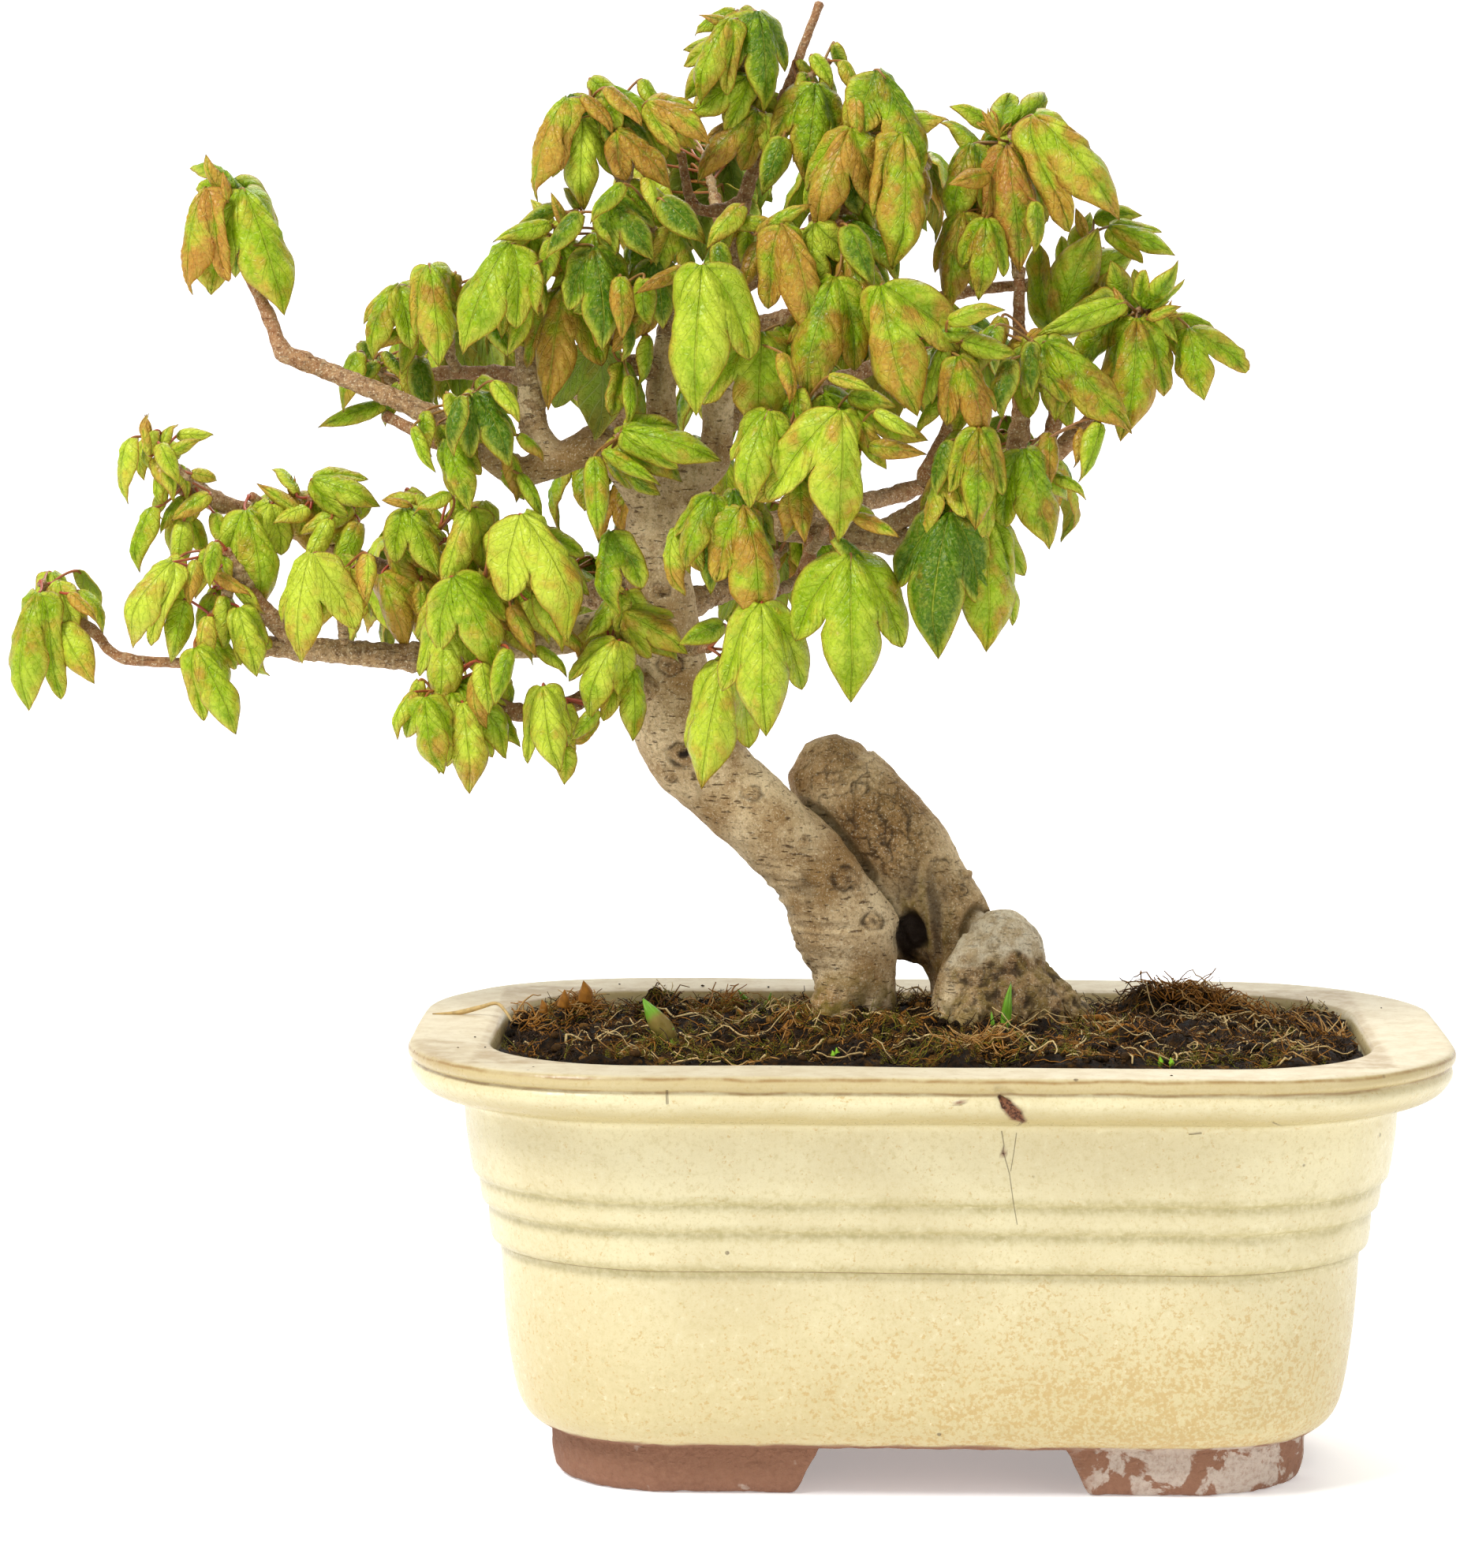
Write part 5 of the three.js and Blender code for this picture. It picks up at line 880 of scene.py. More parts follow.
def fibre_material():
    """Rootlets, straw and moss stems. Tone 0 is black-brown, 0.5 ochre and 1 pale straw, and green turns
    them to moss. Their tone is lowered with painted shade where they lie low among the lumps."""
    n = Nodes("fibre")
    tone, fine = n.value("tone"), n.noise(0.0011, 3.0, 0.6)
    colour = n.between((tone, 0.0, 0.5), (34, 20, 7), (164, 108, 34))
    colour = n.over(colour, (tone, 0.5, 1.0, 1.0, (216, 190, 132)))
    green = n.between(fine, (96, 98, 14), (156, 152, 40))
    green = n.mix(n.ramp(n.value("green"), 1.0, 1.5), green, linear(140, 196, 44))
    colour = n.mix(n.value("green"), colour, green)
    colour = n.over(colour, (fine, 0.35, 0.75, 0.4, (70, 44, 20)))
    return n.finish(colour, 0.7, n.bump(fine, 0.0002), 0.2)


def screen_material():
    """Black plastic of the drainage screens."""
    n = Nodes("screen")
    fine = n.noise(0.0012, 4.0, 0.6)
    colour = n.between(fine, (30, 36, 32), (52, 58, 52))
    return n.finish(colour, n.ramp(fine, 0.2, 0.8, 0.45, 0.7), n.bump(fine, 0.0002), 0.4)


def seedling_material():
    """Soft green of blades in the soil, browned where brown is set and below the tip of pink ones."""
    n = Nodes("seedling")
    fine = n.noise(0.0011, 4.0, 0.6, n.stretch(1, 1, 0.25))
    green = n.between(fine, (104, 164, 30), (152, 202, 64))
    dry = n.between(fine, (138, 98, 48), (192, 152, 88))
    browned = n.times(n.value("pink"), n.ramp(n.value("along"), 0.72, 0.55))
    colour = n.mix(n.most(n.value("brown"), browned), green, dry)
    return n.finish(colour, 0.45, n.bump(fine, 0.0002), 0.4, linear(150, 200, 50), 0.25)


# ---------------------------------------------------------------- pot
# The pot's profile: height, half length and corner radius of each ring. Half width = half length - INSET.
POT_OUTSIDE = [
    (8.2, 65.6, 22), (9.4, 68.2, 24), (12, 70.4, 26), (16.5, 71.9, 28), (26, 73.3, 29), (39.2, 74.2, 30),
    (40.2, 74.8, 30.5), (40.9, 75.6, 31), (43.5, 76, 31), (46.2, 76.2, 31), (47.3, 76.6, 31), (48, 77.2, 31),
    (51.4, 77.7, 31), (52.3, 78.1, 31.5), (53.2, 78.8, 32), (60, 79.8, 32), (65.6, 80.3, 32),
    (66.6, 81.4, 33), (67.3, 84.4, 36), (68.2, 86.9, 38), (69.6, 88.4, 38.6), (71.2, 89.3, 39),
    (72.3, 89.2, 39), (73.05, 88.8, 39), (73.8, 89.6, 39), (74.8, 89.7, 39), (75.55, 89.4, 39),
]
POT_INSIDE = [
    (75.9, 88.4, 38.6), (75.85, 83, 34), (75.8, 79, 30), (75.6, 76.8, 28), (74.9, 75.4, 26.4), (72, 74.8, 26),
    (62, 74.5, 26), (46, 71.8, 25.5), (30, 69, 25), (18, 66.6, 24), (14.6, 64.5, 22), (14, 60, 20),
]
GROOVES = (52.3, 47.1, 40.3)             # heights of the steps, where glaze pools and painted shade lies
BROWN_LINES = ((75.3, 0.5), (73.05, 0.45))   # edges where glaze runs thin: height, half width
RIM_BOW = 0.9                            # how far the rim's ends stand out in their middle
DRAIN_X, DRAIN_RADIUS = 36, 6
DRAIN_SIDES = 40
# Feet: half length, half width and corner radius, the same inside, height, and how far they run into
# the floor.
FOOT, FOOT_INSIDE, FOOT_HIGH, SUNK = (65.3, 33.5, 21), (51, 20, 6), 8.2, 1.4
FOOT_GAP_X, FOOT_GAP_Y = (-18.5, 23.1, 4.7), (7, 2.5)
# On the front, as they are seen: bare chips and cracks (lines of x, z, half width) and pits (x, z, radius).
CHIPS = [[(12.2, 64.7, 0.3), (13.3, 63.5, 0.95)], [(13.3, 63.5, 0.95), (15, 61.6, 1.15)],
         [(15, 61.6, 1.15), (16.3, 60.4, 0.5)]]
PITS = [(5.2, 62.2, 0.5), (-61.9, 56.3, 0.45), (13.2, 53.4, 0.55), (47.7, 57.4, 0.3), (-32, 52, 0.35)]
CRACKS = [[(16.2, 60.4, 0.2), (15.5, 58.6, 0.24)],
          [(12.8, 57.3, 0.09), (13.2, 55, 0.08), (13, 53.5, 0.16)],
          [(13.2, 53.4, 0.08), (14.2, 50, 0.06), (14.9, 45, 0.06), (15.6, 41, 0.05)],
          [(15.4, 57, 0.06), (15, 54, 0.06), (14.4, 50.5, 0.05)],
          [(59.7, 60.2, 0.14), (61.7, 58.8, 0.12)], [(-45.5, 65.5, 0.16), (-45.4, 63.4, 0.2)],
          [(45.6, 57, 0.1), (47.6, 57.2, 0.14)]]


def ring_columns(fine, step, near):
    """Shares of the way round, step apart and fine apart where near(x, y) holds."""
    shares = np.linspace(0, 1, 4000, endpoint=False)
    ring = rounded(0, 79, 79 - INSET, 32, shares)
    want = np.where(near(ring), 1 / fine, 1 / step)
    total = np.cumsum(want * np.linalg.norm(np.roll(ring, -1, 0) - ring, axis=1))
    return np.interp(np.arange(int(total[-1])) / int(total[-1]) * total[-1], total, shares)


def near_line(x, z, line):
    """How surely places x, z lie on a line of (x, z, half width) stations: 1 inside, 0 outside."""
    best = np.zeros(len(x))
    for (ax, az, ar), (bx, bz, br) in zip(line, line[1:]):
        long = max((bx - ax) ** 2 + (bz - az) ** 2, 1e-9)
        t = np.clip(((x - ax) * (bx - ax) + (z - az) * (bz - az)) / long, 0, 1)
        away = np.hypot(x - ax - t * (bx - ax), z - az - t * (bz - az))
        wide = ar + (br - ar) * t
        best = np.maximum(best, smooth(2.2 * wide, 0.8 * wide, away))
    return best


def on_front(lines):
    """Lines as they are seen, carried to the pot's front wall and in metres."""
    heights, halves = np.array(POT_OUTSIDE)[:, 0], np.array(POT_OUTSIDE)[:, 1]
    placed = []
    for line in lines:
        row = []
        for x, z, wide in line:
            at = seen(x, z, INSET - np.interp(z, heights, halves)) + SHIFT
            row.append((at[0] * MM, at[2] * MM, wide * MM))
        placed.append(row)
    return placed


def pot_body():
    """The pot's walls and floor, with finer columns where the front is chipped."""
    def front_middle(ring):
        return (ring[:, 1] < 0) & (np.abs(ring[:, 0] - 13) < 5)

    columns = ring_columns(0.35, 1.25, front_middle)
    profile = np.array(POT_OUTSIDE + POT_INSIDE)
    lengths = np.linalg.norm(np.diff(profile[:, :2], axis=0), axis=1)
    inside = np.arange(len(lengths)) >= len(POT_OUTSIDE) + 5
    steps = np.ceil(lengths / np.where(inside, 4, 0.75)).astype(int)
    rows = through(profile, steps)
    turn = np.argmax(rows[:, 0])
    outer = np.arange(len(rows)) <= turn
    for height in GROOVES:
        rows[outer, 1] -= 0.25 * np.exp(-((rows[outer, 0] - height) / 0.7) ** 2)
    rings = [rounded(z, half, half - INSET, min(radius, half - INSET), columns) for z, half, radius in rows]
    points = np.vstack([*rings, [[0, 0, rows[0, 0]], [0, 0, rows[-1, 0]]]])
    return Build().add(points, capped(len(rings), len(columns))).mesh("pot_body")


def pot_feet():
    """Four corner feet, cut from a slab by the gaps between them, with rounded lower edges."""
    columns = np.linspace(0, 1, 260, endpoint=False)
    profile = [(0, 1.9), (0.25, 1.3), (0.9, 0.7), (2, 0.35), (4, 0.1), (FOOT_HIGH + SUNK, 0)]
    half_x, half_y, radius = FOOT
    rings = [rounded(z, half_x - less, half_y - less, radius - less, columns) for z, less in profile]
    slab = closed_rings(rings)
    inner = closed_rings([rounded(z, *FOOT_INSIDE, columns) for z in (-3, FOOT_HIGH + SUNK + 3)])
    left, right, slant = FOOT_GAP_X
    half, lean = FOOT_GAP_Y
    lower, upper = -1, FOOT_HIGH + 0.4
    along_y = prism([(left - slant, lower), (right + slant, lower), (right, upper), (left, upper)], 0)
    along_x = prism([(-half - lean, lower), (half + lean, lower), (half, upper), (-half, upper)], 1)
    for cutter in (inner, along_y, along_x):
        slab = joined(slab, cutter, "DIFFERENCE")
    return slab


def closed_rings(rings):
    points = np.vstack([*rings, rings[0].mean(0)[None], rings[-1].mean(0)[None]])
    return Build().add(points, capped(len(rings), len(rings[0]))).mesh("rings")


def prism(outline, axis):
    """A block with the outline (across, z), running 100 mm to both sides along y (0) or x (1)."""
    points = []
    for far in (-100, 100):
        for across, z in outline:
            points.append((across, far, z) if axis == 0 else (far, across, z))
    sides = [(i, (i + 1) % 4, (i + 1) % 4 + 4, i + 4) for i in range(4)]
    faces = np.array(sides + [(3, 2, 1, 0), (4, 5, 6, 7)])
    if axis == 0:
        faces = faces[:, ::-1]
    return Build().add(points, [faces]).mesh("prism")


def joined(mesh, other, operation):
    """The mesh after a boolean operation with the other one."""
    tool = bpy.data.objects.new("tool", other)
    bpy.context.scene.collection.objects.link(tool)
    done = applied(mesh, ("BOOLEAN", {"object": tool, "operation": operation, "solver": "EXACT"}))
    bpy.data.objects.remove(tool)
    return done


def make_pot():
    body = pot_body()
    drill = np.linspace(0, 2 * np.pi, DRAIN_SIDES, endpoint=False)
    for sign in (-1, 1):
        rings = [np.stack([sign * DRAIN_X + DRAIN_RADIUS * np.cos(drill), DRAIN_RADIUS * np.sin(drill),
                           np.full(DRAIN_SIDES, z)], 1) for z in (0.0, 20.0)]
        body = joined(body, closed_rings(rings), "DIFFERENCE")
    feet = applied(pot_feet(), ("REMESH", {"mode": "VOXEL", "voxel_size": 0.55 * MM}),
                   ("SMOOTH", {"factor": 0.5, "iterations": 5}))
    pot = joined(body, feet, "UNION")
    points, normals, _ = read(pot)
    x, z = apparent(points)
    px, py, pz = points.T
    front = smooth(0.2, 0.6, -normals[:, 1]) * (py < -20)
    # uneven hand of the potter, then chips, pits and cracks
    bare_foot = smooth(9.6, 9.0, pz + 0.5 * grain(points, 5, 3))
    outward = unit(points * [1, 1, 0])
    inside = smooth(0.2, -0.2, np.sum(normals * outward, axis=1)) * (pz > 12)
    depth = 0.16 * grain(points, 21, 11, 2) * smooth(8, 14, pz)
    depth = depth + bare_foot * (0.16 * grain(points, 2.2, 5, 3))
    chip = np.max([near_line(x, z, line) for line in CHIPS], axis=0) * front
    depth = depth - 0.6 * chip - 0.12 * chip * grain(points, 0.8, 14, 2)
    small = np.zeros(len(points))
    for at_x, at_z, reach in PITS:
        small = np.maximum(small, smooth(1.3 * reach, 0.6 * reach, np.hypot(x - at_x, z - at_z)) * front)
    depth = depth - 0.25 * small
    points = points + normals * depth[:, None]
    reach = smooth(75, 86, np.abs(points[:, 0])) * smooth(66, 70, points[:, 2])
    bow = np.clip(points[:, 1] / (79 - INSET), -1, 1) ** 2
    points[:, 0] -= np.sign(points[:, 0]) * RIM_BOW * reach * bow
    points[:, 2] = np.clip(points[:, 2], 0, POT_HIGH)
    pot.vertices.foreach_set("co", ((points + SHIFT) * MM).ravel())
    outside = 1 - inside
    half = np.maximum(np.abs(px), np.abs(py) + INSET)
    top = smooth(0.75, 0.95, normals[:, 2]) * (pz > 74.5)
    rim_inside = smooth(77.6, 76.6, half) * smooth(75.0, 75.5, pz) * 0.6
    corner = 0.8 * np.exp(-(((px + 84) / 5) ** 2)) * smooth(73.5, 75.3, pz) * (py < -20)
    edge = np.maximum(rim_inside, 0.6 * corner) * (0.6 + 0.4 * outside)
    floor_inside = inside * smooth(70, 60, pz)
    bare = np.maximum(bare_foot * (pz < 12), small)
    values = {"top": top, "edge": edge, "inner": floor_inside, "bare": bare}
    for name, rows in values.items():
        pot.attributes.new(name, "FLOAT", "POINT").data.foreach_set("value", rows)
    pot.polygons.foreach_set("use_smooth", np.ones(len(pot.polygons), bool))
    return piece("pot_glazed", pot, [glaze_material(on_front(CRACKS), on_front(CHIPS))], "glaze", "pot")

# ---------------------------------------------------------------- wood
# Numbers of the limbs that swell into each other at the foot of the tree.
TRUNK, STUMP, BULGE, SIDE_ROOT, FRONT_ROOT, WEB = range(6)
THICK = 2.5                              # limbs of this radius and more are modelled as one solid
THICK_SIDES, ROOT_SIDES, TWIG_SIDES = 28, 20, 14
BARK_CELL = 0.4                          # cell size of that solid
# Roots under the swollen one, as limbs: x, z, depth y and radius of each station.
LOW_ROOTS = [
    [(9, 89, 7, 5), (5.8, 84.5, 4.5, 4.4), (4.4, 80, 2.5, 3.9), (3.6, 74, 0.5, 3.4)],
    [(12.5, 87, 6, 6.2), (13, 80, 4, 6.8), (13.4, 73, 3, 6.6)],
    [(15, 85, 5, 4.6), (19, 80, 3, 3.8), (21.5, 75, 2, 3)],
    [(-14, 86, 6, 6.5), (-15.5, 80, 4, 5.2), (-17.5, 75, 2, 4)],
]
# Knots and scars of the front as they are seen: x, z, reach, rise, depth of the hollow ring, and darkness of
# the scar, which also sets the painted shade in its ring.
KNOTS = [
    (-43.1, 123.3, 2.6, 0.6, 0.7, 1), (-45, 119.2, 1, 0.9, 0.2, 0.5), (-40.7, 119.5, 1, 0.9, 0.2, 0.4),
    (-14.7, 101.6, 2.3, 0.8, 0.6, 0.5), (-9.7, 94.1, 1.7, -0.3, 0.45, 0.5), (2.1, 103.6, 1.5, 0.4, 0.5, 0.7),
    (5.5, 99.8, 1.2, 0.2, 0.4, 0.6), (6.2, 102.5, 1.2, 1.1, 0.2, 0.1), (-31, 116.5, 1.8, 0.5, 0.4, 0.35),
    (-22, 108, 1.1, -0.2, 0.3, 0.4), (-45.5, 139, 2, 0.7, 0.5, 0.4), (-47, 152, 1.4, 0.5, 0.3, 0.3),
    (-12.5, 117.5, 1.5, -0.3, 0.4, 0.5), (11, 90.5, 1.2, 0.3, 0.25, 0.2),
]
# The stump's plates are longer along the stump, which leans to the left, than across it.
STUMP_GRAIN = np.array([[0.86, 0, 0.26], [0, 1, 0], [0.26, 0, 0.62]])
HOLLOW = (-3.4, 91, 2.6, 4.6)             # fold between the trunks, carved and darkened with painted shade: x, z, half width, half height
FOLDS = (-1.5, 94, 5, 10)                # mossy upright folds round it
PEELING = (-9, 110, 8, 8)                # where the stump's bark is cracked into small plates
CAP = (-16, 120, 9, 7)                   # its top, with flakes in long waves
WAVE = 2.6                               # width of those waves
WRINKLED = (-21, 98, 9, 8)               # where the trunk is wrinkled across
RING_GAP = (2.1, 3.4)                    # distance between ring scars on a twig


def stations(rows):
    """Limb rows as points with their radius."""
    return np.array([[*seen(x, z, y), radius] for x, z, y, radius in rows])


def thick_count(number, rows):
    """How many of a limb's stations belong to the solid: all at the foot, elsewhere those down to THICK."""
    thin = [index for index, row in enumerate(rows) if row[3] < THICK]
    return thin[0] if thin and number > WEB else len(rows)


def curve(rows, step):
    at = stations(rows)
    spans = np.linalg.norm(np.diff(at[:, :3], axis=0), axis=1)
    return through(at, np.maximum(np.ceil(spans / step), 2).astype(int))


def limb_share(points, index):
    """How deep points lie in a limb: distance to its middle line as a share of its radius there."""
    line = curve(LIMBS[index][1:], 1.5)
    best = np.full(len(points), 9.0)
    for x, y, z, radius in line:
        best = np.minimum(best, np.linalg.norm(points - (x, y, z), axis=1) / radius)
    return best


def thick_wood():
    """Trunks, roots and heavy branches as one even skin."""
    build = Build()
    for number, (_, *rows) in enumerate(LIMBS):
        count = thick_count(number, rows)
        if count < 2:
            continue
        line = curve(rows[:count + 1], 1.2)
        swell = 1 + 0.05 * grain(line[:, :3], 7, number)
        build.add(*tube(line[:, :3], line[:, 3] * swell, THICK_SIDES))
    for rows in LOW_ROOTS:
        line = curve(rows, 1.2)
        swell = 1 + 0.08 * grain(line[:, :3], 4, 3)
        build.add(*tube(line[:, :3], line[:, 3] * swell, ROOT_SIDES))
    return applied(build.mesh("thick"), ("REMESH", {"mode": "VOXEL", "voxel_size": BARK_CELL * MM}),
                   ("SMOOTH", {"factor": 0.5, "iterations": 8}))


def within(x, z, oval, edge=0.5):
    """1 inside an oval of middle x, z and half width and height, easing to 0 outside it."""
    at_x, at_z, wide, high = oval
    return smooth(1 + edge, 1 - edge, np.hypot((x - at_x) / wide, (z - at_z) / high))


def bark(build):
    """The thick wood with its plates, wrinkles, crust and knots, and the values that colour it."""
    mesh = thick_wood()
    points, normals, corners = read(mesh)
    totals = np.empty(len(mesh.polygons), int)
    mesh.polygons.foreach_get("loop_total", totals)
    starts = np.concatenate([[0], np.cumsum(totals)[:-1]])
    faces = [corners[starts[totals == sides][:, None] + np.arange(sides)] for sides in (4, 3)]
    x, z = apparent(points)
    shares = np.stack([limb_share(points, number) for number in (TRUNK, STUMP, BULGE)])
    nearest = shares.argmin(0)
    margin = np.sort(shares, axis=0)
    blend = smooth(0, 0.25, margin[1] - margin[0])
    on_stump = np.where(nearest == STUMP, blend, 0)
    on_bulge = np.where(nearest == BULGE, blend, 0)
    roots = np.minimum(limb_share(points, SIDE_ROOT), limb_share(points, FRONT_ROOT))
    on_bulge = np.maximum(on_bulge, smooth(1.5, 1.1, roots)) * smooth(102, 95, points[:, 2])
    front = smooth(0.0, 0.35, -normals[:, 1])
    low = smooth(96, 80, points[:, 2])
    # crease where the trunk, the stump and the swollen root meet, carved in and darkened with painted shade
    crease = smooth(0.22, 0.0, margin[1] - margin[0]) * smooth(1.9, 1.3, margin[1])
    crease = crease * smooth(84, 90, points[:, 2])
    # trunk: broad swellings, fine grain, and wrinkles across where it leans
    coarse, fine = grain(points, 7.5, 1, 2), grain(points, 1.5, 5, 3)
    wrinkle = grain(points * [0.16, 0.16, 1.0], 1.15, 9, 2)
    on_trunk = (1 - on_bulge) * (1 - on_stump)
    left_side = smooth(0.1, -0.7, normals[:, 0])
    wrinkled = within(x, z, WRINKLED)
    across = (0.08 + 0.3 * low * left_side + 0.55 * wrinkled) * wrinkle * on_trunk
    depth = 0.3 * coarse + 0.09 * fine + across - 0.9 * crease
    # stump: small plates that crack apart, long flakes in waves on its top, upright folds at its foot
    along_stump = points @ STUMP_GRAIN
    border, own = plates(along_stump + 0.9 * grain(points, 2.6, 21, 2)[:, None], 2.7, 40)
    crack = smooth(0.24, 0.03, border)
    peeling = on_stump * np.maximum(within(x, z, PEELING), 0.5 * smooth(0.2, 0.5, grain(points, 8, 33)))
    depth = depth + peeling * (0.34 * (own - 0.5) - 0.24 * crack)
    depth = depth + 0.16 * on_stump * grain(points, 2.2, 35, 3)
    wave = x * 0.6 - z * 0.5 + WAVE * grain(points, 5, 61, 2)
    layer = np.mod(wave, WAVE) / WAVE
    cap = on_stump * within(x, z, CAP) * front
    depth = depth + cap * 0.34 * (layer - 0.5)
    folds = on_stump * within(x, z, FOLDS)
    upright = grain(points * [1, 1, 0.15], 1.5, 63, 2)
    depth = depth + 0.4 * folds * upright
    # swollen root: smooth skin over a crust of peeling bark that runs down into the roots
    crust = on_bulge * smooth(88, 84.5, points[:, 2] + 4 * grain(points, 4, 51, 2))
    flakes = grain(points * [1, 1, 0.7], 1.3, 80, 3)
    split = smooth(0.12, 0.0, np.abs(grain(points * [1, 1, 0.5], 2.2, 85, 2)))
    depth = depth + crust * (0.36 * flakes - 0.2 * split + 0.2 * grain(points, 0.8, 57, 2))
    depth = depth + on_bulge * (1 - crust) * 0.1 * grain(points * [0.4, 0.4, 1.4], 1.4, 55, 2)
    # dark is painted shade: in the cracks between plates, at the foot of each flake step, in the crease, in
    # the troughs of wrinkles and folds, and in the crust's splits and hollows
    dark = np.maximum.reduce([
        0.75 * peeling * crack, 0.7 * cap * smooth(0.1, 0.0, layer), 0.6 * crease,
        0.4 * wrinkled * on_trunk * smooth(-0.2, -0.8, wrinkle), 0.75 * folds * smooth(0.2, -0.5, upright),
        crust * np.clip(0.4 * split + 0.8 * smooth(-0.1, -0.7, flakes), 0, 0.75)])
    pale = on_bulge * (1 - 0.9 * crust)
    knotty = np.zeros(len(points))
    for at_x, at_z, reach, rise, ring, black in KNOTS:
        away = np.hypot(x - at_x, 1.2 * (z - at_z)) + 0.32 * reach * grain(points, 0.9 * reach, 91, 3)
        depth = depth + front * rise * np.exp(-((away / reach) ** 2))
        depth = depth - front * ring * np.exp(-(((away - reach) / (0.3 * reach)) ** 2))
        # lip is painted shade in the hollow ring round each knot; the knot's dark middle is its scar
        lip = np.exp(-(((away - reach) / (0.18 * reach)) ** 2)) * smooth(-0.5, 0.25, grain(points, 1.6, 93))
        dark = np.maximum(dark, front * black * smooth(0.4 * reach, 0.1 * reach, away))
        dark = np.maximum(dark, front * min(black + 0.3, 0.85) * lip)
        knotty = np.maximum(knotty, front * smooth(1.3 * reach, 0.8 * reach, away))
    # painted shade in the hollow between the trunks, where the surface is also carved in
    hollow = smooth(0.15, 0.85, within(x, z, HOLLOW) + 0.35 * upright)
    depth = depth - 1.2 * hollow * front
    dark = np.maximum(dark, hollow * smooth(-0.3, 0.3, front + on_stump))
    # painted shade on the right-facing side of the trunk's foot
    foot = smooth(83, 77, points[:, 2] + 4 * grain(points, 5, 71, 2)) * on_trunk
    dark = np.maximum(dark, 0.45 * foot * smooth(-0.2, 0.6, normals[:, 0] + 0.5 * fine))
    mossy_foot = smooth(87, 77, points[:, 2] + 5 * grain(points, 5, 73, 2)) * smooth(-0.3, 0.3, fine + 0.2)
    moss = np.maximum.reduce([
        mossy_foot * (1 - 0.4 * on_bulge),
        0.75 * folds * smooth(-0.4, 0.3, upright), 0.6 * crust * smooth(-0.3, 0.4, grain(points, 2.0, 75, 3)),
        0.16 * on_stump * smooth(-0.3, 0.5, normals[:, 0] + 0.5 * coarse), 0.5 * crease])
    points = points + normals * depth[:, None]
    brown = np.clip(on_stump * (0.35 + 0.65 * own * peeling + 0.35 * peeling), 0, 1)
    brown = np.maximum.reduce([brown, crust, 0.7 * knotty])
    faces = [part for part in faces if len(part)]
    build.add(points, faces, 0, brown=brown, pale=pale * 0.85, dark=dark, moss=moss)


def twigs(build):
    """The thin limbs, as tubes with ring scars, swollen at their nodes."""
    for number, (_, *rows) in enumerate(LIMBS):
        first = thick_count(number, rows)
        if first == len(rows):
            continue
        rows = rows[max(first - 1, 0):]
        line = curve(rows, 0.4)
        middle, thickness = line[:, :3], line[:, 3]
        middle += 0.28 * np.stack([grain(middle, 9, 90 + k) for k in range(3)], 1)
        along = np.concatenate([[0], np.cumsum(np.linalg.norm(np.diff(middle, axis=0), axis=1))])
        ring, node = np.zeros(len(line)), np.zeros(len(line))
        at = 1.0
        step = 0
        while at < along[-1]:
            clear = 0.4 + 0.6 * hashed(np.array([step, number, 3]), 8)
            ring = np.maximum(ring, np.exp(-(((along - at) / 0.22) ** 2)) * clear)
            at += RING_GAP[0] + (RING_GAP[1] - RING_GAP[0]) * hashed(np.array([number, step, 5]), 7)
            step += 1
        for x, z, y, _ in rows[1:]:
            away = np.linalg.norm(middle - seen(x, z, y), axis=1)
            node = np.maximum(node, np.exp(-((away / 1.3) ** 2)))
        radii = thickness * (1 + 0.2 * node + 0.06 * ring)
        radii[-1] *= 0.55
        bumps = 0.05 * thickness
        points, faces = tube(middle, radii, TWIG_SIDES, lambda i, a: bumps[i] * np.sin(3 * a + 0.8 * i)
                             + 0.5 * bumps[i] * np.sin(5 * a - 1.7 * i))
        spread = along_tube(ring, TWIG_SIDES, 0, ring[-1])
        thin = along_tube(smooth(4, 2, thickness), TWIG_SIDES)
        young = along_tube(smooth(2.0, 1.2, thickness), TWIG_SIDES)
        noise = grain(points, 1.2, 95, 2)
        build.add(points, faces, 0, ring=0.5 * spread * smooth(-0.6, 0.3, noise), twig=thin * 0.85,
                  young=0.8 * young, brown=0.3, dark=0.25 * smooth(0.2, 0.8, noise))


def make_wood():
    build = Build()
    bark(build)
    twigs(build)
    return piece("maple_wood", build.mesh("maple_wood"), [bark_material()], "bark", "tree_wood")

# ---------------------------------------------------------------- where the leaves are
ARCH, FACE_UP = 0.13, 0.25               # arch of a blade, and how far it leans back
ROUNDED = 0.05                           # rounding of its midvein, per length
FOLD = (0.62, 0.9, 0.5, 0.15, 0.75)      # usual fold, at this spread, change with spread, least, most
STEM_SUNK = 3.4                          # how far a side stem starts inside the limb that bears it
CROWN = (-22, 182, 48, 34, 17)           # middle x, z, half width and height, and how far it stands forward
PETIOLE_REACH, TIP_REACH = 5, 0.12
PETIOLE_BEND, PETIOLE_FINE, STEM_FINE = 0.42, 0.3, (1.0, 0.68, 0.5)
# Places along and across a blade that keep others away.
MARKS = np.array([(0.15, 0), (0.45, 0), (0.75, 0), (1, 0),
                  (0.4, 0.22), (0.4, -0.22), (0.6, 0.34), (0.6, -0.34)])
MARK_WIDTH, CLOSE, LAYER, STAY = 0.17, 1 / 1.6, 2.3, 0.02
TRIES = [step * 1.3 for step in (0, -1, 1, -2, 2, -3, 3, -4, 4, -5, 5, -6, 6)]
LOBED_FROM = (12, 0.65)                  # length and spread from which a blade has side lobes
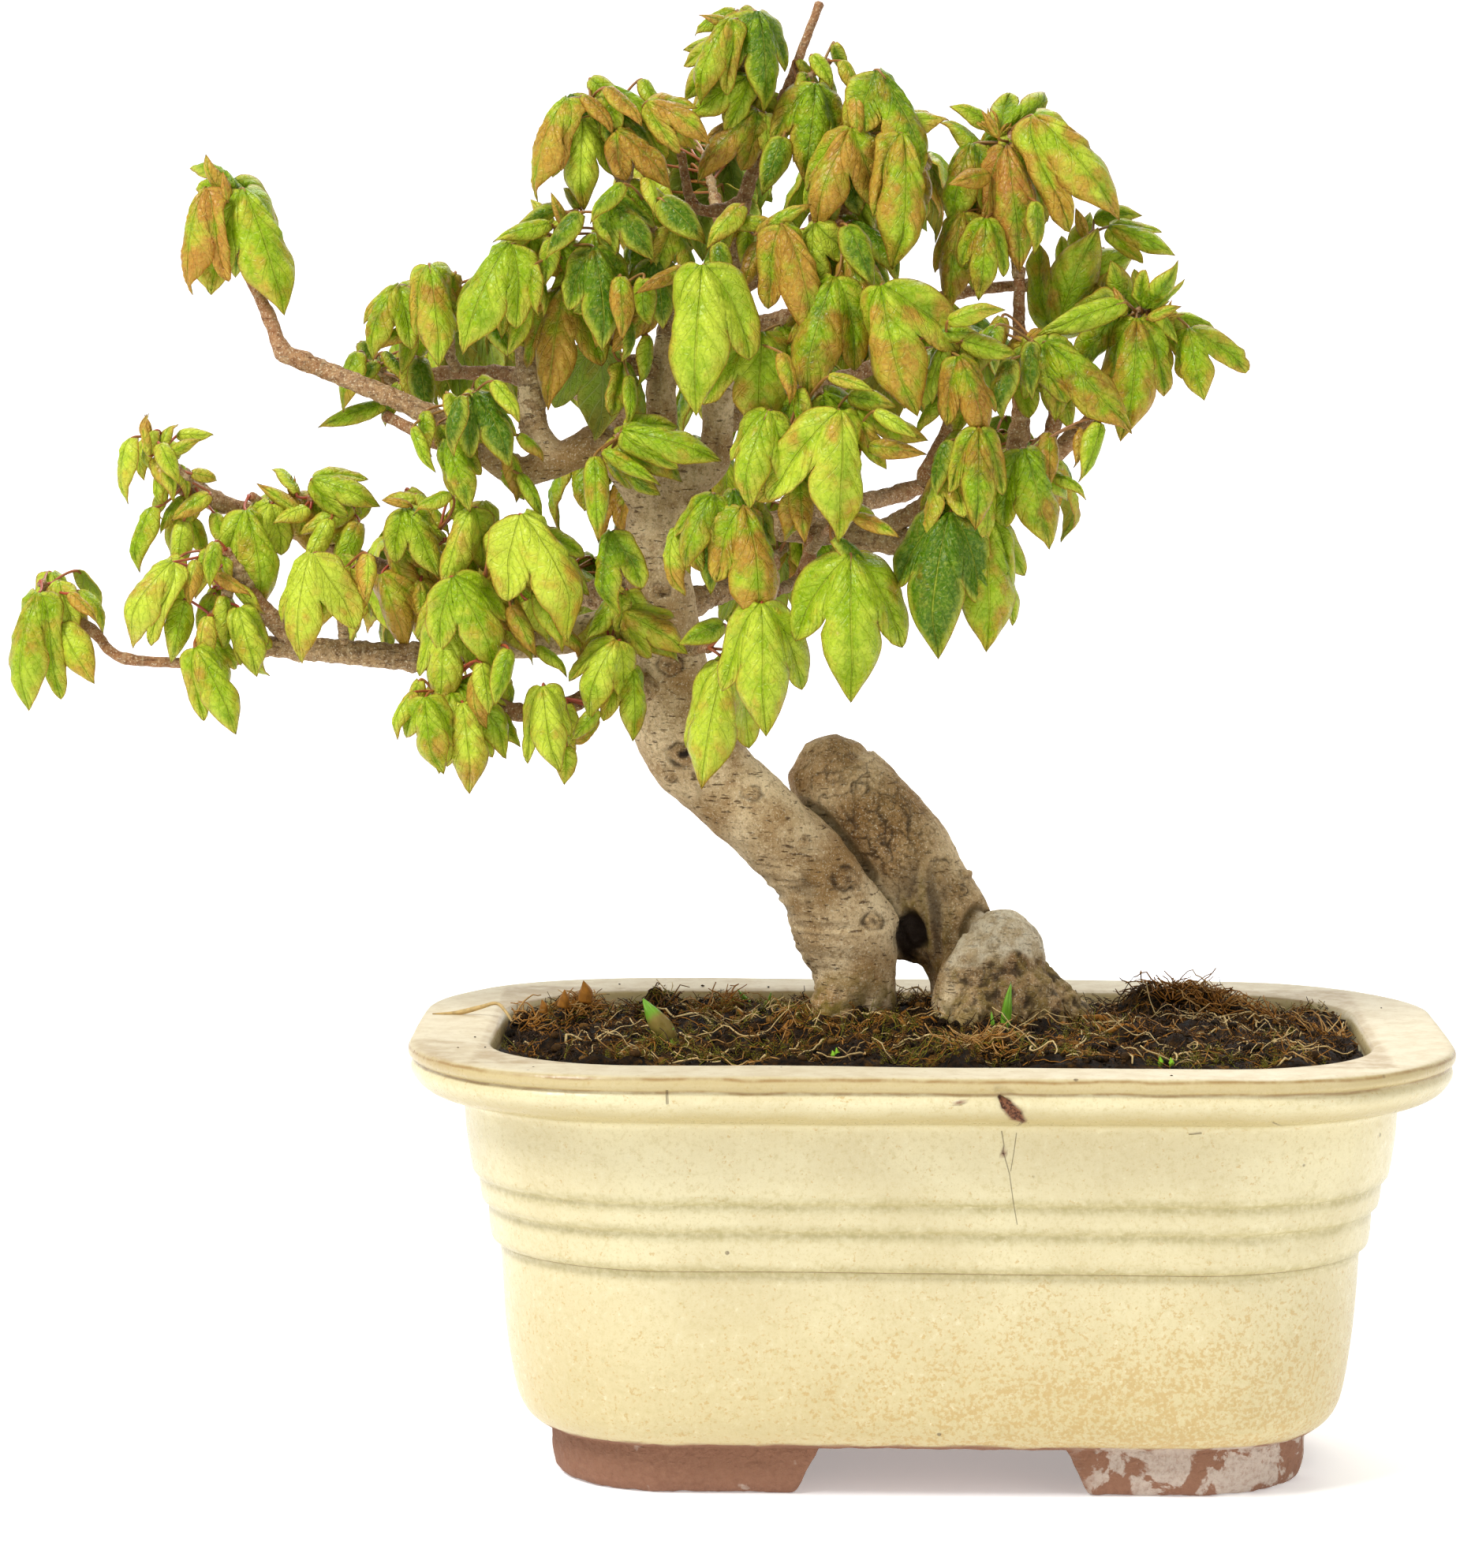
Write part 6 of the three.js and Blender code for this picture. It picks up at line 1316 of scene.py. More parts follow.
# Shoots on the far side: growth backwards, stem and leaf length, pairs of leaves, seeds and tries.
BACK_GROW_Y, BACK_STEM, BACK_LEAF, BACK_PAIRS = 0.75, 14, 19, 3
BACK_SEED, BACK_SEED_STEP, BACK_DRAWS = 71, 13, 12
# Least value of each draw, and how much a draw adds.
BACK_RANGE = {
    "heading": (0.3, 1.3), "size": (0.75, 0.5), "away": (5, 6), "rise": (-1, 7), "out": (0.25, 0.3),
    "hang": (0.75, 0.2), "spread": (0.85, 0.2),
}
GREEN, MIXED = 1, 3
# Leaves between neighbours: how far apart those are, how far behind, most crowding, tries and seed.
FILLER_APART, FILLER_BACK, FILLER_CROWD, FILLER_DRAWS, FILLER_SEED = (2, 26), (1.5, 8), 2.2, 8, 501
FILLER_TINTS, FILLER_LIMIT = (0, 1, 1, 2, 1, 3, 1, 4), 52
BUD_TINT = 4
# Opening buds as they are seen: shoot, then base x, z and tip x, z of each.
BUDS = {
    "low_2": [(-136, 176, -136.5, 182), (-134.5, 176.5, -132, 180)], "low_4": [(-111, 167.5, -111, 171.5)],
    "mid_3": [(-122, 218, -122, 223)], "low_5": [(-98, 157.5, -98, 151)],
    "right_1": [(11, 230, 7, 233), (11, 230, 9.5, 235), (11, 230, 13, 232.5)],
    "right_3": [(33, 199.5, 31, 204), (37, 198, 41, 202), (37, 198, 43, 200)],
    "crown_12": [(-24.5, 180, -24.5, 184)],
}


class Blade:
    """Frame and size of a blade between its base and its tip, folded and rounded along its midvein."""

    def __init__(self, base, tip, turn, spread):
        self.base, self.spread = base, spread
        self.length = np.linalg.norm(tip - base)
        self.along = (tip - base) / self.length
        angle = math.radians(turn)
        out = np.array([math.sin(angle), -math.cos(angle), FACE_UP])
        self.out = unit(out - self.along * out.dot(self.along))
        self.side = unit(np.cross(self.along, self.out))
        usual, at, change, least, most = FOLD
        self.fold = min(max(usual - change * (spread - at), least), most)

    def at(self, a, b, lift=0.0):
        """Places for blade points a along and b across. lift is measured off the folded, arched surface."""
        across = b * self.length * self.spread / math.cos(self.fold)
        soft = ROUNDED * self.length
        high = self.length * ARCH * 4 * a * (1 - a) + lift
        high = high - (np.sqrt(across**2 + soft**2) - soft) * math.sin(self.fold)
        return (self.base + np.multiply.outer(a * self.length, self.along)
                + np.multiply.outer(across * math.cos(self.fold), self.side)
                + np.multiply.outer(high, self.out))


def free_point(stem):
    """Where a stem comes out of the limb that bears it."""
    share = min(STEM_SUNK / np.linalg.norm(stem[1] - stem[0]), 0.85)
    return stem[0] + (stem[1] - stem[0]) * share


def nearest_on(stems, place):
    """The point of the stems that is nearest to a place."""
    best, reach = None, 1e9
    for stem in stems:
        for i in range(len(stem) - 1):
            a = stem[i] if i else free_point(stem)
            b = stem[i + 1]
            t = np.clip((place - a).dot(b - a) / (b - a).dot(b - a), 0, 1)
            at = a + (b - a) * t
            if np.linalg.norm(at - place) < reach:
                best, reach = at, np.linalg.norm(at - place)
    return best


class Marks:
    """Places that stand for the leaves settled so far."""

    def __init__(self):
        self.places, self.reaches, self.outs = np.empty((0, 3)), np.empty(0), np.empty((0, 3))

    def crowding(self, blade):
        if not len(self.places):
            return 0.0
        own = blade.at(MARKS[:, 0], MARKS[:, 1])
        gap = own[:, None] - self.places[None]
        wide = (MARK_WIDTH * blade.length + self.reaches) * CLOSE
        deep = np.sum(gap * self.outs, axis=2)
        far = (np.sum(gap * gap, axis=2) - deep**2) / wide**2 + (deep / LAYER) ** 2
        return float(np.sum(np.clip(1 - far, 0, None)))

    def choose(self, blades, limit=1e9):
        """Settles the least crowded of some blades, each given with what counts against it, and returns it.
        None of them is taken where all are more crowded than the limit."""
        best, least = None, limit
        for blade, against in blades:
            crowd = self.crowding(blade) + against
            if crowd < least:
                best, least = blade, crowd
        if best is not None:
            self.settle(best)
        return best

    def settle(self, blade):
        self.places = np.vstack([self.places, blade.at(MARKS[:, 0], MARKS[:, 1])])
        self.reaches = np.append(self.reaches, np.full(len(MARKS), MARK_WIDTH * blade.length))
        self.outs = np.vstack([self.outs, np.tile(blade.out, (len(MARKS), 1))])


def place_leaf(marks, stems, row):
    """A leaf of the tables, at the depth where it is least crowded."""
    base_x, base_z, tip_x, tip_z, turn, spread, tint = row
    near = nearest_on(stems, seen(base_x, base_z, stems[0][-1][1]))
    facing = math.cos(math.radians(turn))
    length = math.hypot(tip_x - base_x, tip_z - base_z)

    def blades():
        for step in TRIES:
            base_y = near[1] - PETIOLE_REACH * facing + step
            tip_y = base_y - TIP_REACH * length * facing
            blade = Blade(seen(base_x, base_z, base_y), seen(tip_x, tip_z, tip_y), turn, spread)
            yield blade, STAY * abs(step)

    best = marks.choose(blades())
    lobed = length > LOBED_FROM[0] and spread > LOBED_FROM[1]
    return {"root": nearest_on(stems, best.base), "blade": best, "lobed": lobed, "tint": tint}


def forward(x, z):
    """How far a place of the crown stands in front of the plane of the trunk."""
    at_x, at_z, wide, high, reach = CROWN
    return reach * math.exp(-((x - at_x) / wide) ** 2 - ((z - at_z) / high) ** 2)


def hand_shoot(marks, stem_rows, rows):
    """Stems and leaves of a shoot of the tables."""
    stems = [np.array([seen(x, z, y - forward(x, z) if i else y) for i, (x, z, y) in enumerate(stem)])
             for stem in stem_rows]
    for branch in stems[1:]:
        branch[0] = free_point(stems[0])
    return stems, [place_leaf(marks, stems, row) for row in rows]


def draws(seed):
    """Endless numbers from 0 to 1, the same ones for the same seed."""
    state = seed
    while True:
        state = (state * 1664525 + 1013904223) % 2**32
        yield state / 2**32


def back_shoot(marks, index, root, grow):
    """Stem and leaves of a shoot on the far side, grown by rule."""
    numbers = draws(BACK_SEED + BACK_SEED_STEP * index)

    def draw(name):
        return BACK_RANGE[name][0] + BACK_RANGE[name][1] * next(numbers)

    def drawn(start, sign):
        heading = math.atan2(along[0], along[1]) + sign * draw("heading")
        away = np.array([math.sin(heading), math.cos(heading), 0])
        size = BACK_LEAF * draw("size")
        base = start + away * draw("away")
        base[2] += draw("rise")
        tip = base + away * size * draw("out")
        tip[2] -= size * draw("hang")
        turn = math.degrees(math.atan2(away[0], -away[1]))
        return Blade(base, tip, turn, draw("spread")), 0

    root = seen(*root)
    along = unit(np.array([grow[0], BACK_GROW_Y, grow[1]]))
    end = root + along * BACK_STEM
    leaves = []
    for pair in range(BACK_PAIRS):
        for sign in (-1, 1):
            start = root + (end - root) * (0.3 + 0.65 * pair / (BACK_PAIRS - 1))
            best = marks.choose(drawn(start, sign) for _ in range(BACK_DRAWS))
            tint = (MIXED if index % 3 == 1 else GREEN, 0, 3, 1, 4, 2)[(pair * 2 + (sign > 0) + index) % 6]
            leaves.append({"root": start, "blade": best, "lobed": True, "tint": tint})
    return [np.array([root, (root + end) / 2, end])], leaves


# ---------------------------------------------------------------- shape of one leaf
# Curves over a leaf, as shares of its length: along, across.
FREE_EDGE = [(0.45, 0.182), (0.54, 0.214), (0.66, 0.2), (0.78, 0.146), (0.89, 0.076), (0.955, 0.032), (1, 0)]
SHARED = [(0, 0.012), (0.22, 0.11), (0.45, 0.185)]
LOBE_VEIN = [(0, 0.02), (0.14, 0.14), (0.36, 0.27), (0.62, 0.365)]
INNER_EDGE = [(0.45, 0.185), (0.52, 0.222), (0.588, 0.288), (0.62, 0.365)]
OUTER_EDGE = [(0, 0.02), (-0.035, 0.09), (-0.01, 0.2), (0.09, 0.3), (0.25, 0.378), (0.42, 0.416),
              (0.55, 0.405), (0.62, 0.365)]
WHOLE_EDGE = [(0, 0.015), (-0.02, 0.08), (0.07, 0.175), (0.26, 0.238), (0.48, 0.232), (0.7, 0.16),
              (0.87, 0.07), (1, 0)]
LOBE_TIP = LOBE_VEIN[-1]
SINUS = 0.42                             # place on the midvein that faces the cut between two lobes
SHELL = 0.15                             # half thickness of a blade
LARGE_FROM = 15                          # length from which a blade has the finer pattern
PETIOLE_SIDES, STEM_SIDES = 7, 10


def sampled(stations_2d, count):
    """count + 1 points at even spacing along a smooth curve."""
    line = through(stations_2d, 12)
    way = np.concatenate([[0], np.cumsum(np.linalg.norm(np.diff(line, axis=0), axis=1))])
    at = np.linspace(0, way[-1], count + 1)
    return np.stack([np.interp(at, way, line[:, k]) for k in range(2)], 1)


class Pattern:
    """A flat leaf cut into strips between veins and edges, with what each point needs to be shaped."""

    def __init__(self, lobed, before, after, wide):
        rows = before + after
        mid = np.zeros((rows + 1, 2))
        if lobed:
            low, high = np.linspace(0, SINUS, before + 1), np.linspace(SINUS, 1, after + 1)
            mid[:, 0] = np.concatenate([low[:-1], high])
            edge = np.vstack([sampled(SHARED, before)[:-1], sampled(FREE_EDGE, after)])
            vein = sampled(LOBE_VEIN, rows)
            inner = np.vstack([sampled(SHARED, before)[:-1], sampled(INNER_EDGE, after)])
            outer = sampled(OUTER_EDGE, rows)
            strips = [(mid, edge, before, 0), (vein, inner, before, 1), (vein, outer, 0, 1)]
        else:
            mid[:, 0] = np.linspace(0, 1, rows + 1)
            strips = [(mid, sampled(WHOLE_EDGE, rows), 0, 0)]
        points, values, quads = [], [], []
        start = 0
        for sign in (1, -1):
            for first, second, joined_rows, lobe in strips:
                share = np.linspace(0, 1, wide + 1) ** 0.85
                net = first[:, None] + (second - first)[:, None] * share[None, :, None]
                free = np.arange(rows + 1) >= joined_rows if joined_rows else np.ones(rows + 1, bool)
                along = np.linspace(0, 1, rows + 1)
                across = np.broadcast_to(share, net.shape[:2])
                gap = np.linalg.norm(second - first, axis=1)[:, None] * (1 - share)
                gap = np.where(free[:, None], gap, 0.12 + gap)
                fullness = np.where(free[:, None], 0.8, 0.5)
                lobe_share = np.full(net.shape[:2], float(lobe)) * np.minimum(along * 1.6, 1)[:, None]
                flat = net.reshape(-1, 2) * [1, sign]
                points.append(flat)
                values.append(np.stack([np.broadcast_to(along[:, None], net.shape[:2]), across, gap,
                                        np.broadcast_to(fullness, net.shape[:2]), lobe_share],
                                       -1).reshape(-1, 5))
                faces = grid_faces(rows + 1, wide + 1, closed=False)
                one, two = (flat[faces[:, k]] - flat[faces[:, 0]] for k in (1, 2))
                turning = np.sum(one[:, 0] * two[:, 1] - one[:, 1] * two[:, 0])
                quads.append((faces if turning > 0 else faces[:, ::-1]) + start)
                start += len(flat)
        points, values, quads = np.vstack(points), np.vstack(values), np.vstack(quads)
        _, index, back = np.unique(np.round(points * 4000).astype(int), axis=0, return_index=True,
                                   return_inverse=True)
        back = back.ravel()
        self.a, self.b = points[index].T
        self.along, self.across, self.gap, self.full, self.lobe = values[index].T
        quads = back[quads]
        triangles = np.vstack([quads[:, [0, 1, 2]], quads[:, [0, 2, 3]]])
        real = ((triangles[:, 0] != triangles[:, 1]) & (triangles[:, 1] != triangles[:, 2])
                & (triangles[:, 2] != triangles[:, 0]))
        self.faces = triangles[real]
        edges = np.vstack([self.faces[:, [0, 1]], self.faces[:, [1, 2]], self.faces[:, [2, 0]]])
        key = set(map(tuple, edges.tolist()))
        self.rim = np.array([edge for edge in edges.tolist() if (edge[1], edge[0]) not in key])


PATTERNS = {
    ("lobed", "large"): Pattern(True, 9, 13, 5), ("lobed", "small"): Pattern(True, 7, 9, 4),
    ("whole", "large"): Pattern(False, 8, 10, 5), ("whole", "small"): Pattern(False, 5, 7, 4),
}
# Share of bronze, of light, of pink for each tint of the tables.
TINTS = [(0.18, -0.16, 0), (0.36, 0.26, 0), (0.34, 0.55, 0),
         (0.58, 0.42, 0.2), (0.8, 0.36, 0.35), (0.85, 0.5, 0.9)]
PUFF, PUCKER = 0.055, 0.015              # swelling between veins and ripples of side veins, per length
FOLD_MORE = 0.22                         # further fold along the midvein


def fan_tip(blade, place):
    """Blade point, as a and b, that is seen at a table place."""
    away = seen(place[0], place[1], blade.base[1] - 2) - blade.base
    across = away.dot(blade.side) / (blade.length * blade.spread)
    return away.dot(blade.along) / blade.length, across


def add_blade(build, blade, lobed, tint, seed, second=None, curl=0.2, fresh=0.0):
    """A closed, puckered blade. second is the table place where one side lobe's tip is seen; the other
    side lobe is then folded away behind it. curl bends the tip back and fresh makes the green lighter."""
    size = "large" if blade.length > LARGE_FROM else "small"
    p = PATTERNS["lobed" if lobed else "whole", size]
    chance = [float(hashed(np.array([seed, k, 17]), 3)) for k in range(12)]
    length = blade.length
    a, b = p.a.copy(), p.b.copy()
    lobe = p.lobe * smooth(0.02, 0.4, np.abs(b)) if lobed else np.zeros(len(a))
    droop = np.zeros(len(a))
    aim = fan_tip(blade, second) if second and lobed else None
    for sign in (1, -1):
        own = (np.sign(p.b) == sign) * lobe
        shift_a = 0.14 * (chance[0 if sign > 0 else 1] - 0.5)
        shift_b = sign * 0.1 * (chance[2 if sign > 0 else 3] - 0.6)
        if aim and np.sign(aim[1]) == sign:
            shift_a = np.clip(aim[0] - LOBE_TIP[0], -0.2, 0.28)
            shift_b = np.clip(aim[1] - sign * LOBE_TIP[1], -0.22, 0.22)
        elif aim:
            shift_b = -sign * 0.14
            droop = droop + own * 0.22
        a = a + own * shift_a
        b = b + own * shift_b
        droop = droop + own * (0.04 + 0.1 * chance[8 if sign > 0 else 10])
    tip = smooth(0.55, 1.0, p.a)
    b = b + 0.12 * (chance[4] - 0.5) * p.a**2 + 0.13 * (chance[11] - 0.5) * tip**2
    wave = grain(np.stack([a * 6 + seed, b * 6, np.zeros(len(a))], 1), 1, seed % 97, 2)
    b = b * (1 + 0.07 * wave * smooth(0.2, 0.0, p.gap))
    swell = np.sin(np.pi * np.clip(p.across, 0, 1) * p.full)
    swell = swell * smooth(-0.05, 0.12, p.a) * smooth(1.02, 0.8, p.along)
    slant = p.along - VEIN_SLANT * p.across
    ripple = np.cos(2 * np.pi * slant * VEIN_PAIRS) * p.across * (1.15 - p.across) * 4
    ripple = ripple * smooth(0.05, 0.25, p.along)
    field = np.stack([a * 2.3 + 5 * chance[6], b * 2.3 + 9 * chance[7], np.full(len(a), seed * 0.37)], 1)
    quilt = grain(field * 3.2, 1, 11, 2)
    lift = length * (PUFF * (0.7 + 0.6 * chance[5]) * swell - PUCKER * ripple * (0.6 + 0.5 * quilt))
    lift = lift + length * (0.035 * grain(field, 1, 7) + 0.012 * quilt * smooth(0, 0.2, p.across))
    lift = lift + length * 0.022 * wave * smooth(0.18, 0.0, p.gap)
    lift = lift - length * (droop + curl * smooth(0.6, 1.0, p.a) ** 1.5 * (chance[9] - 0.12))
    lift = lift - length * 0.05 * smooth(0.1, -0.03, p.a) * smooth(0.02, 0.15, np.abs(p.b))
    lift = lift - length * FOLD_MORE * (0.5 + chance[6]) * np.sqrt(b**2 + 0.0009) * smooth(0.05, 0.3, p.a)
    middle = blade.at(a, b, lift)
    corner = middle[p.faces]
    flat = np.cross(corner[:, 1] - corner[:, 0], corner[:, 2] - corner[:, 0])
    normals = np.zeros_like(middle)
    for k in range(3):
        np.add.at(normals, p.faces[:, k], flat)
    faces, rim = p.faces, p.rim
    if np.sum(flat.dot(blade.out)) < 0:
        normals, faces, rim = -normals, faces[:, ::-1], rim[:, ::-1]
    normals = unit(normals)
    thick = SHELL * (0.45 + 0.55 * smooth(0.0, 0.1, p.gap))[:, None]
    count = len(middle)
    points = np.vstack([middle + normals * thick, middle - normals * thick])
    walls = np.stack([rim[:, 0], rim[:, 0] + count, rim[:, 1] + count, rim[:, 1]], 1)
    bronze, light, pink = TINTS[tint]
    patch = 0.3 * grain(np.stack([a * 3, b * 3, np.full(len(a), seed * 1.7)], 1), 1, 5, 3)
    bronze = bronze + patch + 0.2 * (swell - 0.5) + 0.22 * (p.a - 0.45) + 0.24 * (chance[1] - 0.5)
    light = light + fresh + 0.45 * (chance[3] - 0.5) + 0.25 * (swell - 0.5) + 0.14 * quilt
    build.add(points, [faces, faces[:, ::-1] + count, walls], 0,
              along=np.tile(p.along, 2), across=np.tile(p.across * np.sign(p.b + 1e-9), 2),
              margin=np.tile(p.gap * length, 2), back=np.repeat([0.0, 1.0], count),
              bronze=np.tile(np.clip(bronze, 0, 1.3), 2), light=np.tile(light, 2), pink=pink)


def add_petiole(build, root, blade, red):
    """A thin stalk that reaches the blade from behind, under the rounded top of the blade."""
    into = unit(0.45 * blade.along + blade.out)
    span = np.linalg.norm(root - blade.base)
    control = blade.base - into * PETIOLE_BEND * span
    t = np.linspace(0, 1, 11)[:, None]
    line = (1 - t) ** 2 * root + 2 * t * (1 - t) * control + t**2 * (blade.base - 0.25 * blade.out)
    end = blade.at(np.array([0.1]), np.array([0.0]))[0] - 0.2 * blade.out
    line = np.vstack([line, end[None]])
    radii = PETIOLE_FINE * (1.0 - 0.2 * np.sin(np.pi * np.linspace(0, 1, 12)))
    radii[0] *= 1.5
    radii[-1] *= 0.4
    build.add(*tube(line, radii, PETIOLE_SIDES), 1, red=red)


def add_stems(build, stems, seed):
    """Shoots of this year's and last year's wood, with ring scars and swollen nodes."""
    for stem in stems:
        spans = np.linalg.norm(np.diff(stem, axis=0), axis=1)
        radii = np.array(STEM_FINE[:len(stem)])
        line = through(np.column_stack([stem, radii]), np.maximum(np.ceil(spans / 0.35), 2).astype(int))
        share = np.linspace(0, 1, len(line))
        along = share * spans.sum()
        node = np.exp(-(((share - 0.5) / 0.05) ** 2)) + np.exp(-(((share - 0.96) / 0.05) ** 2))
        ring = np.exp(-(((along % 1.9) - 0.9) / 0.25) ** 2)
        line[:, :3] += 0.2 * np.stack([grain(line[:, :3], 4, seed + k) for k in range(3)], 1)
        points, faces = tube(line[:, :3], line[:, 3] * (1 + 0.35 * node + 0.12 * ring), STEM_SIDES)
        build.add(points, faces, 2, twig=0.9, ring=0.5 * along_tube(ring, STEM_SIDES, 0, 0),
                  young=along_tube(smooth(0.5, 1.0, share), STEM_SIDES, 0))


def fillers(marks, leaves, seed):
    """More leaves, half hidden behind those that are seen apart, each between two neighbours."""
    numbers = draws(seed)

    def about(low, high):
        return low + (high - low) * next(numbers)

    def between(one, two):
        for _ in range(FILLER_DRAWS):
            share = about(0.25, 0.75)
            beside = [about(-2, 2), about(*FILLER_BACK), about(-1, 2.5)]
            base = one.base + (two.base - one.base) * share + beside
            swerve = [about(-0.4, 0.4), about(-0.2, 0.4), 0]
            along = unit(one.along + (two.along - one.along) * share + swerve)
            length = (one.length + two.length) / 2 * about(0.7, 1)
            out = one.out + (two.out - one.out) * share
            turn = math.degrees(math.atan2(out[0], -out[1])) + about(-45, 45)
            blade = Blade(base, base + along * length, turn, about(0.75, 1))
            if max(base[1], base[1] + along[1] * length) < FILLER_LIMIT:
                yield blade, 0

    added = []
    pairs = [*zip(leaves, leaves[1:]), *zip(leaves, leaves[2:]), *zip(leaves, leaves[3:])]
    for first, second in pairs:
        one, two = first["blade"], second["blade"]
        if not FILLER_APART[0] < np.linalg.norm(one.base - two.base) < FILLER_APART[1]:
            continue
        best = marks.choose(between(one, two), FILLER_CROWD)
        if best is None:
            continue
        added.append({"root": (first["root"] + second["root"]) / 2, "blade": best, "lobed": best.length > 10,
                      "tint": FILLER_TINTS[int(next(numbers) * len(FILLER_TINTS))]})
    return added


def add_buds(build, stems, places):
    """Bronze spikes of opening buds, each seen from its base to its tip."""
    for base_x, base_z, tip_x, tip_z in places:
        near = nearest_on(stems, seen(base_x, base_z, stems[0][-1][1]))
        root, tip = seen(base_x, base_z, near[1]), seen(tip_x, tip_z, near[1] - 0.5)
        for sign in (-1, 1):
            blade = Blade(root, tip + [0.35 * sign, 0.3 * sign, 0], 40 * sign, 0.36)
            add_blade(build, blade, False, BUD_TINT, int(abs(tip_x) * 9 + sign))


def shoot_piece(name, node, stems, leaves, red, slot, materials):
    """One shoot as a piece: stems, petioles, blades and buds."""
    build = Build()
    add_stems(build, stems, len(name) * 7)
    low = name.startswith("leaves_low")
    for number, leaf in enumerate(leaves):
        blade = leaf["blade"]
        seed = int(abs(blade.base[0]) * 71 + abs(blade.base[2]) * 13 + number)
        add_petiole(build, leaf["root"], blade, red * (0.6 + 0.6 * float(hashed(np.array([seed, 1, 1]), 2))))
        add_blade(build, blade, leaf["lobed"], leaf["tint"], seed, LOBE_TIPS.get((name[7:], number)),
                  0.34 if low else 0.2, 0.4 if low else 0.05)
    add_buds(build, stems, BUDS.get(name[7:], []))
    return piece(name, build.mesh(name), materials, slot, node)


def slot_for(tint):
    """Paint slot of a shoot whose first leaf has that tint."""
    return ("leaf_green", "leaf_green", "leaf_light", "leaf_bronze", "leaf_bronze", "leaf_bronze")[tint]


def make_shoots():
    materials = [leaf_material(), stem_material(), bark_material("shoot_bark")]
    marks = Marks()
    grown = []
    for name, stem_rows, rows in SHOOTS:
        red = 1.0 if name.startswith("low") else 0.45
        grown.append((name, *hand_shoot(marks, stem_rows, rows), red, slot_for(rows[0][6])))
    for index, (name, root, grow) in enumerate(BACK_SHOOTS):
        tint = MIXED if index % 3 == 1 else GREEN
        grown.append((name, *back_shoot(marks, index, root, grow), 0.7, slot_for(tint)))
    for index, (name, stems, leaves, red, slot) in enumerate(grown):
        leaves = leaves + fillers(marks, leaves, FILLER_SEED + index)
        shoot_piece(f"leaves_{name}", f"shoot_{name}", stems, leaves, red, slot, materials)

# ---------------------------------------------------------------- soil
SOIL_LEVEL = 73.6
MOUND = (3.2, 4, 48, 32, 1.2)            # rise, middle y, half length, half width, and rise to the front
ROUGH = ((0.55, 0.42, 0.17), (0.35, 0.83, -0.6))    # waves: height, radians per mm along x and y
SOIL_GAP, SUNKEN = 0.4, 2.3              # gap to the pot, and how far the back edge has sunk
OPENING = (74.6, 26)                     # half length and corner radius of the pot's opening
SOIL_WALL = [(14.35, 66, 24), (30, 69, 25), (62, *OPENING)]
SCATTER = (74, 42)                       # half length and half width of the field of random places
FULL_TURN = 6.3                          # a random heading is a share of this
CRUMB_COUNT, ROOTLET_COUNT, MOSS_COUNT = 3200, 300, 2600
STRAW_COUNT, FIBRE_COUNT, RIM_CRUMBS = 50, 5200, 14
# Lumps that stand out of the soil as they are seen: x, z, depth y, half width, height.
LUMPS = [(-47.5, 80.5, 14, 4.4, 4.4), (-61, 80, 14, 5, 4), (-69, 77, 4, 5, 2.4), (-54, 79, 8, 5, 2.4),
         (46, 81, 24, 6.5, 6), (37, 80, 23, 4, 4), (56, 78.5, 20, 5, 2.6), (24, 79, 20, 5, 2.4),
         (-28, 78, 2, 5, 1.6), (67, 76, 6, 4, 2), (9, 72, -29, 5, 1.8)]
# Tufts of loose fibre: x, z, depth y, reach, number of strands, tone.
TUFTS = [(44, 82, 25, 6.5, 150, 0.3), (38, 83, 26, 3, 24, 0.15), (50, 80, 22, 6, 70, 0.55),
         (-61, 80, 12, 5, 60, 0.55), (-48, 81, 13, 4, 60, 0.05), (60, 78, 16, 5, 36, 0.5),
         (-37, 80, 18, 4, 24, 0.4), (70, 76, 4, 4, 40, 0.6), (-70, 77, 2, 4, 40, 0.5),
         (9, 72, -29, 5.5, 90, 0.6)]
# Orange-brown bud sheaths that stand in the soil: x, z of the foot and of the tip, depth y, radius.
SHEATHS = [(-60.2, 79.6, -60.5, 83.4, 12, 1.5), (-64.2, 78.6, -63.8, 81.8, 8, 1.1),
           (-67.6, 77.6, -67.8, 80, 6, 0.9), (10.6, 71.4, 10.2, 75, -26, 0.5)]
# A dry fibre that hangs over the left rim: x, z and depth y of its points.
DRY_FIBRE = [(-87, 77.35, 9), (-82.5, 77.6, 9), (-78.5, 78.6, 8), (-75.8, 79.3, 7), (-74.3, 78, 5),
             (-73, 76, 3)]
# Tiny green leaves at the front: x, z, depth y, height.
SPRIGS = [(4.3, 71.6, -28, 1.8), (-16.2, 69.6, -34, 2.2), (-16.9, 69.6, -34, 1.7), (40.3, 68.4, -38, 2.3),
          (42.2, 68.4, -38, 2)]
# Roots that leave the foot of the trunks: x, y, heading.
FOOT_ROOTS = [(-20, 4, 3.4), (-22, 6, 2.9), (-5, -3, 4.4), (14, -2, 5.0), (25, 5, 0.2), (22, 1, 5.7),
              (2, -3, 4.0), (-16, -1, 3.9)]


def soil_height(x, y):
    """Height of the plain mound of the CAD."""
    rise, at_y, half_x, half_y, front = MOUND
    high = SOIL_LEVEL + rise * np.exp(-((x / half_x) ** 2) - ((y - at_y) / half_y) ** 2)
    high = high + np.maximum(0, -y / half_y) * front
    for tall, along_x, along_y in ROUGH:
        high = high + tall * np.sin(x * along_x + y * along_y)
    return high


def back_edge(y):
    """0 in the middle of the soil, 1 along its back edge, where it has sunk."""
    return smooth(27, 36, y)


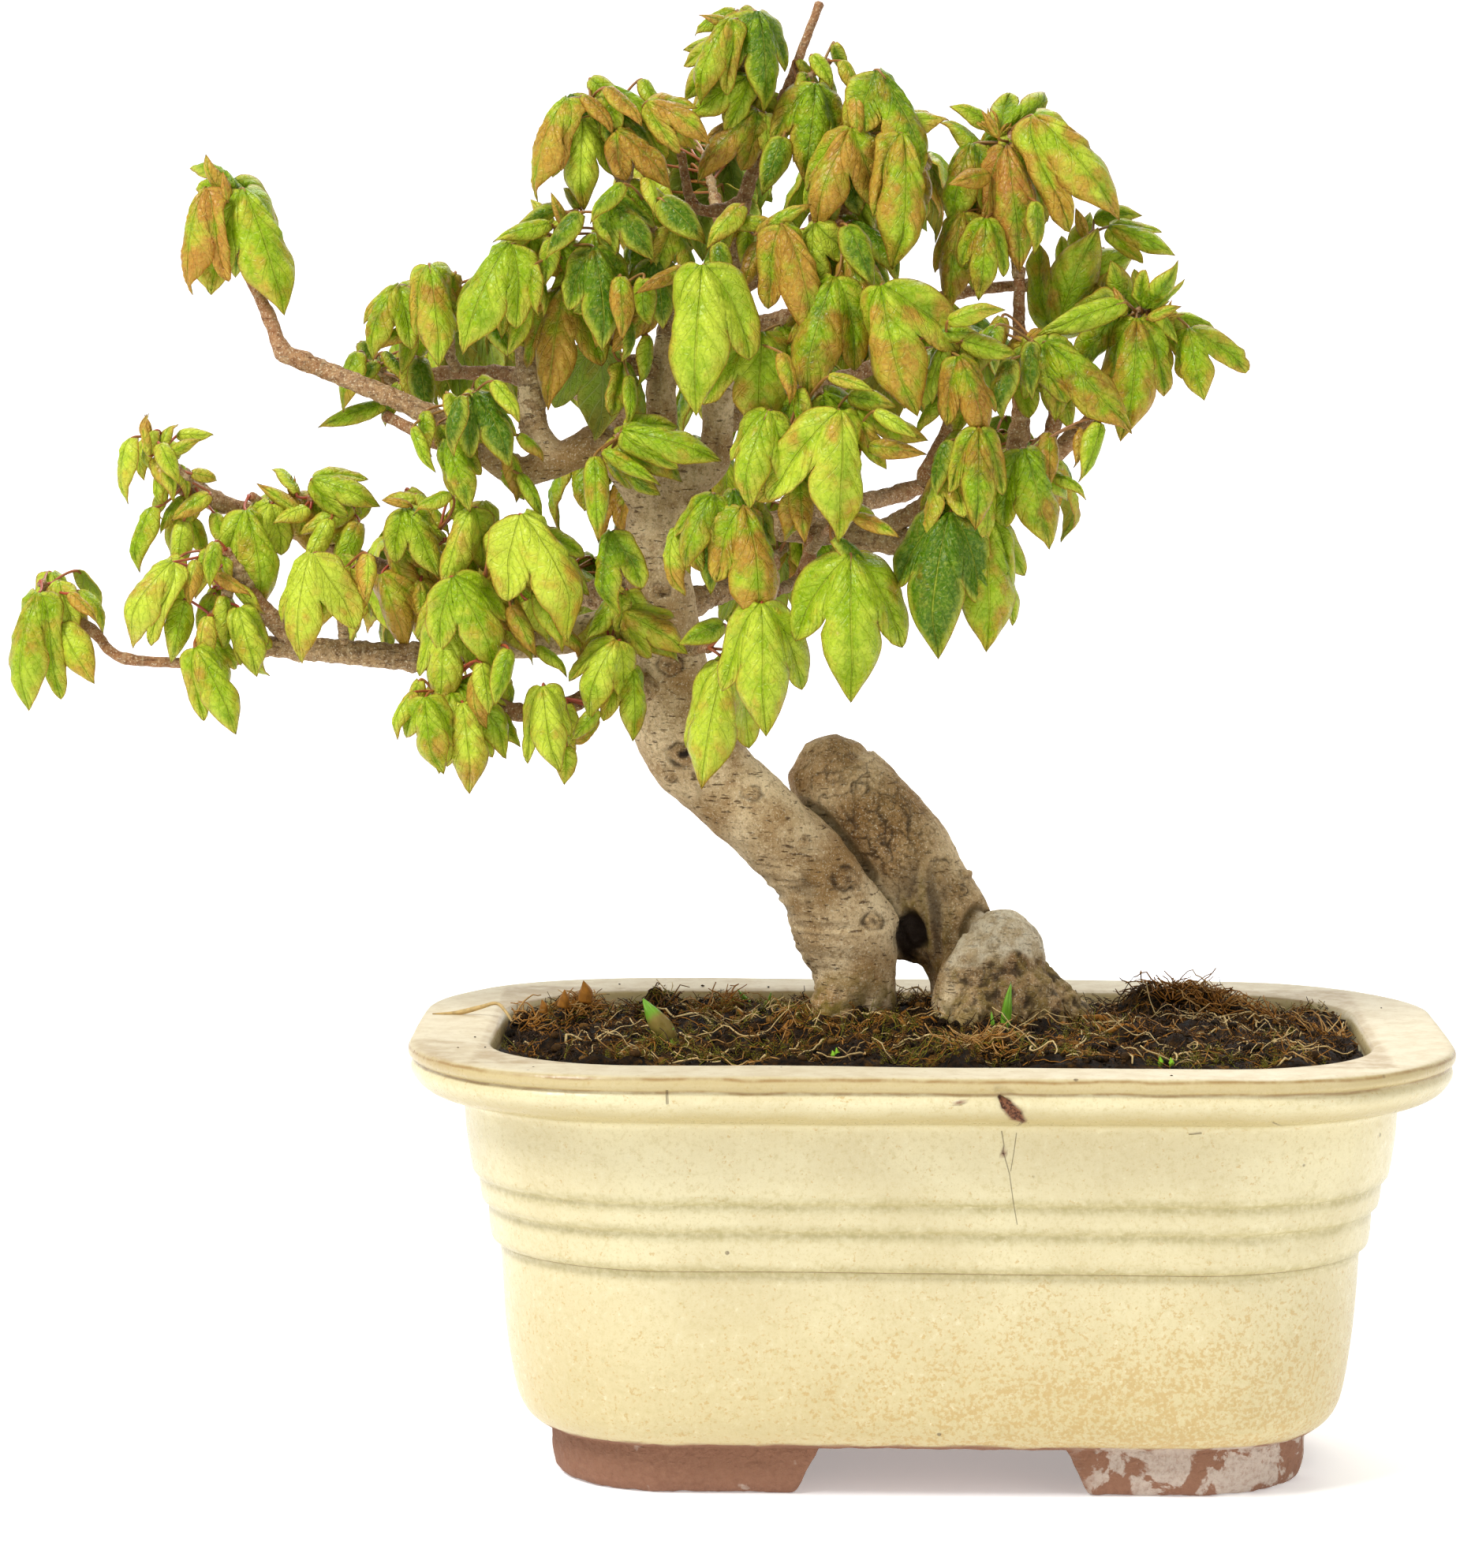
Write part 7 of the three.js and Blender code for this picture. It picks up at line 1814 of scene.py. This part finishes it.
def clod(x, y):
    """Broad lumps of peat, about -1 to 1."""
    return grain(np.stack([x, y, np.zeros_like(x)], 1), 6, 201, 2)


def lit(x, y):
    """How light the fibres at a place are: low ones lie in the shade of the lumps."""
    return smooth(-0.6, 0.4, clod(np.array([x]), np.array([y]))[0])


def crumbly(x, y):
    """Height of the visible ground: the mound with crumbs of several sizes."""
    flat = np.stack([x, y, np.zeros_like(x)], 1)
    high = soil_height(x, y) + 1.1 * clod(x, y) + 0.6 * grain(flat, 2.2, 205, 3)
    high = high - SUNKEN * back_edge(y)
    for at_x, at_z, depth, wide, tall in LUMPS:
        centre = seen(at_x, at_z, depth)
        away = ((x - centre[0]) / wide) ** 2 + ((y - depth) / (0.8 * wide)) ** 2
        high = high + tall * 0.8 * np.exp(-away * 1.4)
    return high


def ground_at(x, y):
    return crumbly(np.array([x]), np.array([y]))[0]


def inside_pot(x, y, room):
    """Whether a place lies inside the pot's opening, room away from its wall."""
    half_x, radius = OPENING[0] - room, OPENING[1] - room
    half_y = half_x - INSET
    dx, dy = np.maximum(np.abs(x) - (half_x - radius), 0), np.maximum(np.abs(y) - (half_y - radius), 0)
    return np.hypot(dx, dy) < radius


def ground():
    """The body of soil, with its crumbly top."""
    columns = np.linspace(0, 1, 300, endpoint=False)
    rings = [rounded(z, half - SOIL_GAP, half - SOIL_GAP - INSET, radius - SOIL_GAP, columns)
             for z, half, radius in SOIL_WALL]
    half, radius = OPENING[0] - SOIL_GAP, OPENING[1] - SOIL_GAP
    edge = rounded(0, half, half - INSET, radius, columns)
    for scale in np.linspace(1, 0.03, 60):
        ring = edge * scale
        ring[:, 2] = crumbly(ring[:, 0], ring[:, 1])
        if scale == 1:
            ring[:, 2] -= 0.6
        rings.append(ring)
    points = np.vstack([*rings, [[0, 0, rings[0][0, 2]], [0, 0, rings[-1][:, 2].mean()]]])
    return Build().add(points, capped(len(rings), len(columns)))


def scattered(count, seed, room=1.2):
    """Random places on the ground, as x, y and four more numbers from 0 to 1."""
    rng = np.random.default_rng(seed)
    rows = []
    while len(rows) < count:
        x, y = (rng.uniform(-half, half) for half in SCATTER)
        if inside_pot(np.array([x]), np.array([y]), room)[0]:
            rows.append((x, y, *rng.random(4)))
    return np.array(rows)


def crumb_shape(sides, rings):
    """A ball of few faces, of radius 1."""
    line = np.linspace(0, np.pi, rings + 2)[1:-1]
    turn = np.arange(sides) / sides * 2 * np.pi
    body = np.array([(math.sin(p) * math.cos(t), math.sin(p) * math.sin(t), math.cos(p))
                     for p in line for t in turn])
    points = np.vstack([body, [[0, 0, 1], [0, 0, -1]]])
    return points, [faces[:, ::-1] for faces in capped(rings, sides)]


def turned(points, angle):
    """Points turned about z."""
    turn = np.array([[math.cos(angle), math.sin(angle)], [-math.sin(angle), math.cos(angle)]])
    return np.column_stack([points[:, :2] @ turn, points[:, 2]])


def crumbs(build):
    shape, faces = crumb_shape(7, 4)
    for number, (x, y, size, tone, turn, flat) in enumerate(scattered(CRUMB_COUNT, 31)):
        reach = 0.25 + 0.85 * size**4
        points = shape * [reach * (0.8 + 0.6 * turn), reach, reach * (0.5 + 0.4 * flat)]
        points = turned(points * (1 + 0.28 * grain(shape * 1.4 + number, 1, 13)[:, None]), turn * FULL_TURN)
        high = ground_at(x, y) + 0.25 * reach
        # the tone is lowered with painted shade where the crumb lies low among the lumps
        build.add(points + [x, y, high], faces, 1, tone=tone**1.8 * (0.2 + 0.8 * lit(x, y)))


def mossy(x, y):
    """How much moss covers a place, about 0 to 1: most on the left half and along the front."""
    patch = grain(np.array([[x, y, 0.0]]), 15, 303, 2)[0]
    return patch + 0.45 * smooth(-5, -45, x) + 0.4 * math.exp(-(((y + 30) / 9) ** 2)) * smooth(30, 10, x)


def loose_tube(build, points, radii, tone, green=0.0, sides=5):
    """A thin piece of fibre through places seen from the front: x, z, depth y."""
    line = through([seen(*place) for place in points], 5)
    radii = np.interp(np.linspace(0, 1, len(line)), np.linspace(0, 1, len(radii)), radii)
    build.add(*tube(line, radii, sides), 2, tone=tone, green=green)


def strand(build, x, y, length, heading, rise, radius, tone, green, seed, lift=0.25, sides=4):
    """A thin bent fibre lying on the ground or standing out of it."""
    count = max(int(length / 0.9), 4)
    t = np.linspace(0, 1, count)
    bend = grain(np.stack([t * 3, np.full(count, seed * 1.3), np.zeros(count)], 1), 1, 17, 2)
    angle = heading + 1.2 * bend
    step = length / (count - 1)
    px = x + np.cumsum(np.cos(angle)) * step * math.cos(rise)
    py = y + np.cumsum(np.sin(angle)) * step * math.cos(rise)
    keep = inside_pot(px, py, 0.8)
    if not keep.all():
        cut = int(np.argmin(keep))
        if cut < 4:
            return
        px, py, t = px[:cut], py[:cut], t[:cut]
    hop = lift + 0.5 * np.abs(bend[:len(px)])
    pz = crumbly(px, py) + hop + np.arange(len(px)) * step * math.sin(rise)
    pz[0] -= 0.8
    radii = radius * (1 - 0.5 * t[:len(px)])
    build.add(*tube(np.stack([px, py, pz], 1), radii, sides), 2, tone=tone, green=green)


def rootlets(build):
    """Rootlets, straw, fibres, tufts, bud sheaths and sprigs on the ground."""
    for number, (x, y, long, tone, turn, rise) in enumerate(scattered(ROOTLET_COUNT, 47, 2)):
        strand(build, x, y, 4 + 14 * long**2, turn * FULL_TURN, 0.12 * rise, 0.12 + 0.16 * tone**2,
               0.45 + 0.55 * tone, 0, number)
    for number, (x, y, heading) in enumerate(FOOT_ROOTS):
        strand(build, x, y, 26, heading, -0.02, 0.6, 0.42, 0, 900 + number, lift=0.1, sides=8)
    for number, (x, y, long, _, turn, rise) in enumerate(scattered(STRAW_COUNT, 53, 3)):
        strand(build, x, y, 5 + 9 * long, turn * FULL_TURN, 0.05 + 0.5 * rise, 0.14, 0.9, 0, 3000 + number)
    # short fibres everywhere, ochre and green where there is moss and dark brown elsewhere, darker with
    # painted shade where the ground lies low
    for number, (x, y, long, tone, turn, rise) in enumerate(scattered(FIBRE_COUNT, 67, 1.5)):
        patch = min(max(mossy(x, y), 0.0), 1.0)
        green = 0.9 if tone < 0.4 * patch else 0.0
        shade = (0.5 * tone**2 + 0.6 * patch * tone + 0.4 * (tone > 0.9)) * (0.1 + 0.9 * lit(x, y))
        strand(build, x, y, 1.6 + 3.6 * long, turn * FULL_TURN, (0.75 - 0.7 * back_edge(y)) * rise**2,
               0.09 + 0.07 * tone, shade, green, 5000 + number, sides=3)
    for index, (at_x, at_z, depth, wide, count, tone) in enumerate(TUFTS):
        centre = seen(at_x, at_z, depth)
        rng = np.random.default_rng(700 + index)
        for number in range(count):
            far, way, long, shade, lean = rng.random(5)
            x = centre[0] + wide * math.sqrt(far) * math.cos(FULL_TURN * way) * 0.75
            y = depth + wide * math.sqrt(far) * math.sin(FULL_TURN * way) * 0.6
            strand(build, x, y, 3 + 5 * long, FULL_TURN * lean, 0.1 + 0.5 * shade, 0.12 + 0.08 * long,
                   max(tone + 0.4 * (shade - 0.5), 0.0), 0.0, 9000 + 300 * index + number)
    for foot_x, foot_z, tip_x, tip_z, depth, radius in SHEATHS:
        middle = (0.6 * foot_x + 0.4 * tip_x + 0.2, (foot_z + tip_z) / 2, depth)
        loose_tube(build, [(foot_x, foot_z, depth), middle, (tip_x, tip_z, depth)],
                   (radius, 0.85 * radius, 0.05), 0.5)
    loose_tube(build, DRY_FIBRE, (0.12, 0.5, 0.35, 0.3, 0.25), 0.85)
    for x, z, depth, high in SPRIGS:
        loose_tube(build, [(x, z, depth), (x + 0.2, z + high / 2, depth), (x, z + high, depth)],
                   (0.15, 0.55, 0.05), 0.5, 1.6)


# Corners of a moss leaf's faces: base, left, tip, right and the keel below.
MOSS_FACES = [(0, 1, 2), (0, 2, 3), (0, 4, 1), (1, 4, 2), (2, 4, 3), (3, 4, 0)]


def moss(build):
    """Tufts of small upright shoots with rings of tiny pointed leaves."""
    for x, y, tall, tone, turn, lean in scattered(MOSS_COUNT, 61):
        if mossy(x, y) < 0.25:
            continue
        base = np.array([x, y, ground_at(x, y) - 0.2])
        high, way = 0.9 + 1.5 * tall, turn * FULL_TURN
        heading = np.array([0.5 * math.cos(way) * lean, 0.5 * math.sin(way) * lean, 1.0])
        heading = heading / np.linalg.norm(heading)
        green = 0.85 if tone > 0.45 else 0.1
        rows, faces = [], []
        for level in range(4):
            centre = base + heading * high * (0.25 + 0.22 * level)
            for k in range(4):
                angle = way + 1.57 * k + 0.8 * level
                away = np.array([math.cos(angle), math.sin(angle), 0.75])
                side = np.array([-math.sin(angle), math.cos(angle), 0.0])
                reach = (0.62 - 0.07 * level) * (0.8 + 0.5 * tall)
                start = len(rows)
                rows += [centre, centre + away * 0.45 * reach + side * 0.14 * reach,
                         centre + away * reach, centre + away * 0.45 * reach - side * 0.14 * reach,
                         centre + away * 0.4 * reach + np.array([0, 0, -0.09 * reach])]
                faces += [(start + i, start + j, start + k) for i, j, k in MOSS_FACES]
        shade = (0.36 + 0.3 * tone) * (0.5 + 0.5 * lit(x, y))
        build.add(rows, [np.array(faces)], 2, tone=shade, green=green)


def rim_crumbs(build):
    """Specks of soil that lie on the pot's rim."""
    shape, faces = crumb_shape(6, 3)
    rng = np.random.default_rng(83)
    for number in range(RIM_CRUMBS):
        way, across, size, tone = rng.random(4)
        half = 77.5 + 9 * across**1.6
        x, y, z = rounded(POT_HIGH, half, half - INSET, 0.42 * half, [way])[0]
        reach = 0.12 + 0.2 * size**3
        body = shape * (1 + 0.25 * grain(shape * 1.4 + number, 1, 15)[:, None])
        body = body * [reach * 1.4, reach, 0.7 * reach]
        build.add(body + [x, y, z + 0.35 * reach - 0.1], faces, 1, tone=0.5 * tone)


def make_soil():
    build = ground()
    rim_crumbs(build)
    crumbs(build)
    rootlets(build)
    moss(build)
    materials = [earth_material(), crumb_material(), fibre_material()]
    return piece("peat_and_moss", build.mesh("peat_and_moss"), materials, "soil", "soil")


# ---------------------------------------------------------------- seedlings
SEEDLING_STEM = 4
# Share of the blades' breadth in the table, and further blades in the same form.
NARROW = {"seedling_blade": 0.4, "seedling_leaf": 0.6, "seedling_sprout": 0.34}
MORE_BLADES = {"seedling_blade": [(11.4, 74, 10.8, 78.4, 0, 0.8)],
               "seedling_sprout": [(-29.8, 77, -27.6, 81.6, 20, 0.9), (-31, 77, -31.8, 80.6, 0, 0.8)]}
GREEN_BLADE, BROWNED_BLADE = 2, 5


def make_seedlings():
    material = seedling_material()
    for name, (x, z, y), rows, tint in SEEDLINGS:
        root = seen(x, z, y)
        top = root + [0, 0, SEEDLING_STEM]
        build = Build()
        line = np.array([root + (top - root) * t for t in np.linspace(0, 1, 6)])
        build.add(*tube(line, np.linspace(0.6, 0.35, 6), 8), 0, brown=0.3)
        rows = [*rows, *MORE_BLADES.get(name, [])]
        for number, (base_x, base_z, tip_x, tip_z, turn, spread) in enumerate(rows):
            blade = Blade(seen(base_x, base_z, y), seen(tip_x, tip_z, y), turn, spread * NARROW[name])
            add_petiole(build, top, blade, 0.0)
            browned = BROWNED_BLADE if name == "seedling_leaf" else GREEN_BLADE
            add_blade(build, blade, False, browned, int(abs(x) * 7) + number)
        build.slots = [np.zeros(len(numbers), int) for numbers in build.slots]
        slot = "leaf_bronze" if tint == 3 else ("leaf_light" if tint == 2 else "leaf_green")
        piece(f"{name}_fine", build.mesh(name), [material], slot, name)


# ---------------------------------------------------------------- screens, ground and light
PAPER = (6.0, -3.0, 1.6, 3.5, 0.9)       # width, front, back, height and bend of the backdrop, in metres
PAPER_GLOW, WORLD_LIGHT = 0.3, 0.5
# Lamps: place and size in metres, and power.
LAMPS = {"key": ((-0.6, -0.6, 1.1), 0.45, 15), "fill": ((1.0, -0.9, 0.5), 1.0, 3),
         "back": ((0.2, 1.0, 1.1), 0.9, 7)}
LAMP_AIM = (0, 0, 0.13)


def dress_screens():
    material = screen_material()
    for name in ("drain_screen_left", "drain_screen_right"):
        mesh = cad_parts[name].data
        mesh.materials.clear()
        mesh.materials.append(material)


def make_stage():
    n = Nodes("paper")
    fine = n.noise(0.004, 3.0)
    white = n.mix(fine, (0.93, 0.93, 0.93), (0.96, 0.96, 0.96))
    n.finish(white, 0.9, n.bump(fine, 0.00003), 0.1)
    n.shader.inputs["Emission Color"].default_value = (1, 1, 1, 1)
    n.shader.inputs["Emission Strength"].default_value = PAPER_GLOW
    width, front, back, high, radius = PAPER
    arc = [(back - radius + radius * math.sin(t), radius - radius * math.cos(t))
           for t in np.linspace(0, math.pi / 2, 24)]
    rows = [(front, 0.0), *arc, (back, high)]
    points = [(side * width / 2, y, z) for y, z in rows for side in (-1, 1)]
    faces = [(2 * i, 2 * i + 1, 2 * i + 3, 2 * i + 2) for i in range(len(rows) - 1)]
    mesh = bpy.data.meshes.new("paper")
    mesh.from_pydata(points, [], faces)
    mesh.materials.append(n.material)
    mesh.polygons.foreach_set("use_smooth", [True] * len(mesh.polygons))
    floor = bpy.data.objects.new("paper", mesh)
    bpy.context.scene.collection.objects.link(floor)


def make_light():
    for name, (place, size, power) in LAMPS.items():
        light = bpy.data.lights.new(name, "AREA")
        light.shape, light.size, light.energy = "DISK", size, power
        obj = bpy.data.objects.new(name, light)
        obj.location = place
        obj.rotation_euler = (Vector(LAMP_AIM) - Vector(place)).to_track_quat("-Z", "Y").to_euler()
        bpy.context.scene.collection.objects.link(obj)
    world = bpy.data.worlds.new("studio")
    world.use_nodes = True
    world.node_tree.nodes["Background"].inputs[0].default_value = (1, 1, 1, 1)
    world.node_tree.nodes["Background"].inputs[1].default_value = WORLD_LIGHT
    bpy.context.scene.world = world
    view = bpy.context.scene.view_settings
    view.view_transform, view.look, view.exposure, view.gamma = "Standard", "None", 0.0, 1.0


def make_camera():
    camera = bpy.data.cameras.new("camera")
    camera.lens, camera.sensor_width, camera.sensor_fit = LENS, 36, "AUTO"
    camera.clip_start, camera.clip_end = 0.05, 30
    obj = bpy.data.objects.new("camera", camera)
    place = (EYE + SHIFT) * MM
    target = (AIM + SHIFT) * MM
    look = Vector(target - place).to_track_quat("-Z", "Y")
    obj.location = place
    obj.rotation_euler = look.to_euler()
    obj.rotation_euler.rotate_axis("Z", ROLL)
    bpy.context.scene.collection.objects.link(obj)
    bpy.context.scene.camera = obj


# ---------------------------------------------------------------- everything
make_pot()
dress_screens()
make_soil()
make_wood()
make_shoots()
make_seedlings()
make_stage()
make_light()
make_camera()
